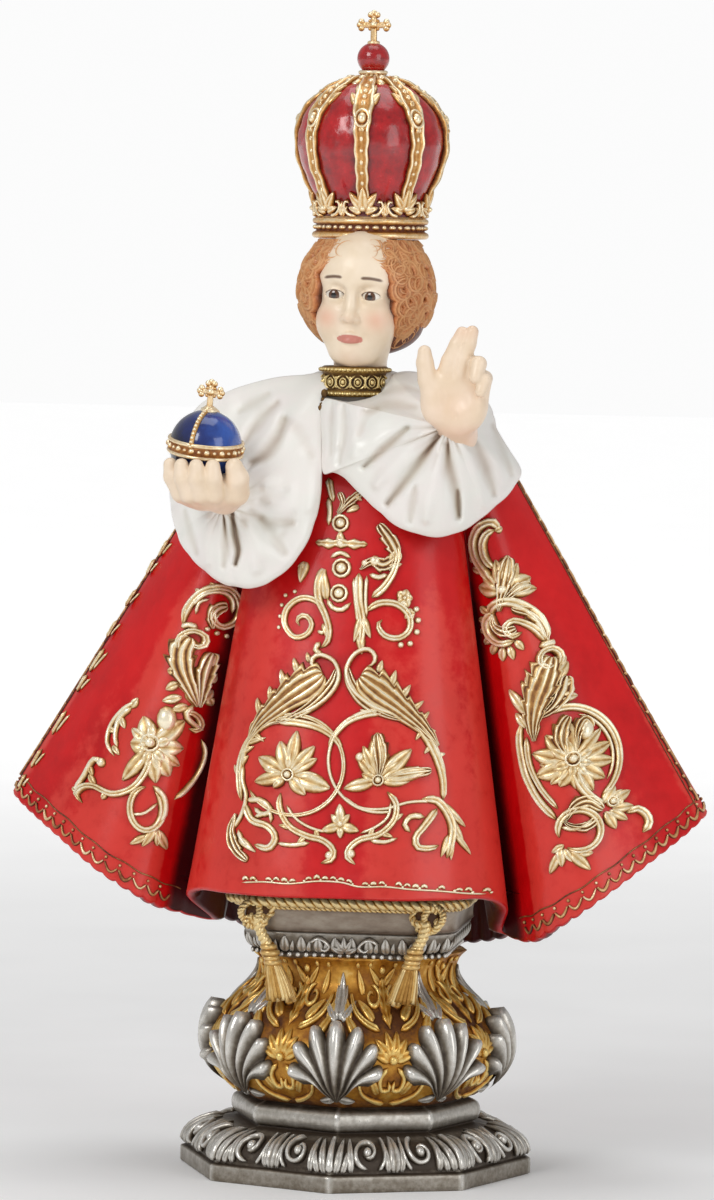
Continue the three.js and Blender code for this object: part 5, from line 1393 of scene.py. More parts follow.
            # band that runs from the flower up to the neck
            R.line([(c0 + q * 3.0, 40.0), (c0 + q * 7.4, 42.0), (c0 + q * 10.5, 45.0), (c0 + q * 12.0, 49.0)], 0.9, 0.6, 1.2, prof=CREASE, step=0.8)
            R.petal((c0 + q * 4.4, 42.6), (c0 + q * 9.4, 47.0), 1.2, 1.1)
            R.curl((c0 + q * 4.2, 47.6), 3.0, 0.9, 90, 1.15 * q, 0.75, 0.5, 1.0, step=0.6)
            R.petal((c0 + q * 7.4, 48.4), (c0 + q * 9.4, 54.6), 1.2, 1.0)
            R.petal((c0 + q * 1.0, 50.6), (c0 + q * 5.0, 55.2), 1.1, 1.0)
        R.leaf([(c0, 40.4), (c0 + 0.3 * s, 44.2), (c0, 48.4), (c0 - 0.2 * s, 52.6)], 2.6, 4, 1.2, step=0.6, nq=9)
        R.knob((c0, 54.6), 1.2, 1.1)
        for dx in (-9.5, -4.8, 4.8, 9.5):
            R.knob((c0 + dx, 56.0), 0.8, 0.7)
        # small fronds beside the leaves
        for q in (-1, 1):
            R.petal((c0 + q * 9.4, 38.6), (c0 + q * 13.2, 44.0), 1.2, 1.2)
            R.petal((c0 + q * 11.6, 42.6), (c0 + q * 14.2, 48.6), 1.1, 1.1)
    out.append(("bulb", b, M_AMBER))

    # ---- leaves, silver
    b = Bag()
    R = Relief(on_bulb, b)
    for k in range(8):
        palmette(b, k, on_bulb)
        e = k * F
        for q in (-1, 1):
            R.petal((e + q * 0.5, 22.6), (e + q * 5.2, 22.0), 0.9, 1.2)
        # the stalk over each leaf
        R.petal((e - 0.6, 43.4), (e - 1.7, 50.6), 1.0, 1.2)
        R.petal((e + 0.6, 43.4), (e + 1.7, 50.6), 1.0, 1.2)
        R.petal((e, 42.6), (e, 54.0), 1.5, 1.5, 0.5)
        for q in (-1, 1):
            R.petal((e + q * 1.0, 42.4), (e + q * 5.0, 46.8), 1.0, 1.2)
    out.append(("bulb_leaves", b, M_SILVER))
    return out


# ---- cushion
CUSH = 30.0


def cushion_outline(grow, n=240, soft=0.06):
    hx, hy, cc = 30.0 + grow, 30.5 + grow, 9.0
    pts = np.array([[-hx + cc, -hy], [hx - cc, -hy], [hx, -hy + cc], [hx, hy - cc], [hx - cc, hy], [-hx + cc, hy], [-hx, hy - cc], [-hx, -hy + cc]], float)
    Q = np.vstack([pts, pts[:1]])
    s = np.r_[0, np.cumsum(np.linalg.norm(np.diff(Q, axis=0), axis=1))]
    t = np.linspace(0, s[-1], n, endpoint=False)
    C = np.stack([np.interp(t, s, Q[:, k]) for k in range(2)], -1)
    F = np.fft.fft(C, axis=0)
    fr = np.fft.fftfreq(n) * n
    F *= np.exp(-0.5 * (fr / (n * soft)) ** 2)[:, None]
    return np.real(np.fft.ifft(F, axis=0))


def make_cushion():
    out = []
    n = 240
    def rings(rows, soft=0.06):
        return np.stack([np.c_[cushion_outline(g, n, soft), np.full(n, z)] for z, g in rows])
    # face: a smooth hollowed band over the moulding
    b = Bag()
    u = np.linspace(0, 1, 20)
    rows = [(63.8, -9.0), (64.0, -3.2), (64.3, -2.3)] + [(64.5 + 6.3 * t, -1.9 + 1.4 * t**1.4 - 0.5 * math.sin(math.pi * t)) for t in u] + \
        [(71.2, -0.3), (72.4, 0.0), (73.2, -0.4), (73.6, -1.6), (73.7, -4.0)]
    G = rings(rows)
    z = G[..., 2]
    # painted shade in the groove over the moulding and under the cord
    groove_shade = np.clip(0.9 * gs(z - 64.3, 0.6) + 0.8 * gs(z - 70.8, 0.7), 0, 1)
    b.grid(G, {"h": 0.5, "w": groove_shade}, cv=True, caps=True)
    out.append(("cushion_face", b, M_TAUPE))
    # leaf moulding, silver
    b = Bag()
    rows = [(56.8, -10.0), (57.0, -6.4), (57.6, -5.4), (58.0, -5.0), (58.4, -4.9), (58.7, -5.2)] + \
        [(58.9 + 4.5 * t, -5.0 + 2.2 * math.sin(t * math.pi / 2)) for t in np.linspace(0, 1, 12)] + [(63.6, -2.5), (63.9, -2.5), (64.2, -2.8), (64.3, -4.0)]
    G = rings(rows)
    z = G[..., 2]
    b.grid(G, {"h": np.clip(0.35 - 0.3 * gs(z - 58.7, 0.4) + 0.3 * gs(z - 63.6, 0.4), 0, 1)}, cv=True, caps=True)
    base = cushion_outline(-3.6, 720)
    s = np.r_[0, np.cumsum(np.linalg.norm(np.diff(np.vstack([base, base[:1]]), axis=0), axis=1))]
    L = s[-1]
    tang = unit(np.roll(base, -1, 0) - np.roll(base, 1, 0))
    def at(p):
        q = (p[..., 0] % L)
        i = np.interp(q, s, np.arange(len(s))) % len(base)
        i0 = i.astype(int) % len(base)
        B, T = base[i0] + (i - i.astype(int))[..., None] * (base[(i0 + 1) % len(base)] - base[i0]), tang[i0]
        zz = p[..., 1]
        g = np.interp(zz, [57, 58.9, 60, 61.2, 62.4, 63.4], [-1.6, -1.4, -0.4, 0.2, 0.6, 0.8])
        out2 = np.stack([T[..., 1], -T[..., 0]], -1)
        P = np.concatenate([B + out2 * g[..., None], zz[..., None]], -1)
        N = unit(np.concatenate([out2, np.full(zz.shape + (1,), -0.35)], -1))
        return P, N
    R = Relief(at, b)
    # side 0 starts at the left front corner
    step = L / 44
    for i in range(44):
        x = (i + 0.5) * step
        R.petal((x, 58.9), (x, 63.2), 1.25, 0.9, 0.5, 0.7)
        R.petal((x + step / 2 - 0.5, 59.0), (x + step / 2, 62.0), 0.6, 0.6)
    for i in range(88):
        R.knob(((i + 0.5) * L / 88, 58.2), 0.72, 0.7, nphi=8)
    for sx in (0.125, 0.375, 0.625, 0.875):
        pass
    mid = 21.0 - 3.6 + 0.2
    for i in range(5):
        a = (-70 + 35 * i) * D2R
        R.petal((mid, 59.2), (mid + 3.6 * math.sin(a), 59.2 + 4.3 * math.cos(a)), 0.9, 1.6, 0.4)
    R.line([(mid - 9, 61.6), (mid - 6.4, 63.0), (mid - 3.8, 61.0), (mid - 5.2, 59.6), (mid - 6.4, 60.6)], 0.5, 0.4, 1.4, step=0.6)
    R.line([(mid + 9, 61.6), (mid + 6.4, 63.0), (mid + 3.8, 61.0), (mid + 5.2, 59.6), (mid + 6.4, 60.6)], 0.5, 0.4, 1.4, step=0.6)
    out.append(("cushion_moulding", b, M_SILVER))
    # rope, knots and tassels
    b = Bag()
    C = np.c_[cushion_outline(0.35, 480), np.full(480, 72.1)]
    rope(b, C, 1.45, 4.6)
    C = np.c_[cushion_outline(-0.9, 480), np.full(480, 70.5)]
    rope(b, C, 0.6, 2.6, m=5)
    for s in (-1, 1):
        tassel(b, s)
    out.append(("cord_and_tassels", b, M_BRAID))
    return out


def tassel(b, s):
    kx, ky = s * 22.0, -30.2
    # knot: loops of cord round each other
    t = np.linspace(0, 2 * np.pi, 34, endpoint=False)
    for (dx, dz, rx, rz, tilt, ph) in ((-1.2 * s, -0.6, 2.9, 2.2, 0.5, 0), (1.6 * s, -1.2, 2.3, 2.6, -0.6, 1), (0.2 * s, -3.4, 2.6, 1.5, 0.2, 2)):
        x = kx + dx + rx * np.cos(t) * math.cos(tilt) - rz * np.sin(t) * math.sin(tilt)
        z = 70.4 + dz + rx * np.cos(t) * math.sin(tilt) + rz * np.sin(t) * math.cos(tilt)
        y = ky + 0.2 - 0.8 * np.sin(2 * t + ph)
        rope(b, np.stack([x, y, z], -1), 1.0, 2.4, m=6)
    # painted shade: a dark core in the middle of the knot, between its loops
    ball(b, (kx - 0.3 * s, ky + 0.9, 68.8), (3.4, 1.6, 3.2), 0.15, low=0.0)
    # cord from the knot to the tassel's head
    P = np.array([[kx - 0.2 * s, ky - 0.2, 68.0], [kx - 0.7 * s, ky, 65.4], [kx - 1.9 * s, ky + 0.4, 62.6], [kx - 3.2 * s, ky + 0.6, 60.4]])
    rope(b, path2(P, 0.5), 1.5, 2.8, closed=False, m=6)
    # head: stacked rings, then the skirt
    for k, (d, r) in enumerate(((0.0, 2.0), (1.5, 2.35), (2.9, 1.9), (4.0, 2.15))):
        f = np.linspace(0, 2 * np.pi, 20, endpoint=False)
        cx, cy, cz = kx - (3.1 + 0.28 * d) * s, ky + 0.55 + 0.08 * d, 60.4 - d
        tube(b, np.stack([cx + (r - 0.5) * np.sin(f), cy - (r - 0.5) * np.cos(f), np.full(20, cz)], -1), 0.75, 7, 0.75, closed=True)
    ball(b, (kx - 3.6 * s, ky + 0.8, 58.6), (1.9, 1.9, 3.2), 0.4)
    top = np.array([kx - 4.3 * s, ky + 0.8, 56.2])
    bot = np.array([kx - 6.6 * s, ky + 1.7, 47.4])
    ns = 22
    for ring, rr in ((0, 1.0), (1, 0.62)):
        for i in range(ns if ring == 0 else 9):
            a = 2 * np.pi * (i + 0.5 * ring) / (ns if ring == 0 else 9)
            u = np.linspace(0, 1, 9)
            rad = lerp(1.5, 3.35, u**0.8) * rr
            sway = 0.25 * np.sin(u * 5 + i * 1.7)
            C = top + (bot - top) * u[:, None]
            x = C[:, 0] + (rad + sway * 0.4) * math.sin(a)
            y = C[:, 1] - rad * math.cos(a) * 0.82
            z = C[:, 2] - 0.5 * (i % 3) * (u**4)
            tube(b, np.stack([x, y, z], -1), lerp(0.42, 0.62, u), 6, A={"h": (0.45 + 0.5 * rng.random() * np.ones(9))[:, None] * np.ones((1, 6))})
    # inner core: painted shade, a dark cone that keeps the skirt dark between its threads
    u = np.linspace(0, 1, 6)
    f = np.linspace(0, 2 * np.pi, 12, endpoint=False)
    C = top + (bot - top) * u[:, None]
    rad = lerp(1.3, 2.9, u**0.8)
    G = np.stack([C[:, :1] + rad[:, None] * np.sin(f), C[:, 1:2] - 0.8 * rad[:, None] * np.cos(f), C[:, 2:3] + 0.5 + 0 * f], -1)
    b.grid(G, {"h": 0.05}, cv=True, caps=True)


for _n, _b, _m in make_pedestal() + make_cushion():
    _o = build(_n, _b, _m)
    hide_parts("pedestal")

# ------------------------------------------------------------------ crown
CROWN_ROWS = np.array([
    [246.4, 13.9], [248.8, 13.9], [251, 14.2], [253.6, 15.3], [257, 17.0], [261.5, 18.55], [266, 19.15], [270.5, 18.55], [274.6, 16.5],
    [278.2, 13.0], [281, 8.4], [282.3, 4.6], [283.4, 3.2]])


def crown_profile(z):
    """Height and radius of the crown's cap at a running place 0..12."""
    return crom(CROWN_ROWS, z)


_cs = crom(CROWN_ROWS, np.linspace(0, len(CROWN_ROWS) - 1, 400))
_cl = np.r_[0, np.cumsum(np.linalg.norm(np.diff(_cs, axis=0), axis=1))]


def on_crown(p):
    """p: angle round the crown times 17 mm, and the way up its outline from z 246.4."""
    f = p[..., 0] / 17.0
    s = np.clip(p[..., 1], 0, _cl[-1] - 0.01)
    z, r = np.interp(s, _cl, _cs[:, 0]), np.interp(s, _cl, _cs[:, 1])
    e = 0.5
    z2, r2 = np.interp(np.minimum(s + e, _cl[-1]), _cl, _cs[:, 0]), np.interp(np.minimum(s + e, _cl[-1]), _cl, _cs[:, 1])
    z1, r1 = np.interp(np.maximum(s - e, 0), _cl, _cs[:, 0]), np.interp(np.maximum(s - e, 0), _cl, _cs[:, 1])
    dz, dr = z2 - z1, r2 - r1
    P = np.stack([r * np.sin(f), -r * np.cos(f), z], -1)
    N = unit(np.stack([dz * np.sin(f), -dz * np.cos(f), -dr], -1))
    return P, N


def enamel(name, deep, mid, light):
    t = Tree(name)
    a = t.noise(2.2, 4, 0.65)
    b = t.noise(7, 3, 0.5)
    m = t.math("ADD", t.math("MULTIPLY", a, 0.55), t.math("MULTIPLY", b, 0.45))
    # painted shade: attribute w darkens the enamel beside the ribs and towards the band
    m = t.math("SUBTRACT", m, t.math("MULTIPLY", t.attr("w"), 0.32))
    col = t.ramp(m, [(0.24, deep), (0.5, mid), (0.7, light)])
    t.bump(t.math("ADD", a, t.math("MULTIPLY", b, 0.6)), 0.28, 0.55)
    return t.set(Base_Color=col, Roughness=t.ramp(a, [(0.3, 0.16), (0.7, 0.28)]), Coat_Weight=0.6, Coat_Roughness=0.07, Specular_IOR_Level=0.5)


M_ENAMEL = enamel("crown_enamel", c(96, 4, 10), c(164, 8, 16), c(196, 18, 26))
M_CROWN = paint_metal("crown_gold", c(98, 44, 16), c(176, 116, 52), c(216, 170, 104), c(250, 232, 196), rough=(0.2, 0.36), metal=0.55, grime=0.5, fine_mm=1.1)


def cross(bag, c0, h, w, t):
    """A small cross with three-lobed ends, in the xz plane of its own frame. Returns nothing; c0 is its foot."""
    x, y, z = c0
    cz = z + h * 0.56
    def bar(a, b, r):
        P = np.linspace(a, b, 8)
        tube(bag, P, r, 8, 0.75, flat=0.72, up=(0, 1, 0))
    bar((x, y, z - 0.6), (x, y, z + h - t * 1.1), t * 0.62)
    bar((x - w / 2 + t, y, cz), (x + w / 2 - t, y, cz), t * 0.6)
    r = t * 0.66
    for dx, dz, sx, sz in ((0, h - t * 0.75, 0, 1), (-(w / 2 - t * 0.7), h * 0.56, -1, 0), (w / 2 - t * 0.7, h * 0.56, 1, 0)):
        for k in (-1, 0, 1):
            ox, oz = sx * (0.35 if k else 0.85) * r + (k * 0.95 * r if sz else 0), sz * (0.35 if k else 0.85) * r + (k * 0.95 * r if sx else 0)
            ball(bag, (x + dx - sx * r * 0.6 + ox, y, z + dz - sz * r * 0.6 + oz), (r * 0.95, r * 0.75, r * 0.95), 0.9, 10, 7)
    ball(bag, (x, y - 0.15, cz), (t * 0.8, t * 0.75, t * 0.8), 1.0, 10, 7)
    for sx in (-1, 1):
        for sz in (-1, 1):
            ball(bag, (x + sx * t * 0.75, y, cz + sz * t * 0.75), (t * 0.36, t * 0.4, t * 0.36), 0.7, 8, 6)


def make_crown():
    out = []
    # enamelled cap
    b = Bag()
    f = np.linspace(0, 2 * np.pi, 160, endpoint=False)[None]
    s = np.linspace(0, _cl[-1] - 0.2, 58)[:, None]
    P, N = on_crown(np.stack([f * 17 + 0 * s, s + 0 * f], -1))
    swell = 0.45 * (0.5 - 0.5 * np.cos(8 * f)) * sm(2, 8, s) * sm(_cl[-1] - 1, _cl[-1] - 9, s)
    rough = 0.22 * vnoise(P, 2.6, 7, 2) + 0.16 * vnoise(P, 6, 8, 1)
    P = P + N * (swell - 0.35 + rough)[..., None]
    near = np.clip(gs(((f / (2 * np.pi) * 8 + 0.5) % 1 - 0.5) , 0.13), 0, 1)
    low = sm(9, 1, s)
    cap = np.concatenate([np.stack([12.0 * np.sin(f), -12.0 * np.cos(f), 246.0 + 0 * f], -1), P], 0)
    # painted shade: the enamel darkens beside each rib and towards the band
    shade_tint = np.concatenate([np.ones((1, 160)), np.clip(near * 0.8 + low * 0.5, 0, 1) + 0 * P[..., 0]], 0)
    b.grid(cap, {"w": shade_tint}, cv=True, caps=True)
    out.append(("crown_cap", b, M_ENAMEL))
    # red ball
    b = Bag()
    ball(b, (0, 0, 287.3), (4.15, 4.15, 4.1), 1.0, 40, 26)
    out.append(("crown_ball", b, M_ENAMEL))
    # gold
    b = Bag()
    R = Relief(on_crown, b)
    step = 2 * math.pi * 17 / 8
    top = _cl[-1]
    RIB = np.array([[-1, -0.5], [-1, 0.35], [-0.9, 0.8], [-0.72, 0.9], [-0.55, 0.5], [-0.3, 0.42], [0, 0.55], [0.3, 0.42], [0.55, 0.5], [0.72, 0.9], [0.9, 0.8], [1, 0.35], [1, -0.5]])
    for k in range(8):
        x = k * step
        # in flat coordinates an angle keeps its width, so widths follow the radius
        ss = np.linspace(3.0, top - 2.5, 60)
        rr = np.interp(ss, _cl, _cs[:, 1])
        wide = np.interp(ss, [0, 8, 16, 24, 30, 34, 38, 44], [1.45, 1.55, 1.7, 2.1, 2.7, 2.5, 2.0, 1.6])
        wob = 0.12 * np.sin(ss * 1.3 + k)
        W = wide * 17 / rr
        Ht = 1.05 + 0.18 * np.sin(ss * 0.9 + k * 2) + 0.25 * gs(ss - 29, 3)
        XZ = np.stack([(x + wob)[:, None] + W[:, None] * RIB[None, :, 0], ss[:, None] + 0 * RIB[None, :, 0]], -1)
        H = Ht[:, None] * RIB[None, :, 1]
        Pp, Nn = on_crown(XZ)
        b.grid(Pp + Nn * H[..., None], {"h": np.clip(RIB[None, :, 1] * 1.05 + 0 * H, 0, 1)}, cv=True, caps=True)
        # beads and lozenges down the middle, an oval boss near the shoulder
        for sx in (6.5, 9.4, 12.2, 15.0, 18.0, 21.0):
            q = 17 / np.interp(sx, _cl, _cs[:, 1])
            R.knob((x, sx), 0.62 * q, 0.75, rz=0.95 if int(sx) % 2 else 0.62, nphi=10)
        q = 17 / np.interp(26.0, _cl, _cs[:, 1])
        R.knob((x, 26.2), 2.1 * q, 1.7, rz=2.8, ring=True, nphi=22)
        for a, bb in ((22.6, 24.2), (29.6, 31.6)):
            R.petal((x, a), (x, bb), 0.8 * q, 1.5)
        for sx in (32.6, 34.8, 37.0):
            q = 17 / np.interp(sx, _cl, _cs[:, 1])
            R.knob((x, sx), 0.8 * q, 1.2, rz=0.9, nphi=10)
        # leaves that spread beside the rib on the shoulder
        for e in (-1, 1):
            q = 17 / np.interp(33.0, _cl, _cs[:, 1])
            R.petal((x + e * 1.4 * q, 30.4), (x + e * 4.0 * q, 34.6), 1.0 * q, 1.0)
            R.petal((x + e * 1.0 * q, 33.2), (x + e * 3.4 * q, 38.0), 1.0 * q, 0.9)
        # trefoil at the foot
        R.petal((x, 1.6), (x, 8.4), 1.7, 1.9, 0.4)
        for e in (-1, 1):
            R.petal((x + e * 0.6, 2.2), (x + e * 3.9, 6.6), 1.35, 1.7, 0.4)
            R.petal((x + e * 0.6, 1.6), (x + e * 4.6, 2.6), 1.1, 1.5, 0.3)
            R.line([(x + e * 2.2, 0.4), (x + e * 4.6, 0.9), (x + e * 6.0, 2.9), (x + e * 5.2, 4.4), (x + e * 4.2, 3.6)], 0.55, 0.45, 1.2, step=0.5)
        R.knob((x, 2.4), 1.0, 2.1)
        # small fleuron between two ribs
        m = x + step / 2
        R.petal((m, 0.3), (m, 4.2), 0.85, 1.4)
        for e in (-1, 1):
            R.petal((m, 0.6), (m + e * 1.7, 2.9), 0.6, 1.2)
        R.knob((m, 0.9), 0.6, 1.5)
    # band
    f = np.linspace(0, 2 * np.pi, 160, endpoint=False)
    rows = [(241.0, 12.2), (241.0, 14.0)] + [(241.9 + 0.85 * math.sin(a * D2R), 14.2 + 0.85 * math.cos(a * D2R)) for a in range(-80, 81, 20)] + \
        [(243.0, 14.0), (244.6, 13.95)] + [(245.5 + 0.75 * math.sin(a * D2R), 14.25 + 0.7 * math.cos(a * D2R)) for a in range(-70, 91, 20)] + [(246.6, 14.1), (246.8, 13.4)]
    rows = np.array(rows)
    G = np.stack([rows[:, 1:2] * np.sin(f), -rows[:, 1:2] * np.cos(f), rows[:, :1] + 0 * f], -1)
    hz = 0.75 - 0.65 * gs(rows[:, :1] - 243.0, 0.35) - 0.6 * gs(rows[:, :1] - 244.6, 0.35) - 0.3 * sm(243, 243.6, rows[:, :1]) * sm(244.8, 244.2, rows[:, :1]) + 0 * f
    b.grid(G, {"h": np.clip(hz, 0, 1)}, cv=True, caps=True)
    for i in range(40):
        a = 2 * math.pi * (i + 0.5) / 40
        long = i % 2
        ball(b, (14.05 * math.sin(a), -14.05 * math.cos(a), 243.85), (0.95 if long else 0.6,) * 2 + (0.62,), 1.0, 10, 7)
    # cap of leaves, collar
    rows = np.array([[279.9, 9.0], [280.9, 9.0], [282.0, 6.6], [282.6, 4.2], [283.0, 3.4], [283.5, 3.5], [283.9, 3.2], [284.2, 2.4], [284.6, 1.4]])
    f = np.linspace(0, 2 * np.pi, 96, endpoint=False)
    ser = 1 + 0.06 * np.cos(16 * f)[None] * (rows[:, 1:2] > 5)
    G = np.stack([rows[:, 1:2] * ser * np.sin(f), -rows[:, 1:2] * ser * np.cos(f), rows[:, :1] + 0 * f], -1)
    b.grid(G, {"h": np.clip(0.55 + 0.4 * np.cos(16 * f)[None] + 0 * rows[:, :1], 0, 1)}, cv=True, caps=True)
    for i in range(16):
        a = 2 * math.pi * i / 16 + 0.1
        r = 6.4 if i % 2 else 8.2
        ball(b, (r * math.sin(a), -r * math.cos(a), 282.2 - (r - 6.4) * 0.5), (1.0, 1.0, 0.8), 1.0, 9, 6)
    f = np.linspace(0, 2 * np.pi, 30, endpoint=False)
    tube(b, np.stack([3.3 * np.sin(f), -3.3 * np.cos(f), 0 * f + 283.7], -1), 0.55, 7, 0.9, closed=True)
    tube(b, np.stack([1.1 * np.sin(f), -1.1 * np.cos(f), 0 * f + 291.3], -1), 0.55, 7, 0.8, closed=True)
    cross(b, (0, 0, 291.0), 8.7, 8.8, 1.35)
    out.append(("crown_gold", b, M_CROWN))
    return out


for _n, _b, _m in make_crown():
    _o = build(_n, _b, _m)
    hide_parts("crown")


# ------------------------------------------------------------------ orb
ORB_C = np.array([-35.1, -42, 188.2])
ORB_R = 9.3


def turn(V, ax, ay):
    a, b_ = ax * D2R, ay * D2R
    Rx = np.array([[1, 0, 0], [0, math.cos(a), -math.sin(a)], [0, math.sin(a), math.cos(a)]])
    Ry = np.array([[math.cos(b_), 0, math.sin(b_)], [0, 1, 0], [-math.sin(b_), 0, math.cos(b_)]])
    return V @ (Ry @ Rx).T if False else V @ Rx.T @ Ry.T


def make_orb():
    out = []
    t = Tree("orb_enamel_blue")
    a = t.noise(3.0, 3, 0.6)
    g = t.attr("h")
    m = t.math("ADD", g, t.math("MULTIPLY", t.math("SUBTRACT", a, 0.5), 0.5))
    col = t.ramp(m, [(0.1, c(10, 14, 44)), (0.5, c(18, 38, 104)), (0.95, c(40, 84, 170))])
    t.bump(a, 0.12, 0.4)
    blue = t.set(Base_Color=col, Roughness=t.ramp(a, [(0.3, 0.12), (0.7, 0.22)]), Coat_Weight=0.7, Coat_Roughness=0.05)
    b = Bag()
    th = np.linspace(0, 2 * np.pi, 72, endpoint=False)[None]
    ph = np.linspace(-np.pi / 2 + 0.03, np.pi / 2 - 0.03, 46)[:, None]
    D = np.stack([np.cos(ph) * np.cos(th), np.cos(ph) * np.sin(th), np.sin(ph) + 0 * th], -1)
    P = D * (ORB_R - 0.1 + 0.08 * vnoise(D * 9, 3.0, 4, 2))[..., None]
    # painted light: the ball is lighter on its right side and on top
    b.grid(turn(P, 8, 6) + ORB_C, {"h": np.clip(0.45 + 0.5 * D[..., 0] + 0.2 * D[..., 2], 0, 1)}, cv=True, caps=True)
    out.append(("orb_ball", b, blue))
    b = Bag()
    f = np.linspace(0, 2 * np.pi, 96, endpoint=False)
    rows = []
    for z0, rad in ((-1.5, 0.42), (1.5, 0.42)):
        tube(b, np.stack([(ORB_R - 0.05) * np.sin(f), -(ORB_R - 0.05) * np.cos(f), 0 * f + z0], -1), rad + 0.1, 8, 0.85, closed=True)
    G = np.array([[ORB_R - 0.6, -1.5], [ORB_R + 0.22, -1.3], [ORB_R + 0.1, 0], [ORB_R + 0.22, 1.3], [ORB_R - 0.6, 1.5]])
    b.grid(np.stack([G[:, :1] * np.sin(f), -G[:, :1] * np.cos(f), G[:, 1:2] + 0 * f], -1), {"h": 0.25}, cu=False, cv=True, caps=False, out=np.stack([np.sin(f), -np.cos(f), 0 * f], -1)[None])
    for i in range(30):
        a2 = 2 * math.pi * i / 30
        ball(b, ((ORB_R + 0.1) * math.sin(a2), -(ORB_R + 0.1) * math.cos(a2), 0), (0.78 if i % 2 else 0.5, 0.6, 0.8 if i % 2 else 0.5), 1.0, 9, 6)
    # front and back arches, beaded
    for base in (-14, 166, 76, 256):
        aa = np.linspace(4, 86, 26) * D2R
        d0 = np.array([math.sin(base * D2R), -math.cos(base * D2R), 0])
        P = (d0 * np.cos(aa)[:, None] + np.array([0, 0, 1.0]) * np.sin(aa)[:, None]) * (ORB_R + 0.05)
        if base in (-14, 166):
            tube(b, P, 0.62, 7, 0.6, up=d0)
            for i in range(1, 26, 2):
                ball(b, P[i] * 1.045, 0.5, 1.0, 8, 6)
    tube(b, np.stack([1.6 * np.sin(f[::4]), -1.6 * np.cos(f[::4]), 0 * f[::4] + ORB_R + 0.05], -1), 0.6, 7, 0.9, closed=True)
    ball(b, (0, 0, ORB_R + 0.5), (1.5, 1.5, 0.9), 0.9, 12, 8)
    cross(b, (0, 0, ORB_R + 0.5), 7.5, 7.0, 1.3)
    for k in range(len(b.V)):
        b.V[k] = turn(b.V[k], 8, 6) + ORB_C
    out.append(("orb_gold", b, M_CROWN))
    return out


for _n, _b, _m in make_orb():
    _o = build(_n, _b, _m)
    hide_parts("orb")

# ------------------------------------------------------------------ white cape
# One row per outline point: x, z of the edge as seen from the front, y where the edge lies.
CAPE_R = dict(wrist=(26.3, -40.5, 194.5), edge=[
    [7.9, 206.7, -6], [13, 207.2, -4], [21.9, 205.2, -2], [29.7, 202.2, -2], [33, 198, -3], [35, 192.5, -4],
    [38.4, 187.6, -6], [41.6, 182.4, -8], [40.2, 178.3, -12], [37.3, 174.4, -17.5], [33, 170.5, -22], [28.7, 167.4, -25.5],
    [24, 166, -27.5], [19, 166.3, -28], [12.8, 168.3, -28], [7.5, 171.9, -27.5], [2.1, 176.8, -26.5], [-2.2, 180.4, -25.5],
    [-4.8, 181.6, -25], [-7.4, 181.5, -24.5], [-8.2, 188, -22.5], [-9.2, 195.5, -18], [-9.6, 200.2, -14.5], [-2.2, 199.6, -17.8], [4.4, 201.2, -15], [7, 204.5, -10]],
    # valleys: angle from straight down, depth
    folds=[(-176, .5), (-150, .7), (-126, .6), (-104, .9), (-86, .8), (-67, 1.5), (-53, .6), (-42, 1.7), (-21, .7), (-3, 1.5), (10, .6), (22, 1.5), (40, 1.0), (58, 1.1), (78, .8), (102, .8), (128, .6), (152, .6)])
CAPE_L = dict(wrist=(-31, -39, 173), edge=[
    [-8, 206.4, -8], [-16.8, 205.9, -5], [-24.9, 204.7, -3], [-31.4, 202.8, -2], [-36.5, 200.8, -3], [-42.5, 197.8, -4],
    [-46.9, 191, -7], [-48.6, 183, -9], [-49, 174.5, -11], [-47.4, 167.6, -14], [-44.3, 162, -19], [-39, 157.2, -25],
    [-32.7, 153.3, -28.5], [-26.7, 151.8, -30], [-20.3, 153.2, -30.5], [-14.7, 157.4, -30], [-10.8, 163.1, -28.5],
    [-8.6, 169, -27], [-7.6, 175, -26], [-7.4, 182, -24.5], [-8, 191, -20], [-8.6, 200, -14]],
    folds=[(-172, .5), (-146, .6), (-118, .9), (-92, .8), (-66, 1.0), (-44, .8), (-24, 1.1), (3, 2.3), (30, .9), (52, .6), (74, 1.2), (104, .7), (126, 1.1), (150, .8), (168, .5)])


def fold_form(a, folds):
    """Rounded swellings between the valleys, 0 in a valley. Also how deep the nearest valley is."""
    f = sorted(folds)
    ang = np.array([x[0] for x in f], float)
    dep = np.array([x[1] for x in f], float)
    ang = np.r_[ang[-1] - 360, ang, ang[0] + 360]
    dep = np.r_[dep[-1], dep, dep[0]]
    i = np.clip(np.searchsorted(ang, a) - 1, 0, len(ang) - 2)
    t = (a - ang[i]) / (ang[i + 1] - ang[i])
    wide = (ang[i + 1] - ang[i]) / 24.0
    swell = np.sin(np.pi * np.clip(t, 0, 1)) ** 0.62
    depth = lerp(dep[i], dep[i + 1], sm(0.15, 0.85, t))
    valley = gs(t * (ang[i + 1] - ang[i]), 3.4) * dep[i] + gs((1 - t) * (ang[i + 1] - ang[i]), 3.4) * dep[i + 1]
    return swell * depth * np.minimum(1.15, 0.55 + 0.45 * wide), valley


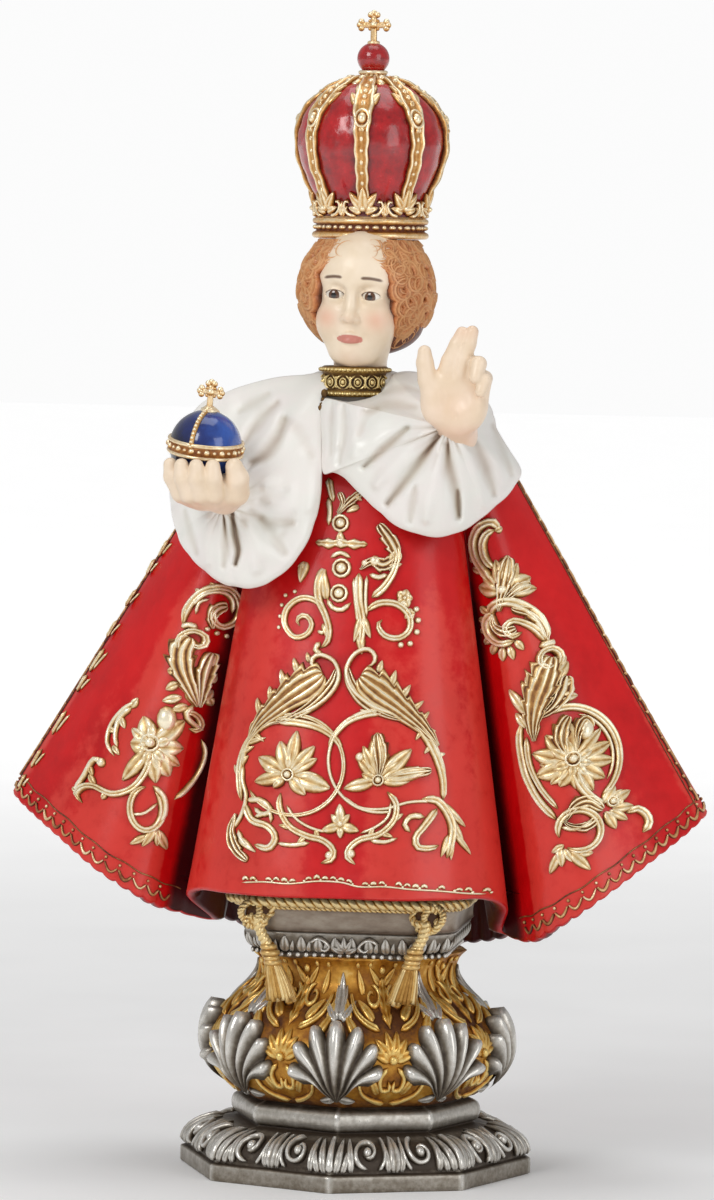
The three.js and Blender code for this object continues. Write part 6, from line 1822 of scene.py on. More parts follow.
def paint_white():
    t = Tree("cape_white")
    a = t.noise(9, 3, 0.55)
    b = t.noise(1.5, 4, 0.6)
    # painted shade: attribute w browns the cloth in its creases, valleys and hollows
    w = t.math("ADD", t.attr("w"), t.math("MULTIPLY", t.math("SUBTRACT", a, 0.5), 0.35))
    col = t.ramp(w, [(0.06, c(241, 238, 232)), (0.3, c(224, 218, 208)), (0.62, c(184, 168, 150)), (0.95, c(124, 98, 76))])
    tint = t.ramp(a, [(0.35, c(226, 232, 228)), (0.65, c(238, 228, 232))])
    col = t.mix(0.3, col, tint, "MULTIPLY")
    t.bump(b, 0.1, 0.4)
    return t.set(Base_Color=col, Roughness=t.ramp(b, [(0.3, 0.3), (0.7, 0.42)]), Coat_Weight=0.3, Coat_Roughness=0.18)


M_WHITE = paint_white()


# Creases seen in the cloth: points in picture pixels, depth and width in mm, and how much brown painted shade fills
# each crease.
# A negative depth is a soft ridge.
def _lines(x0, y0, s, rows):
    return [(np.array([(x0 + a / s, y0 + b / s) for a, b in pts]), depth, width / 0.2585, wash) for pts, depth, width, wash in rows]


CREASE_L = _lines(165, 360, 5.8333, [
    ([(385, 890), (400, 1000), (425, 1110), (412, 1190)], 2.1, 1.0, 0.9), ([(345, 930), (355, 1080), (345, 1200)], 0.9, 1.6, 0.35),
    ([(120, 880), (155, 1020), (185, 1120)], 0.9, 1.5, 0.3), ([(560, 930), (640, 1040), (700, 1120)], 1.0, 2.2, 0.3),
    ([(500, 880), (590, 940), (740, 950)], 0.9, 1.8, 0.28), ([(560, 815), (600, 830)], 0.7, 1.5, 0.25), ([(600, 745), (690, 750)], -1.7, 2.6, 0.0),
    ([(460, 480), (540, 360), (650, 250)], 1.3, 1.9, 0.36), ([(500, 600), (580, 560), (650, 460), (690, 350)], 1.5, 2.2, 0.46),
    ([(700, 330), (790, 430), (860, 560)], 0.7, 2.6, 0.16), ([(430, 300), (520, 250), (600, 200)], 0.8, 2.0, 0.3),
    ([(250, 930), (240, 1060), (250, 1180)], -1.0, 2.2, 0.0), ([(480, 960), (520, 1080), (540, 1220)], -1.0, 2.4, 0.0), ([(830, 560), (860, 700), (840, 860)], -0.8, 2.6, 0.0),
    ([(760, 900), (690, 1010)], 0.6, 2.2, 0.15), ([(440, 900), (470, 960)], 0.5, 1.2, 0.2)])
CREASE_R = _lines(300, 330, 6.087, [
    ([(650, 600), (520, 710), (390, 830)], 1.9, 1.4, 0.5), ([(840, 640), (760, 760), (640, 920), (530, 1060)], 2.0, 1.5, 0.55),
    ([(890, 700), (915, 860), (950, 1000), (962, 1140)], 1.8, 1.7, 0.5), ([(955, 980), (964, 1130)], 0.6, 0.8, 0.45),
    ([(700, 960), (670, 1170)], 1.0, 1.3, 0.28), ([(1030, 620), (1100, 760), (1160, 930), (1180, 1000)], 1.5, 1.9, 0.4),
    ([(1000, 700), (1080, 850), (1125, 1060)], -1.2, 1.9, 0.0), ([(740, 640), (600, 800), (470, 940)], -1.1, 2.3, 0.0), ([(850, 760), (800, 980), (770, 1150)], -1.0, 2.2, 0.0),
    ([(270, 460), (268, 620), (240, 810)], 0.8, 1.4, 0.25), ([(196, 440), (192, 600), (186, 760)], 0.6, 1.2, 0.2), ([(230, 480), (226, 700)], -0.7, 1.5, 0.0),
    ([(400, 490), (560, 450), (700, 470)], 0.9, 2.0, 0.28), ([(360, 640), (400, 540), (470, 480)], 0.7, 1.8, 0.2), ([(500, 380), (620, 350), (720, 370)], 0.8, 1.6, 0.25),
    ([(1180, 580), (1240, 740), (1290, 880)], 0.9, 1.7, 0.3), ([(1100, 560), (1180, 700), (1230, 900)], -0.8, 1.6, 0.0), ([(340, 620), (330, 760)], -0.7, 1.8, 0.0)])


def in_picture(P):
    v = P - CAM_C
    w = v @ -_d
    return np.stack([CAM_CX + CAM_F * (v @ CAM_R) / w, CAM_CY - CAM_F * (v @ CAM_U) / w], -1)


def creases(P, lines):
    q = in_picture(P)
    cut, brown = np.zeros(P.shape[:-1]), np.zeros(P.shape[:-1])
    for pts, depth, width, wash in lines:
        c_ = path2(pts, 2.0)
        best = np.full(P.shape[:-1], 1e9)
        for i in range(len(c_) - 1):
            a, b = c_[i], c_[i + 1]
            t = np.clip(((q - a) @ (b - a)) / ((b - a) @ (b - a)), 0, 1)
            e = 1 + 0.9 * abs((i + 0.5) / (len(c_) - 1) - 0.5) ** 2 * 4
            best = np.minimum(best, np.linalg.norm(q - a - t[..., None] * (b - a), axis=-1) * e)
        g = gs(best, width * 0.75)
        cut += depth * g
        # painted shade: brown along each crease
        brown += wash * gs(best, width * 0.6)
    return cut, brown


def cape(spec, seed, lines):
    wrist = np.array(spec["wrist"], float)
    e = np.array([[x, y, z] for x, z, y in spec["edge"]], float)
    n = 330
    rim = crom(e, np.linspace(0, len(e), n, endpoint=False), True)
    k = np.r_[np.linspace(0.03, 0.93, 56), 0.95, 0.968, 0.982, 0.993][None]
    a = np.degrees(np.arctan2(rim[:, 0] - wrist[0], -(rim[:, 2] - wrist[2])))[:, None]
    aa = a + 5.0 * np.sin(k * 3.0 + seed) * sm(0.2, 0.9, k)
    swell, valley = fold_form((aa + 180) % 360 - 180, spec["folds"])
    up = sm(125, 165, np.abs(a))
    y = lerp(wrist[1], rim[:, 1:2] - 3.2, k**1.25)
    x = lerp(wrist[0], rim[:, :1], k)
    z = lerp(wrist[2], rim[:, 2:3], k)
    P = np.stack([x, y, z], -1)
    cut, brown = creases(P, lines)
    near = sm(0.55, 0.12, k)
    lift = 0.42 * (swell - 0.7) * (0.35 + 0.5 * near) * sm(0.03, 0.12, k) - cut
    lift = lift + 0.55 * vnoise(P * np.array([1, 0.4, 1]), 8.0, seed, 2) * sm(0.1, 0.5, k)
    lift = lift + 0.25 * gs(k - 0.955, 0.02)
    # full and rounded towards the edge, like heavy satin
    lift = lift + 0.9 * sm(0.25, 0.75, k) * (1 - sm(0.9, 1.0, k) * 0.6) * (1 - up)
    P[..., 1] -= lift
    d = unit(np.stack([wrist[0] - rim[:, 0], 0 * rim[:, 0], wrist[2] - rim[:, 2]], -1))
    pull = 0.32 * np.clip(cut, -0.6, 1.6) * sm(0.86, 1.0, k) + 0.18 * valley * sm(0.8, 1.0, k)
    P = P + d[:, None] * pull[..., None]
    # painted shade: brown in the creases, in the valleys near the wrist and where the cloth leaves the wrist
    shade = np.clip(brown + 0.28 * valley * near + 0.5 * gs(k - 0.03, 0.06), 0, 1)
    rows = [P.transpose(1, 0, 2)]
    W = [shade.T + 0 * P[..., 0].T]
    q = P[:, -1].copy()
    rows.append((q + np.array([0, 0.9, 0]) - d * 0.15)[None])
    rows.append((q + np.array([0, 2.2, 0]) + d * 0.5)[None])
    mid = np.array([rim[:, 0].mean(), rim[:, 2].mean()])
    back = np.stack([lerp(q[:, 0], mid[0], 0.12), np.minimum(q[:, 1] + 7, 6), lerp(q[:, 2], mid[1], 0.12)], -1)
    rows.append(back[None])
    # painted shade on the underside of the edge, darker further in
    W += [np.full((1, n), 0.1), np.full((1, n), 0.5), np.full((1, n), 0.9)]
    b = Bag()
    b.grid(np.concatenate(rows), {"w": np.concatenate(W), "m": 0.0}, cv=True, caps=True)
    return b


def cape_back():
    rows = np.array([[207.2, 9, 8.5, -2, -5], [204.5, 17, 11.5, -1, -3], [199.5, 28.5, 14.5, -2, -1.5],
                     [191, 36.5, 17.5, -3.5, 0.5], [180, 41.4, 21, -4.6, 2.5], [170, 42.8, 24, -5.4, 4], [165, 43, 25, -5.6, 4.4]])
    u = np.linspace(0, len(rows) - 1, 44)
    r = crom(rows, u)
    n = 220
    f = np.linspace(0, 2 * np.pi, n, endpoint=False)[None]
    zz, ra, rb, cx, cy = [r[:, i:i + 1] for i in range(5)]
    k = (u / (len(rows) - 1))[:, None]
    deg = np.degrees((f + np.pi) % (2 * np.pi) - np.pi)
    va = [(-170, .9), (-150, .7), (-132, 1.1), (-112, .8), (-94, .9), (-72, .8), (-48, .6), (-20, .5), (10, .5), (38, .6), (64, .8), (88, .9), (108, .8), (127, 1.1), (146, .8), (166, 1.0)]
    swell, valley = fold_form(deg + 4 * np.sin(k * 5), va)
    w = 1 + 0.028 * swell * sm(0.25, 0.8, k) + 0.35 * sm(0.94, 1.0, k) * 0.03
    front = np.maximum(0, np.cos(f))
    w = lerp(w, 1.0, sm(0.0, 0.4, front))
    lift = 13 * np.maximum(0, np.sin(f)) * sm(-0.9, 0.2, np.cos(f)) * sm(0.72, 0.86, k)
    x = cx + ra * w * np.sin(f)
    y = cy - rb * w * np.cos(f) * (1 - 0.12 * front)
    z = zz + lift - 0.9 * swell * sm(0.85, 1, k) * (1 - front)
    P = np.stack([x, y, z + 0 * f], -1)
    # painted shade in the valleys of the folds
    sh = np.clip(0.55 * valley / 1.2 * sm(0.2, 0.6, k), 0, 1)
    # rolled lower edge, then the hollow behind it
    last = P[-1]
    c0 = np.array([-5.6, 4.4])
    def inner(kk, dz):
        q = last.copy()
        q[:, 0] = c0[0] + (q[:, 0] - c0[0]) * kk
        q[:, 1] = c0[1] + (q[:, 1] - c0[1]) * kk
        q[:, 2] += dz
        return q
    P = np.concatenate([P, inner(0.99, -0.9)[None], inner(0.965, -1.0)[None], inner(0.94, 0.0)[None], inner(0.84, 2.4)[None]])
    # painted shade: darker into the hollow behind the edge
    sh = np.concatenate([sh + 0 * f, np.full((1, n), .2), np.full((1, n), .5), np.full((1, n), .8), np.full((1, n), 1.0)])
    b = Bag()
    b.grid(P, {"w": sh, "m": 0.0}, cv=True, caps=True)
    return b


_b = cape(CAPE_R, 1, CREASE_R)
_b.merge(cape(CAPE_L, 2, CREASE_L))
_b.merge(cape_back())
cape_piece = build("cape", _b, M_WHITE)
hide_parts("figure")

# ---- collar and the trim that hangs from it
M_OLD = paint_metal("collar_gold", c(48, 28, 10), c(120, 86, 34), c(176, 142, 74), c(232, 210, 150), rough=(0.24, 0.4), metal=0.6, grime=0.5, fine_mm=1.0)


def make_collar():
    b = Bag()
    f = np.linspace(0, 2 * np.pi, 96, endpoint=False)
    prof = np.array([[200.6, 6.0], [200.6, 8.3], [200.9, 8.9], [201.5, 9.0], [202.0, 8.6], [202.3, 8.3], [204.4, 8.2], [206.6, 8.3], [206.9, 8.6], [207.5, 9.0], [208.0, 8.7], [208.4, 8.0], [208.4, 6.4]])
    G = np.stack([-2 + prof[:, 1:2] * np.sin(f), -9.5 - prof[:, 1:2] * np.cos(f), prof[:, :1] + 0 * f], -1)
    hz = 0.8 * (gs(prof[:, :1] - 201.4, 0.5) + gs(prof[:, :1] - 207.5, 0.5)) + 0.12 + 0 * f
    b.grid(G, {"h": np.clip(hz, 0, 1)}, cv=True, caps=True)
    def at(p):
        a = p[..., 0] / 8.3
        N = np.stack([np.sin(a), -np.cos(a), 0 * a], -1)
        P = np.stack([-2 + 8.25 * np.sin(a), -9.5 - 8.25 * np.cos(a), p[..., 1]], -1)
        return P, N
    R = Relief(at, b)
    n = 14
    st = 2 * np.pi * 8.3 / n
    for i in range(n):
        x = (i + 0.5) * st
        R.knob((x, 204.4), 1.05, 0.9, rz=1.3, ring=True, nphi=14)
        for e in (-1, 1):
            R.line([(x + e * 0.2, 202.6), (x + e * 1.6, 203.4), (x + e * 1.7, 205.2), (x + e * 0.4, 206.3)], 0.3, 0.3, 0.7, step=0.5)
        R.knob((x + st / 2, 203.2), 0.4, 0.6, nphi=8)
        R.knob((x + st / 2, 205.6), 0.4, 0.6, nphi=8)
    for i in range(44):
        a = 2 * np.pi * i / 44
        for z in (201.4, 207.5):
            ball(b, (-2 + 8.95 * math.sin(a), -9.5 - 8.95 * math.cos(a), z), 0.52, 1.0, 8, 5)
    # the bead edging down the opening of the cape
    P = path2([(-8.6, -17.6, 201.5), (-9.3, -19.6, 196), (-8.9, -23.2, 189), (-8.4, -26.0, 183.6), (-8.0, -27.4, 180.0)], 0.4)
    s = np.r_[0, np.cumsum(np.linalg.norm(np.diff(P, axis=0), axis=1))]
    tube(b, P, 0.62, 6, 0.15, up=(0, -1, 0))
    d = 0.0
    i = 0
    while d < s[-1]:
        q = np.array([np.interp(d, s, P[:, j]) for j in range(3)])
        r = 0.62 if i % 3 else 0.9
        # painted shade: the beads just under the collar are darker
        dark = 0.35 if d < 8 else 1.0
        ball(b, q + np.array([0, -0.5, 0]), (r, r * 0.9, r * (1.25 if i % 3 == 0 else 1.0)), dark, 9, 7)
        d += r * 2.0
        i += 1
    return b


_o = build("collar_and_edging", make_collar(), M_OLD)
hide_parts("figure")

# ------------------------------------------------------------------ shapes by distance
def su(a, b, k):
    h = np.clip(0.5 + 0.5 * (b - a) / k, 0, 1)
    return b + (a - b) * h - k * h * (1 - h)


def ss(a, b, k):
    """a with b cut away."""
    return -su(-a, b, k)


def d_ball(P, c, r):
    """Distance to an ellipsoid, near enough."""
    r = np.broadcast_to(np.asarray(r, float), (3,)).astype(np.float32)
    q = P - np.asarray(c, np.float32)
    k0 = np.sqrt(((q / r) ** 2).sum(-1))
    k1 = np.sqrt(((q / (r * r)) ** 2).sum(-1))
    return k0 * (k0 - 1) / np.maximum(k1, 1e-6)


def d_bar(P, a, b, ra, rb=None):
    rb = ra if rb is None else rb
    a, b = np.asarray(a, np.float32), np.asarray(b, np.float32)
    pa, ba = P - a, b - a
    t = np.clip((pa @ ba) / (ba @ ba), 0, 1)
    return np.sqrt(((pa - t[..., None] * ba) ** 2).sum(-1)) - (ra + (rb - ra) * t)


def nets(F, lo, h):
    """A surface through the zeros of F on a grid."""
    s = F < 0
    n = np.array(F.shape) - 1
    cnt = np.zeros(n, np.int8)
    for dx in (0, 1):
        for dy in (0, 1):
            for dz in (0, 1):
                cnt += s[dx:n[0] + dx, dy:n[1] + dy, dz:n[2] + dz]
    mask = (cnt > 0) & (cnt < 8)
    idx = np.full(n, -1, np.int64)
    cells = np.argwhere(mask)
    idx[mask] = np.arange(len(cells))
    acc = np.zeros((len(cells), 3))
    num = np.zeros(len(cells))
    i, j, k = cells.T
    for ax in range(3):
        o1, o2 = [x for x in range(3) if x != ax]
        for a in (0, 1):
            for b in (0, 1):
                p = np.stack([i, j, k], -1)
                p[:, o1] += a
                p[:, o2] += b
                q = p.copy()
                q[:, ax] += 1
                fa, fb = F[tuple(p.T)], F[tuple(q.T)]
                hit = (fa < 0) != (fb < 0)
                t = fa / np.where(fa == fb, 1, fa - fb)
                x = p.astype(float)
                x[:, ax] += t
                acc[hit] += x[hit]
                num[hit] += 1
    V = acc / np.maximum(num, 1)[:, None] * h + lo
    Q = []
    for ax in range(3):
        o1, o2 = [(1, 2), (2, 0), (0, 1)][ax]
        sl0 = [slice(None)] * 3
        sl1 = [slice(None)] * 3
        sl0[ax] = slice(0, -1)
        sl1[ax] = slice(1, None)
        a, b = s[tuple(sl0)], s[tuple(sl1)]
        for way in (0, 1):
            e = np.argwhere((a & ~b) if way == 0 else (~a & b))
            ok = (e[:, o1] > 0) & (e[:, o2] > 0) & (e[:, o1] < n[o1]) & (e[:, o2] < n[o2])
            e = e[ok]
            c = []
            for da, db in ((-1, -1), (0, -1), (0, 0), (-1, 0)):
                g = e.copy()
                g[:, o1] += da
                g[:, o2] += db
                c.append(idx[tuple(g.T)])
            c = np.stack(c, -1)
            Q.append(c if way == 0 else c[:, ::-1])
    return V, np.vstack(Q)


def relax(V, Q, times=1, amount=0.5):
    for _ in range(times):
        acc = np.zeros_like(V)
        num = np.zeros(len(V))
        for a, b in ((0, 1), (1, 2), (2, 3), (3, 0)):
            np.add.at(acc, Q[:, a], V[Q[:, b]])
            np.add.at(acc, Q[:, b], V[Q[:, a]])
            np.add.at(num, Q[:, a], 1)
            np.add.at(num, Q[:, b], 1)
        V = V + amount * (acc / np.maximum(num, 1)[:, None] - V)
    return V


def field(lo, hi, h):
    ax = [np.arange(a, b + h, h, dtype=np.float32) for a, b in zip(lo, hi)]
    return np.stack(np.meshgrid(*ax, indexing="ij"), -1)


def biggest(V, Q):
    """Only the largest connected shell."""
    lab = np.arange(len(V))
    while True:
        m = lab[Q].min(1)
        new = lab.copy()
        for k in range(4):
            np.minimum.at(new, Q[:, k], m)
        new = new[new]
        if (new == lab).all():
            break
        lab = new
    u, cnt = np.unique(lab[Q[:, 0]], return_counts=True)
    keep = lab == u[cnt.argmax()]
    Q = Q[keep[Q].all(1)]
    mp = np.cumsum(keep) - 1
    return V[keep], mp[Q]


# ------------------------------------------------------------------ head
# A general calm child's face on even proportions, in its own frame: -y forward, z up.
HEAD_AT = np.array([-0.7, -7.6, 226.0])


def head_turn(V):
    a, r = -6.0 * D2R, 2.5 * D2R
    Rz = np.array([[math.cos(a), -math.sin(a), 0], [math.sin(a), math.cos(a), 0], [0, 0, 1]])
    Ry = np.array([[math.cos(r), 0, math.sin(r)], [0, 1, 0], [-math.sin(r), 0, math.cos(r)]])
    p = np.array([0, 0, -8.0])
    return (V - p) @ Rz.T @ Ry.T + p


EYE = np.array([4.75, -9.25, 0.4])
EYE_R = 3.15


def head_shape(h=0.3):
    P = field((-14, -18, -25), (14, 15, 19), h)
    d = d_ball(P, (0, 0.2, 4.2), (12.0, 13.8, 14.2))
    d = su(d, d_ball(P, (0, -3.0, -6.2), (9.9, 9.5, 11.6)), 4.0)
    d = su(d, d_ball(P, (0, -4.8, 6.6), (9.9, 8.4, 8.4)), 4.0)
    d = su(d, d_ball(P, (0, -9.0, -14.3), 3.1), 3.2)
    d = su(d, d_bar(P, (-3.2, -7.6, -13.6), (3.2, -7.6, -13.6), 3.0), 3.0)
    for s in (-1, 1):
        d = su(d, d_ball(P, (s * 5.6, -7.6, -6.6), (4.3, 4.2, 4.6)), 3.2)
        d = su(d, d_bar(P, (s * 2.4, -11.9, 4.3), (s * 7.2, -9.7, 4.2), 1.15, 0.9), 2.6)
        d = ss(d, d_ball(P, (s * 4.7, -14.0, 0.5), (3.7, 3.3, 2.7)), 1.6)
        d = ss(d, d_ball(P, (s * 2.6, -13.6, -0.6), (1.2, 1.5, 2.2)), 1.4)
    # eyelids: a shell over each eye with an almond opening
    for s in (-1, 1):
        e = EYE * np.array([s, 1, 1])
        lid = d_ball(P, e, EYE_R + 0.34)
        dx = P[..., 0] - e[0]
        dz = P[..., 2] - e[2]
        up = np.sqrt(dx**2 + (dz + 2.35) ** 2) - 3.55
        lo = np.sqrt(dx**2 + (dz - 3.2) ** 2) - 4.0
        hole = np.maximum(up, lo)
        hole = np.maximum(hole, P[..., 1] - (e[1] - 0.4))
        lid = ss(lid, hole, 0.22)
        d = su(d, lid, 0.75)
        d = ss(d, np.maximum(hole, d_ball(P, e, EYE_R + 0.5)), 0.18)
        # upper lid's crease
        a = np.linspace(-1, 1, 7)
        for i in range(6):
            p = [np.array([e[0] + 2.7 * t, e[1] - 3.25 + 0.75 * t * t, e[2] + 2.25 - 0.85 * t * t]) for t in (a[i], a[i + 1])]
            d = ss(d, d_bar(P, p[0], p[1], 0.16), 0.5)
    # nose
    d = su(d, d_bar(P, (0, -11.9, 2.6), (0, -14.0, -4.4), 0.95, 1.35), 1.7)
    d = su(d, d_ball(P, (0, -14.35, -5.1), (1.6, 1.55, 1.4)), 1.0)
    for s in (-1, 1):
        d = su(d, d_ball(P, (s * 1.65, -13.0, -5.5), (1.05, 1.3, 1.0)), 0.8)
        d = ss(d, d_ball(P, (s * 0.85, -13.9, -6.5), (0.45, 0.7, 0.5)), 0.4)
    # mouth
    d = ss(d, d_bar(P, (0, -14.0, -7.2), (0, -13.9, -8.6), 0.35), 0.7)
    for s in (-1, 1):
        d = su(d, d_bar(P, (s * 0.5, -12.75, -9.45), (s * 2.9, -11.7, -10.0), 0.72, 0.3), 0.7)
        d = ss(d, d_ball(P, (s * 3.7, -12.3, -10.1), 0.55), 0.8)
    d = su(d, d_ball(P, (0, -12.3, -11.1), (2.15, 1.15, 0.95)), 0.7)
    a = np.linspace(-1, 1, 9)
    for i in range(8):
        p = [(3.25 * t, -13.45 + 1.35 * t * t, -10.15 - 0.15 * t * t + 0.12 * np.cos(t * 5)) for t in (a[i], a[i + 1])]
        d = ss(d, d_bar(P, p[0], p[1], 0.14), 0.3)
    d = ss(d, d_bar(P, (-1.5, -13.2, -12.6), (1.5, -13.2, -12.6), 0.5), 1.2)
    # neck
    d = su(d, d_bar(P, (0, 1.0, -10), (0.4, -0.8, -26), 6.4, 7.2), 3.0)
    V, Q = nets(d, P[0, 0, 0], h)
    V, Q = biggest(V, Q)
    return relax(V, Q, 1, 0.35), Q


def paint_skin():
    t = Tree("skin_ivory")
    a = t.noise(6, 3, 0.5)
    b = t.noise(1.2, 3, 0.55)
    col = t.ramp(a, [(0.35, c(232, 212, 184)), (0.65, c(240, 222, 198))])
    # attribute w: blush on cheeks and fingertips, and painted shade under the chin and on the hands
    blush_and_shade = t.math("MULTIPLY", t.attr("w"), t.span(a, 0.2, 0.7, 0.75, 1.0))
    col = t.mix(t.math("MULTIPLY", blush_and_shade, 0.6), col, c(226, 150, 122))
    col = t.mix(t.span(t.attr("m"), 0.25, 0.8, 0.0, 0.85), col, c(198, 104, 92))
    col = t.mix(t.span(t.attr("h"), 0.2, 0.75, 0.0, 0.9), col, c(84, 48, 26))
    t.bump(b, 0.06, 0.35)
    return t.set(Base_Color=col, Roughness=t.ramp(b, [(0.3, 0.36), (0.7, 0.46)]), Coat_Weight=0.2, Coat_Roughness=0.2, Subsurface_Weight=0.0)


M_SKIN = paint_skin()


def make_head():
    V, Q = head_shape(0.36)
    x, y, z = V.T
    frontal = y < -5
    blush_and_shade = 0.9 * np.exp(-(((np.abs(x) - 6.6) / 2.9) ** 2 + ((z + 5.6) / 2.7) ** 2)) * frontal
    blush_and_shade = blush_and_shade + 0.3 * np.exp(-((x / 1.6) ** 2 + ((z + 5.4) / 1.2) ** 2)) * frontal + 0.25 * np.exp(-((x / 3.4) ** 2 + ((z + 15.5) / 2.0) ** 2)) * frontal
    # painted shade: the neck under the chin darkens toward the blush colour
    blush_and_shade = blush_and_shade + 0.45 * sm(-15.5, -20, z)
    lipz = -10.25
    lip = sm(1.25, 0.75, np.abs((z - lipz + 0.35) / (1.15 * np.sqrt(np.clip(1 - (x / 3.5) ** 2, 0.02, 1))))) * (np.abs(x) < 3.4) * frontal
    ex = np.abs(x) - EYE[0]
    brow_c = 4.55 + 0.55 * np.cos(ex / 3.2 * 1.2) - 0.05 * ex
    brow = gs(z - brow_c, 0.36) * sm(-3.0, -1.6, ex) * sm(3.9, 2.0, ex) * frontal * 0.85
    lash = gs(z - (EYE[2] + 1.2 - 0.14 * ex**2), 0.22) * (np.abs(ex) < 2.5) * frontal * 0.95
    low = gs(z - (EYE[2] - 0.95 + 0.11 * ex**2), 0.14) * (np.abs(ex) < 2.1) * frontal * 0.35
    crease = gs(z - (EYE[2] + 2.15 - 0.12 * ex**2), 0.2) * (np.abs(ex) < 2.6) * frontal * 0.3
    dark = np.clip(brow + lash + low + crease, 0, 1)
    b = Bag()
    b.add(head_turn(V) + HEAD_AT, Q, (), {"w": np.clip(blush_and_shade, 0, 1), "m": np.clip(lip, 0, 1), "h": dark})
    return b


def make_eyes():
    t = Tree("eye_paint")
    a = t.noise(0.8, 3, 0.6)
    col = t.ramp(t.math("ADD", t.attr("h"), t.math("MULTIPLY", t.math("SUBTRACT", a, 0.5), 0.06)),
                 [(0.0, c(232, 226, 214)), (0.46, c(226, 218, 204)), (0.52, c(58, 36, 22)), (0.6, c(96, 60, 34)), (0.76, c(70, 42, 24)), (0.82, c(14, 10, 8)), (1.0, c(12, 8, 6))])
    m = t.set(Base_Color=col, Roughness=t.ramp(a, [(0.3, 0.1), (0.7, 0.16)]), Coat_Weight=0.8, Coat_Roughness=0.04)
    b = Bag()
    for s in (-1, 1):
        e = EYE * np.array([s, 1, 1])
        th = np.linspace(0, 2 * np.pi, 36, endpoint=False)[None]
        ph = np.linspace(0.01, np.pi - 0.01, 44)[:, None]
        look = unit(np.array([-0.03, -1.0, -0.03]))
        A1 = unit(np.cross(look, [0, 0, 1.0]))
        B1 = np.cross(A1, look)
        D = look * np.cos(ph)[..., None] + (A1 * np.cos(th)[..., None] + B1 * np.sin(th)[..., None]) * np.sin(ph)[..., None]
        ang = np.degrees(ph) + 0 * th
        h = np.interp(ang, [0, 10, 11.5, 27, 28.5, 180], [1.0, 0.9, 0.72, 0.56, 0.4, 0.0])
        bulge = EYE_R * (1 + 0.018 * sm(30, 20, ang))
        P = e + D * bulge[..., None]
        b.grid(head_turn(P.reshape(-1, 3)).reshape(P.shape) + HEAD_AT, {"h": h}, cv=True, caps=True)
    return b, m


# ------------------------------------------------------------------ hair
HAIR_C = np.array([0.0, 3.0, 2.4])
HAIR_R = np.array([15.6, 15.4, 15.6])


def on_hair(p):
    """p: bearing and height over the hair, both in mm at radius 15.6."""
    a, e = p[..., 0] / 15.6, np.clip(p[..., 1] / 15.6, -1.45, 1.45)
    D = np.stack([np.cos(e) * np.sin(a), -np.cos(e) * np.cos(a), np.sin(e)], -1)
    wide = 1 + 0.035 * gs(p[..., 1] + 3, 5.5)[..., None]
    P = HAIR_C + D * HAIR_R * wide
    N = unit(D / HAIR_R)
    return head_turn(P.reshape(-1, 3)).reshape(P.shape) + HEAD_AT, unit((head_turn((P + N).reshape(-1, 3)) - head_turn(P.reshape(-1, 3))).reshape(P.shape))


def paint_hair():
    t = Tree("hair_copper")
    a = t.noise(1.3, 4, 0.6)
    b = t.noise(5, 3, 0.5)
    h = t.math("ADD", t.attr("h"), t.math("MULTIPLY", t.math("SUBTRACT", a, 0.5), 0.5))
    h = t.math("ADD", h, t.math("MULTIPLY", t.math("SUBTRACT", b, 0.5), 0.35), clamp=True)
    col = t.ramp(h, [(0.12, c(92, 42, 16)), (0.42, c(160, 88, 42)), (0.7, c(202, 130, 76)), (0.95, c(230, 172, 118))])
    t.bump(a, 0.1, 0.5)
    return t.set(Base_Color=col, Roughness=t.ramp(a, [(0.3, 0.34), (0.7, 0.48)]), Coat_Weight=0.15, Coat_Roughness=0.25)


M_HAIR = paint_hair()
STRAND = np.array([[-1, -0.5], [-0.96, 0.15], [-0.74, 0.52], [-0.5, 0.82], [-0.24, 0.62], [0, 1.0], [0.24, 0.62], [0.5, 0.82], [0.74, 0.52], [0.96, 0.15], [1, -0.5]])


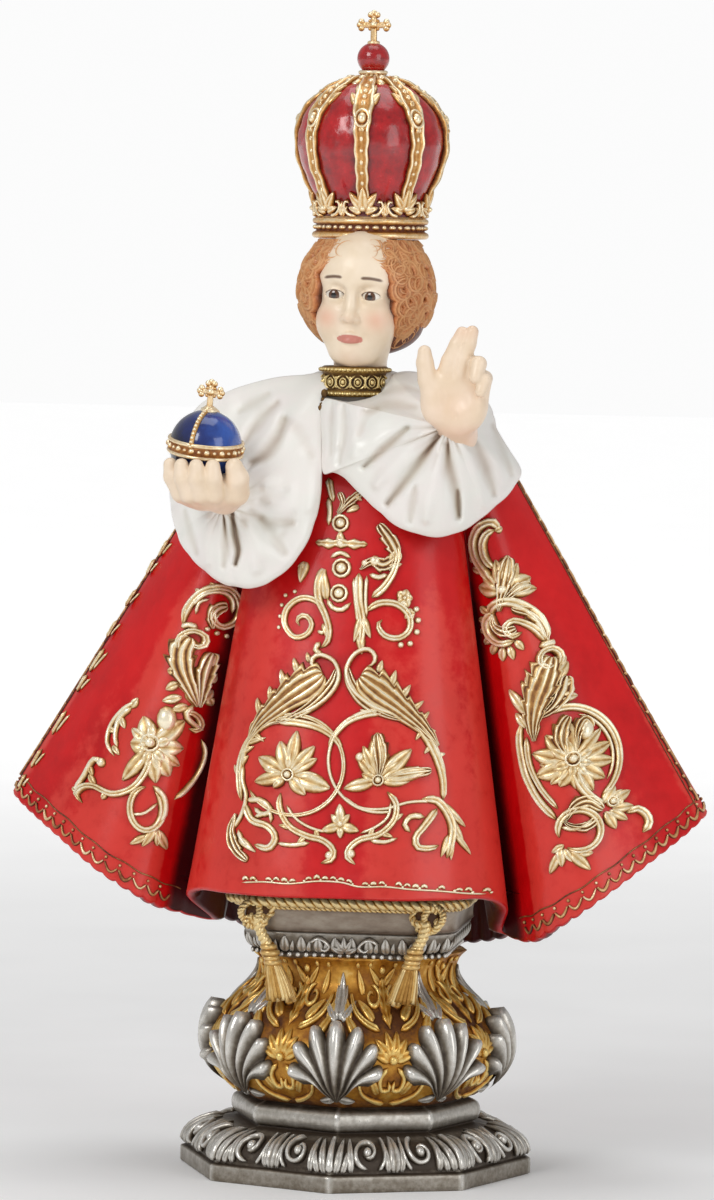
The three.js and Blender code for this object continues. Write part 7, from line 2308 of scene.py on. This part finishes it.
def make_hair():
    b = Bag()
    h = 0.7
    P = field((-18, -17, -15), (18, 21, 15.2), h)
    d = d_ball(P, HAIR_C, HAIR_R - 0.4)
    d = np.minimum(d, d_ball(P, (0, 3.5, -6), (15.2, 12.5, 9.0)))
    face = d_ball(P, (-0.2, -15.5, -8.4), (10.6, 14.6, 17.6))
    d = ss(d, face, 1.0)
    d = ss(d, P[..., 2] * -1 + 14.6, 0.4) if False else np.maximum(d, P[..., 2] - 14.7)
    V, Q = nets(d, P[0, 0, 0], h)
    V, Q = biggest(V, Q)
    V = relax(V, Q, 2, 0.5)
    # painted shade: the scalp under the curls is dark copper, showing between them
    b.add(head_turn(V) + HEAD_AT, Q, (), {"h": 0.12})
    R = Relief(on_hair, b)
    r2 = np.random.default_rng(5)
    k = 15.6 * D2R
    def lock(a0, e0, a1, e1, wav, w, hh, ph):
        t = np.linspace(0, 1, 9)
        x = lerp(a0, a1, t) + wav * np.sin(t * 2.2 * np.pi + ph) * (0.4 + 0.6 * t)
        z = lerp(e0, e1, t)
        q = np.stack([x * k, z * k], -1)
        # bearings shrink towards the top, so keep them apart there
        R.line(q, w, w * 0.55, hh, prof=STRAND, taper=(0.06, 0.2), step=0.55)
    # waves that run down from under the crown
    for i in range(34):
        a = -180 + 360 * (i + 0.5) / 34
        front = abs(a) < 42
        e1 = 33 if front else -8
        lock(a + r2.uniform(-3, 3), 62, a + r2.uniform(-7, 7), e1 + r2.uniform(-3, 3), 4.5, 1.75 / max(0.5, math.cos(50 * D2R)) * 0.72, 2.0 if front else 1.7, r2.uniform(0, 6.28))
    # curls in rows
    for row, e in enumerate((44, 31, 18, 5, -8, -21, -34, -46)):
        n = int(round(360 / (17.5 / max(0.55, math.cos(e * D2R)))))
        for i in range(n):
            a = -180 + 360 * (i + 0.5 * (row % 2)) / n + r2.uniform(-2.5, 2.5)
            ee = e + r2.uniform(-2, 2)
            # the face stays free
            if abs(a) < 47 and ee < 30:
                if not (30 <= abs(a)) or ee < -60:
                    continue
                lim = 41 + 5 * (ee < 0) * min(1, -ee / 20)
                if abs(a) < lim:
                    continue
            if ee > 40 and abs(a) > 60 and r2.random() < 0.4:
                continue
            c0 = (a * k, ee * k)
            way = 1 if r2.random() < 0.5 else -1
            q = 1 / max(0.6, math.cos(ee * D2R))
            r0 = r2.uniform(2.3, 3.0)
            R.curl(c0, r0, 0.55, r2.uniform(0, 360), way * r2.uniform(1.15, 1.5), 1.15, 0.7, r2.uniform(1.7, 2.6), sx=q, prof=STRAND, step=0.5, taper=(0.12, 0.12), mid=1.35)
    # fringe: short curls over the forehead
    for i, (a, e, way) in enumerate(((-38, 24, 1), (-31, 30, -1), (-22, 33, 1), (-13, 34, -1), (-4, 35, 1), (5, 35, -1), (14, 34, 1), (23, 33, -1), (32, 29, 1), (39, 23, -1), (-18, 41, 1), (0, 42, -1), (18, 41, 1), (-36, 37, 1), (36, 37, -1))):
        R.curl((a * k, e * k), 2.6, 0.5, 200 if way > 0 else -20, way * 1.3, 1.15, 0.7, 2.4, sx=1.1, prof=STRAND, step=0.5, mid=1.35, taper=(0.12, 0.12))
    # curls at the temples and down to the jaw
    for s in (-1, 1):
        for a, e, r0 in ((44, 12, 2.8), (46, 0, 3.0), (49, -12, 3.1), (53, -24, 3.1), (60, -36, 2.9), (42, 20, 2.4), (58, -6, 3.0), (62, -20, 3.0), (56, 8, 2.8), (72, -40, 2.8), (66, -48, 2.4)):
            R.curl((s * a * k, e * k), r0, 0.5, 90 + s * r2.uniform(-60, 60), s * r2.choice([-1, 1]) * 1.35, 1.25, 0.7, 2.5, prof=STRAND, step=0.5, mid=1.5, taper=(0.12, 0.12))
    for V in b.V:
        np.minimum(V[:, 2], 240.9, out=V[:, 2])
    return b


_parts = [("head", make_head(), M_SKIN)]
_eb, _em = make_eyes()
_parts += [("eyes", _eb, _em), ("hair", make_hair(), M_HAIR)]
for _n, _b, _m in _parts:
    _o = build(_n, _b, _m)
    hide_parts("figure")

# ------------------------------------------------------------------ hands
def finger(P, pts, rad, k=0.9):
    """A finger through its joints."""
    d = None
    for i in range(len(pts) - 1):
        e = d_bar(P, pts[i], pts[i + 1], rad[i], rad[i + 1])
        d = e if d is None else su(d, e, 0.45)
    return d


def raised_hand(h=0.38):
    """The palm faces the viewer, two fingers up, two folded."""
    P = field((14, -48, 183), (42, -26, 223), h)
    X = np.array([27.6, -40.0, 201.5])
    o = lambda x, y, z: X + np.array([x, y, z])
    # palm
    d = d_ball(P, o(0.4, 0.6, -0.6), (8.2, 3.5, 8.0))
    d = su(d, d_bar(P, o(-3.2, 0.2, 3.6), o(5.0, 0.6, 3.0), 3.0, 2.8), 2.0)
    d = su(d, d_ball(P, o(-4.6, -1.1, -1.6), (3.7, 3.1, 5.0)), 1.6)        # ball of the thumb
    d = su(d, d_ball(P, o(4.8, -0.6, -2.6), (3.3, 2.9, 4.8)), 1.6)         # heel on the other side
    d = ss(d, d_ball(P, o(0.4, -4.6, -0.4), (2.8, 2.0, 4.2)), 2.0)         # hollow of the palm
    # wrist runs back into the sleeve
    d = su(d, d_bar(P, o(0.4, 2.0, -5.0), o(-0.6, 9.0, -9.5), 5.2, 5.6), 2.4)
    # thumb
    th = finger(P, [o(-4.8, -0.6, -1.0), o(-6.6, -1.6, 4.6), o(-7.3, -2.0, 8.9), o(-7.4, -2.2, 11.6)], [3.0, 2.45, 2.2, 1.75])
    d = su(d, th, 1.1)
    # first and middle finger, side by side
    f1 = finger(P, [o(-2.6, 0.0, 4.4), o(-1.2, -0.5, 9.4), o(0.6, -0.9, 13.6), o(1.9, -1.2, 16.6)], [2.55, 2.2, 1.95, 1.6])
    f2 = finger(P, [o(1.1, 0.0, 4.8), o(2.2, -0.7, 10.0), o(3.6, -1.2, 14.0), o(4.5, -1.5, 16.9)], [2.55, 2.2, 1.95, 1.6])
    d = su(d, f1, 0.7)
    d = np.minimum(d, su(d, f2, 0.4))
    # folded ring and little finger
    f3 = finger(P, [o(4.0, 0.6, 3.2), o(5.6, -0.6, 8.6), o(6.5, -3.6, 8.9), o(6.0, -4.9, 5.6)], [2.5, 2.2, 2.0, 1.7])
    f4 = finger(P, [o(6.4, 0.8, 0.8), o(7.7, -0.8, 5.2), o(8.0, -3.6, 4.9), o(7.2, -4.6, 2.0)], [2.3, 2.0, 1.8, 1.5])
    d = np.minimum(d, su(d, f3, 0.5))
    d = np.minimum(d, su(d, f4, 0.5))
    # lines of the palm
    for a, b in ((o(-3.4, -3.6, 3.0), o(0.2, -3.4, 0.6)), (o(0.2, -3.4, 0.6), o(0.8, -3.4, -4.6)), (o(-1.6, -3.2, 4.8), o(4.6, -3.6, 3.2))):
        d = ss(d, d_bar(P, a, b, 0.3), 0.7)
    V, Q = nets(d, P[0, 0, 0], h)
    V, Q = biggest(V, Q)
    return relax(V, Q, 1, 0.4), Q


def orb_hand(h=0.38):
    P = field((-49, -57, 168), (-20, -24, 197), h)
    x, y, z = ORB_C
    o = lambda a, b, c_: np.array([x + a, y + b, z + c_])
    d = d_ball(P, o(1.6, 1.0, -10.4), (9.4, 8.4, 5.4))
    d = su(d, d_ball(P, o(0.6, -4.0, -11.0), (7.6, 5.2, 4.8)), 2.2)
    # wrist
    d = su(d, d_bar(P, o(3, 3, -11), o(5, 15, -11.4), 5.4, 5.8), 2.4)
    # four fingers round the front
    for i, a in enumerate((-52, -27, -3, 21)):
        s, c_ = math.sin(a * D2R), math.cos(a * D2R)
        f = finger(P, [o(1.6 + 3.4 * s, -3.4 * c_, -13.2), o(0.9 + 7.6 * s, -8.2 * c_, -11.6), o(0.2 + 9.4 * s, -10.4 * c_, -7.6), o(9.9 * s, -10.6 * c_, -4.6)], [2.9, 2.65, 2.35, 1.85])
        d = np.minimum(d, su(d, f, 0.55))
    # thumb, large and round, on the near side
    th = finger(P, [o(5.0, 1.0, -13.0), o(8.2, -3.4, -11.2), o(9.2, -6.2, -7.6), o(8.6, -7.4, -4.8)], [4.2, 3.7, 3.0, 2.3])
    d = su(d, th, 1.3)
    # the orb lies in the hand
    d = ss(d, d_ball(P, ORB_C, ORB_R + 0.3), 0.25)
    V, Q = nets(d, P[0, 0, 0], h)
    V, Q = biggest(V, Q)
    return relax(V, Q, 1, 0.4), Q


def make_hands():
    b = Bag()
    V, Q = raised_hand()
    r = V - np.array([27.6, -40.0, 201.5])
    # blush on the fingertips; painted shade in the middle of the palm and down the wrist into the sleeve
    shade_tint = 0.35 * np.exp(-((r[:, 0] / 6) ** 2 + ((r[:, 2] + 3) / 6) ** 2)) + 0.45 * sm(13.5, 17, r[:, 2]) + 0.5 * sm(-5.5, -9, r[:, 2]) + 0.2
    b.add(V, Q, (), {"w": np.clip(shade_tint * 0.6, 0, 1)})
    V, Q = orb_hand()
    r = V - ORB_C
    # painted shade on the underside of the hand, towards the wrist
    shade_tint = 0.5 * sm(-7, -5, r[:, 2]) * 0 + 0.45 * sm(-12.5, -16, r[:, 2]) + 0.15
    b.add(V, Q, (), {"w": np.clip(shade_tint * 0.6, 0, 1)})
    return b


_o = build("hands", make_hands(), M_SKIN)
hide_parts("figure")

# ------------------------------------------------------------------ stage
def stage():
    sc = bpy.context.scene
    me = bpy.data.meshes.new("floor")
    R = 6.0
    me.from_pydata([(-R, -R, 0), (R, -R, 0), (R, R, 0), (-R, R, 0)], [], [(0, 1, 2, 3)])
    fl = bpy.data.objects.new("floor", me)
    sc.collection.objects.link(fl)
    t = Tree("floor_pale")
    nz = t.noise(60, 2, 0.5)
    # the floor stands for a paper sweep; painted light: it glows more the farther it lies from the figure, so it
    # brightens away from the lights that stand there
    far = t.n("ShaderNodeVectorMath", operation="LENGTH")
    t.t.links.new(t.coord, far.inputs[0])
    t.put(t.b.inputs["Emission Strength"], t.span(far.outputs["Value"], 0.1, 1.5, 0.06, 0.62))
    me.materials.append(t.set(Base_Color=t.ramp(nz, [(0.3, (0.86, 0.86, 0.86)), (0.7, (0.9, 0.9, 0.9))]), Roughness=0.6, Specular_IOR_Level=0.2, Emission_Color=(1, 1, 1, 1)))
    w = bpy.data.worlds.new("studio")
    w.use_nodes = True
    bg = w.node_tree.nodes["Background"]
    bg.inputs["Color"].default_value = (1, 1, 1, 1)
    bg.inputs["Strength"].default_value = 0.42
    # the paper behind is lit brighter than the light that reaches the figure
    paper = w.node_tree.nodes.new("ShaderNodeBackground")
    paper.inputs["Color"].default_value = (1, 1, 1, 1)
    paper.inputs["Strength"].default_value = 0.97
    ray_kind = w.node_tree.nodes.new("ShaderNodeLightPath")
    both = w.node_tree.nodes.new("ShaderNodeMixShader")
    w.node_tree.links.new(ray_kind.outputs["Is Camera Ray"], both.inputs[0])
    w.node_tree.links.new(bg.outputs[0], both.inputs[1])
    w.node_tree.links.new(paper.outputs[0], both.inputs[2])
    w.node_tree.links.new(both.outputs[0], w.node_tree.nodes["World Output"].inputs["Surface"])
    sc.world = w

    def area(name, loc, size, power, target=(0, 0, 0.15)):
        from mathutils import Vector
        l = bpy.data.lights.new(name, "AREA")
        l.shape = "RECTANGLE"
        l.size, l.size_y = size
        l.energy = power
        o = bpy.data.objects.new(name, l)
        o.location = loc
        o.rotation_mode = "QUATERNION"
        o.rotation_quaternion = (Vector(target) - Vector(loc)).to_track_quat("-Z", "Y")
        sc.collection.objects.link(o)

    area("key", (-0.55, -0.95, 0.85), (0.5, 0.5), 5.6)
    area("fill", (0.9, -0.8, 0.45), (0.6, 0.8), 3.0)
    area("top", (0.0, 0.1, 1.2), (0.8, 0.8), 3.4)
    sc.view_settings.view_transform = "Standard"
    sc.view_settings.look = "None"


stage()

print("TRIS", COUNT, sum(COUNT.values()))
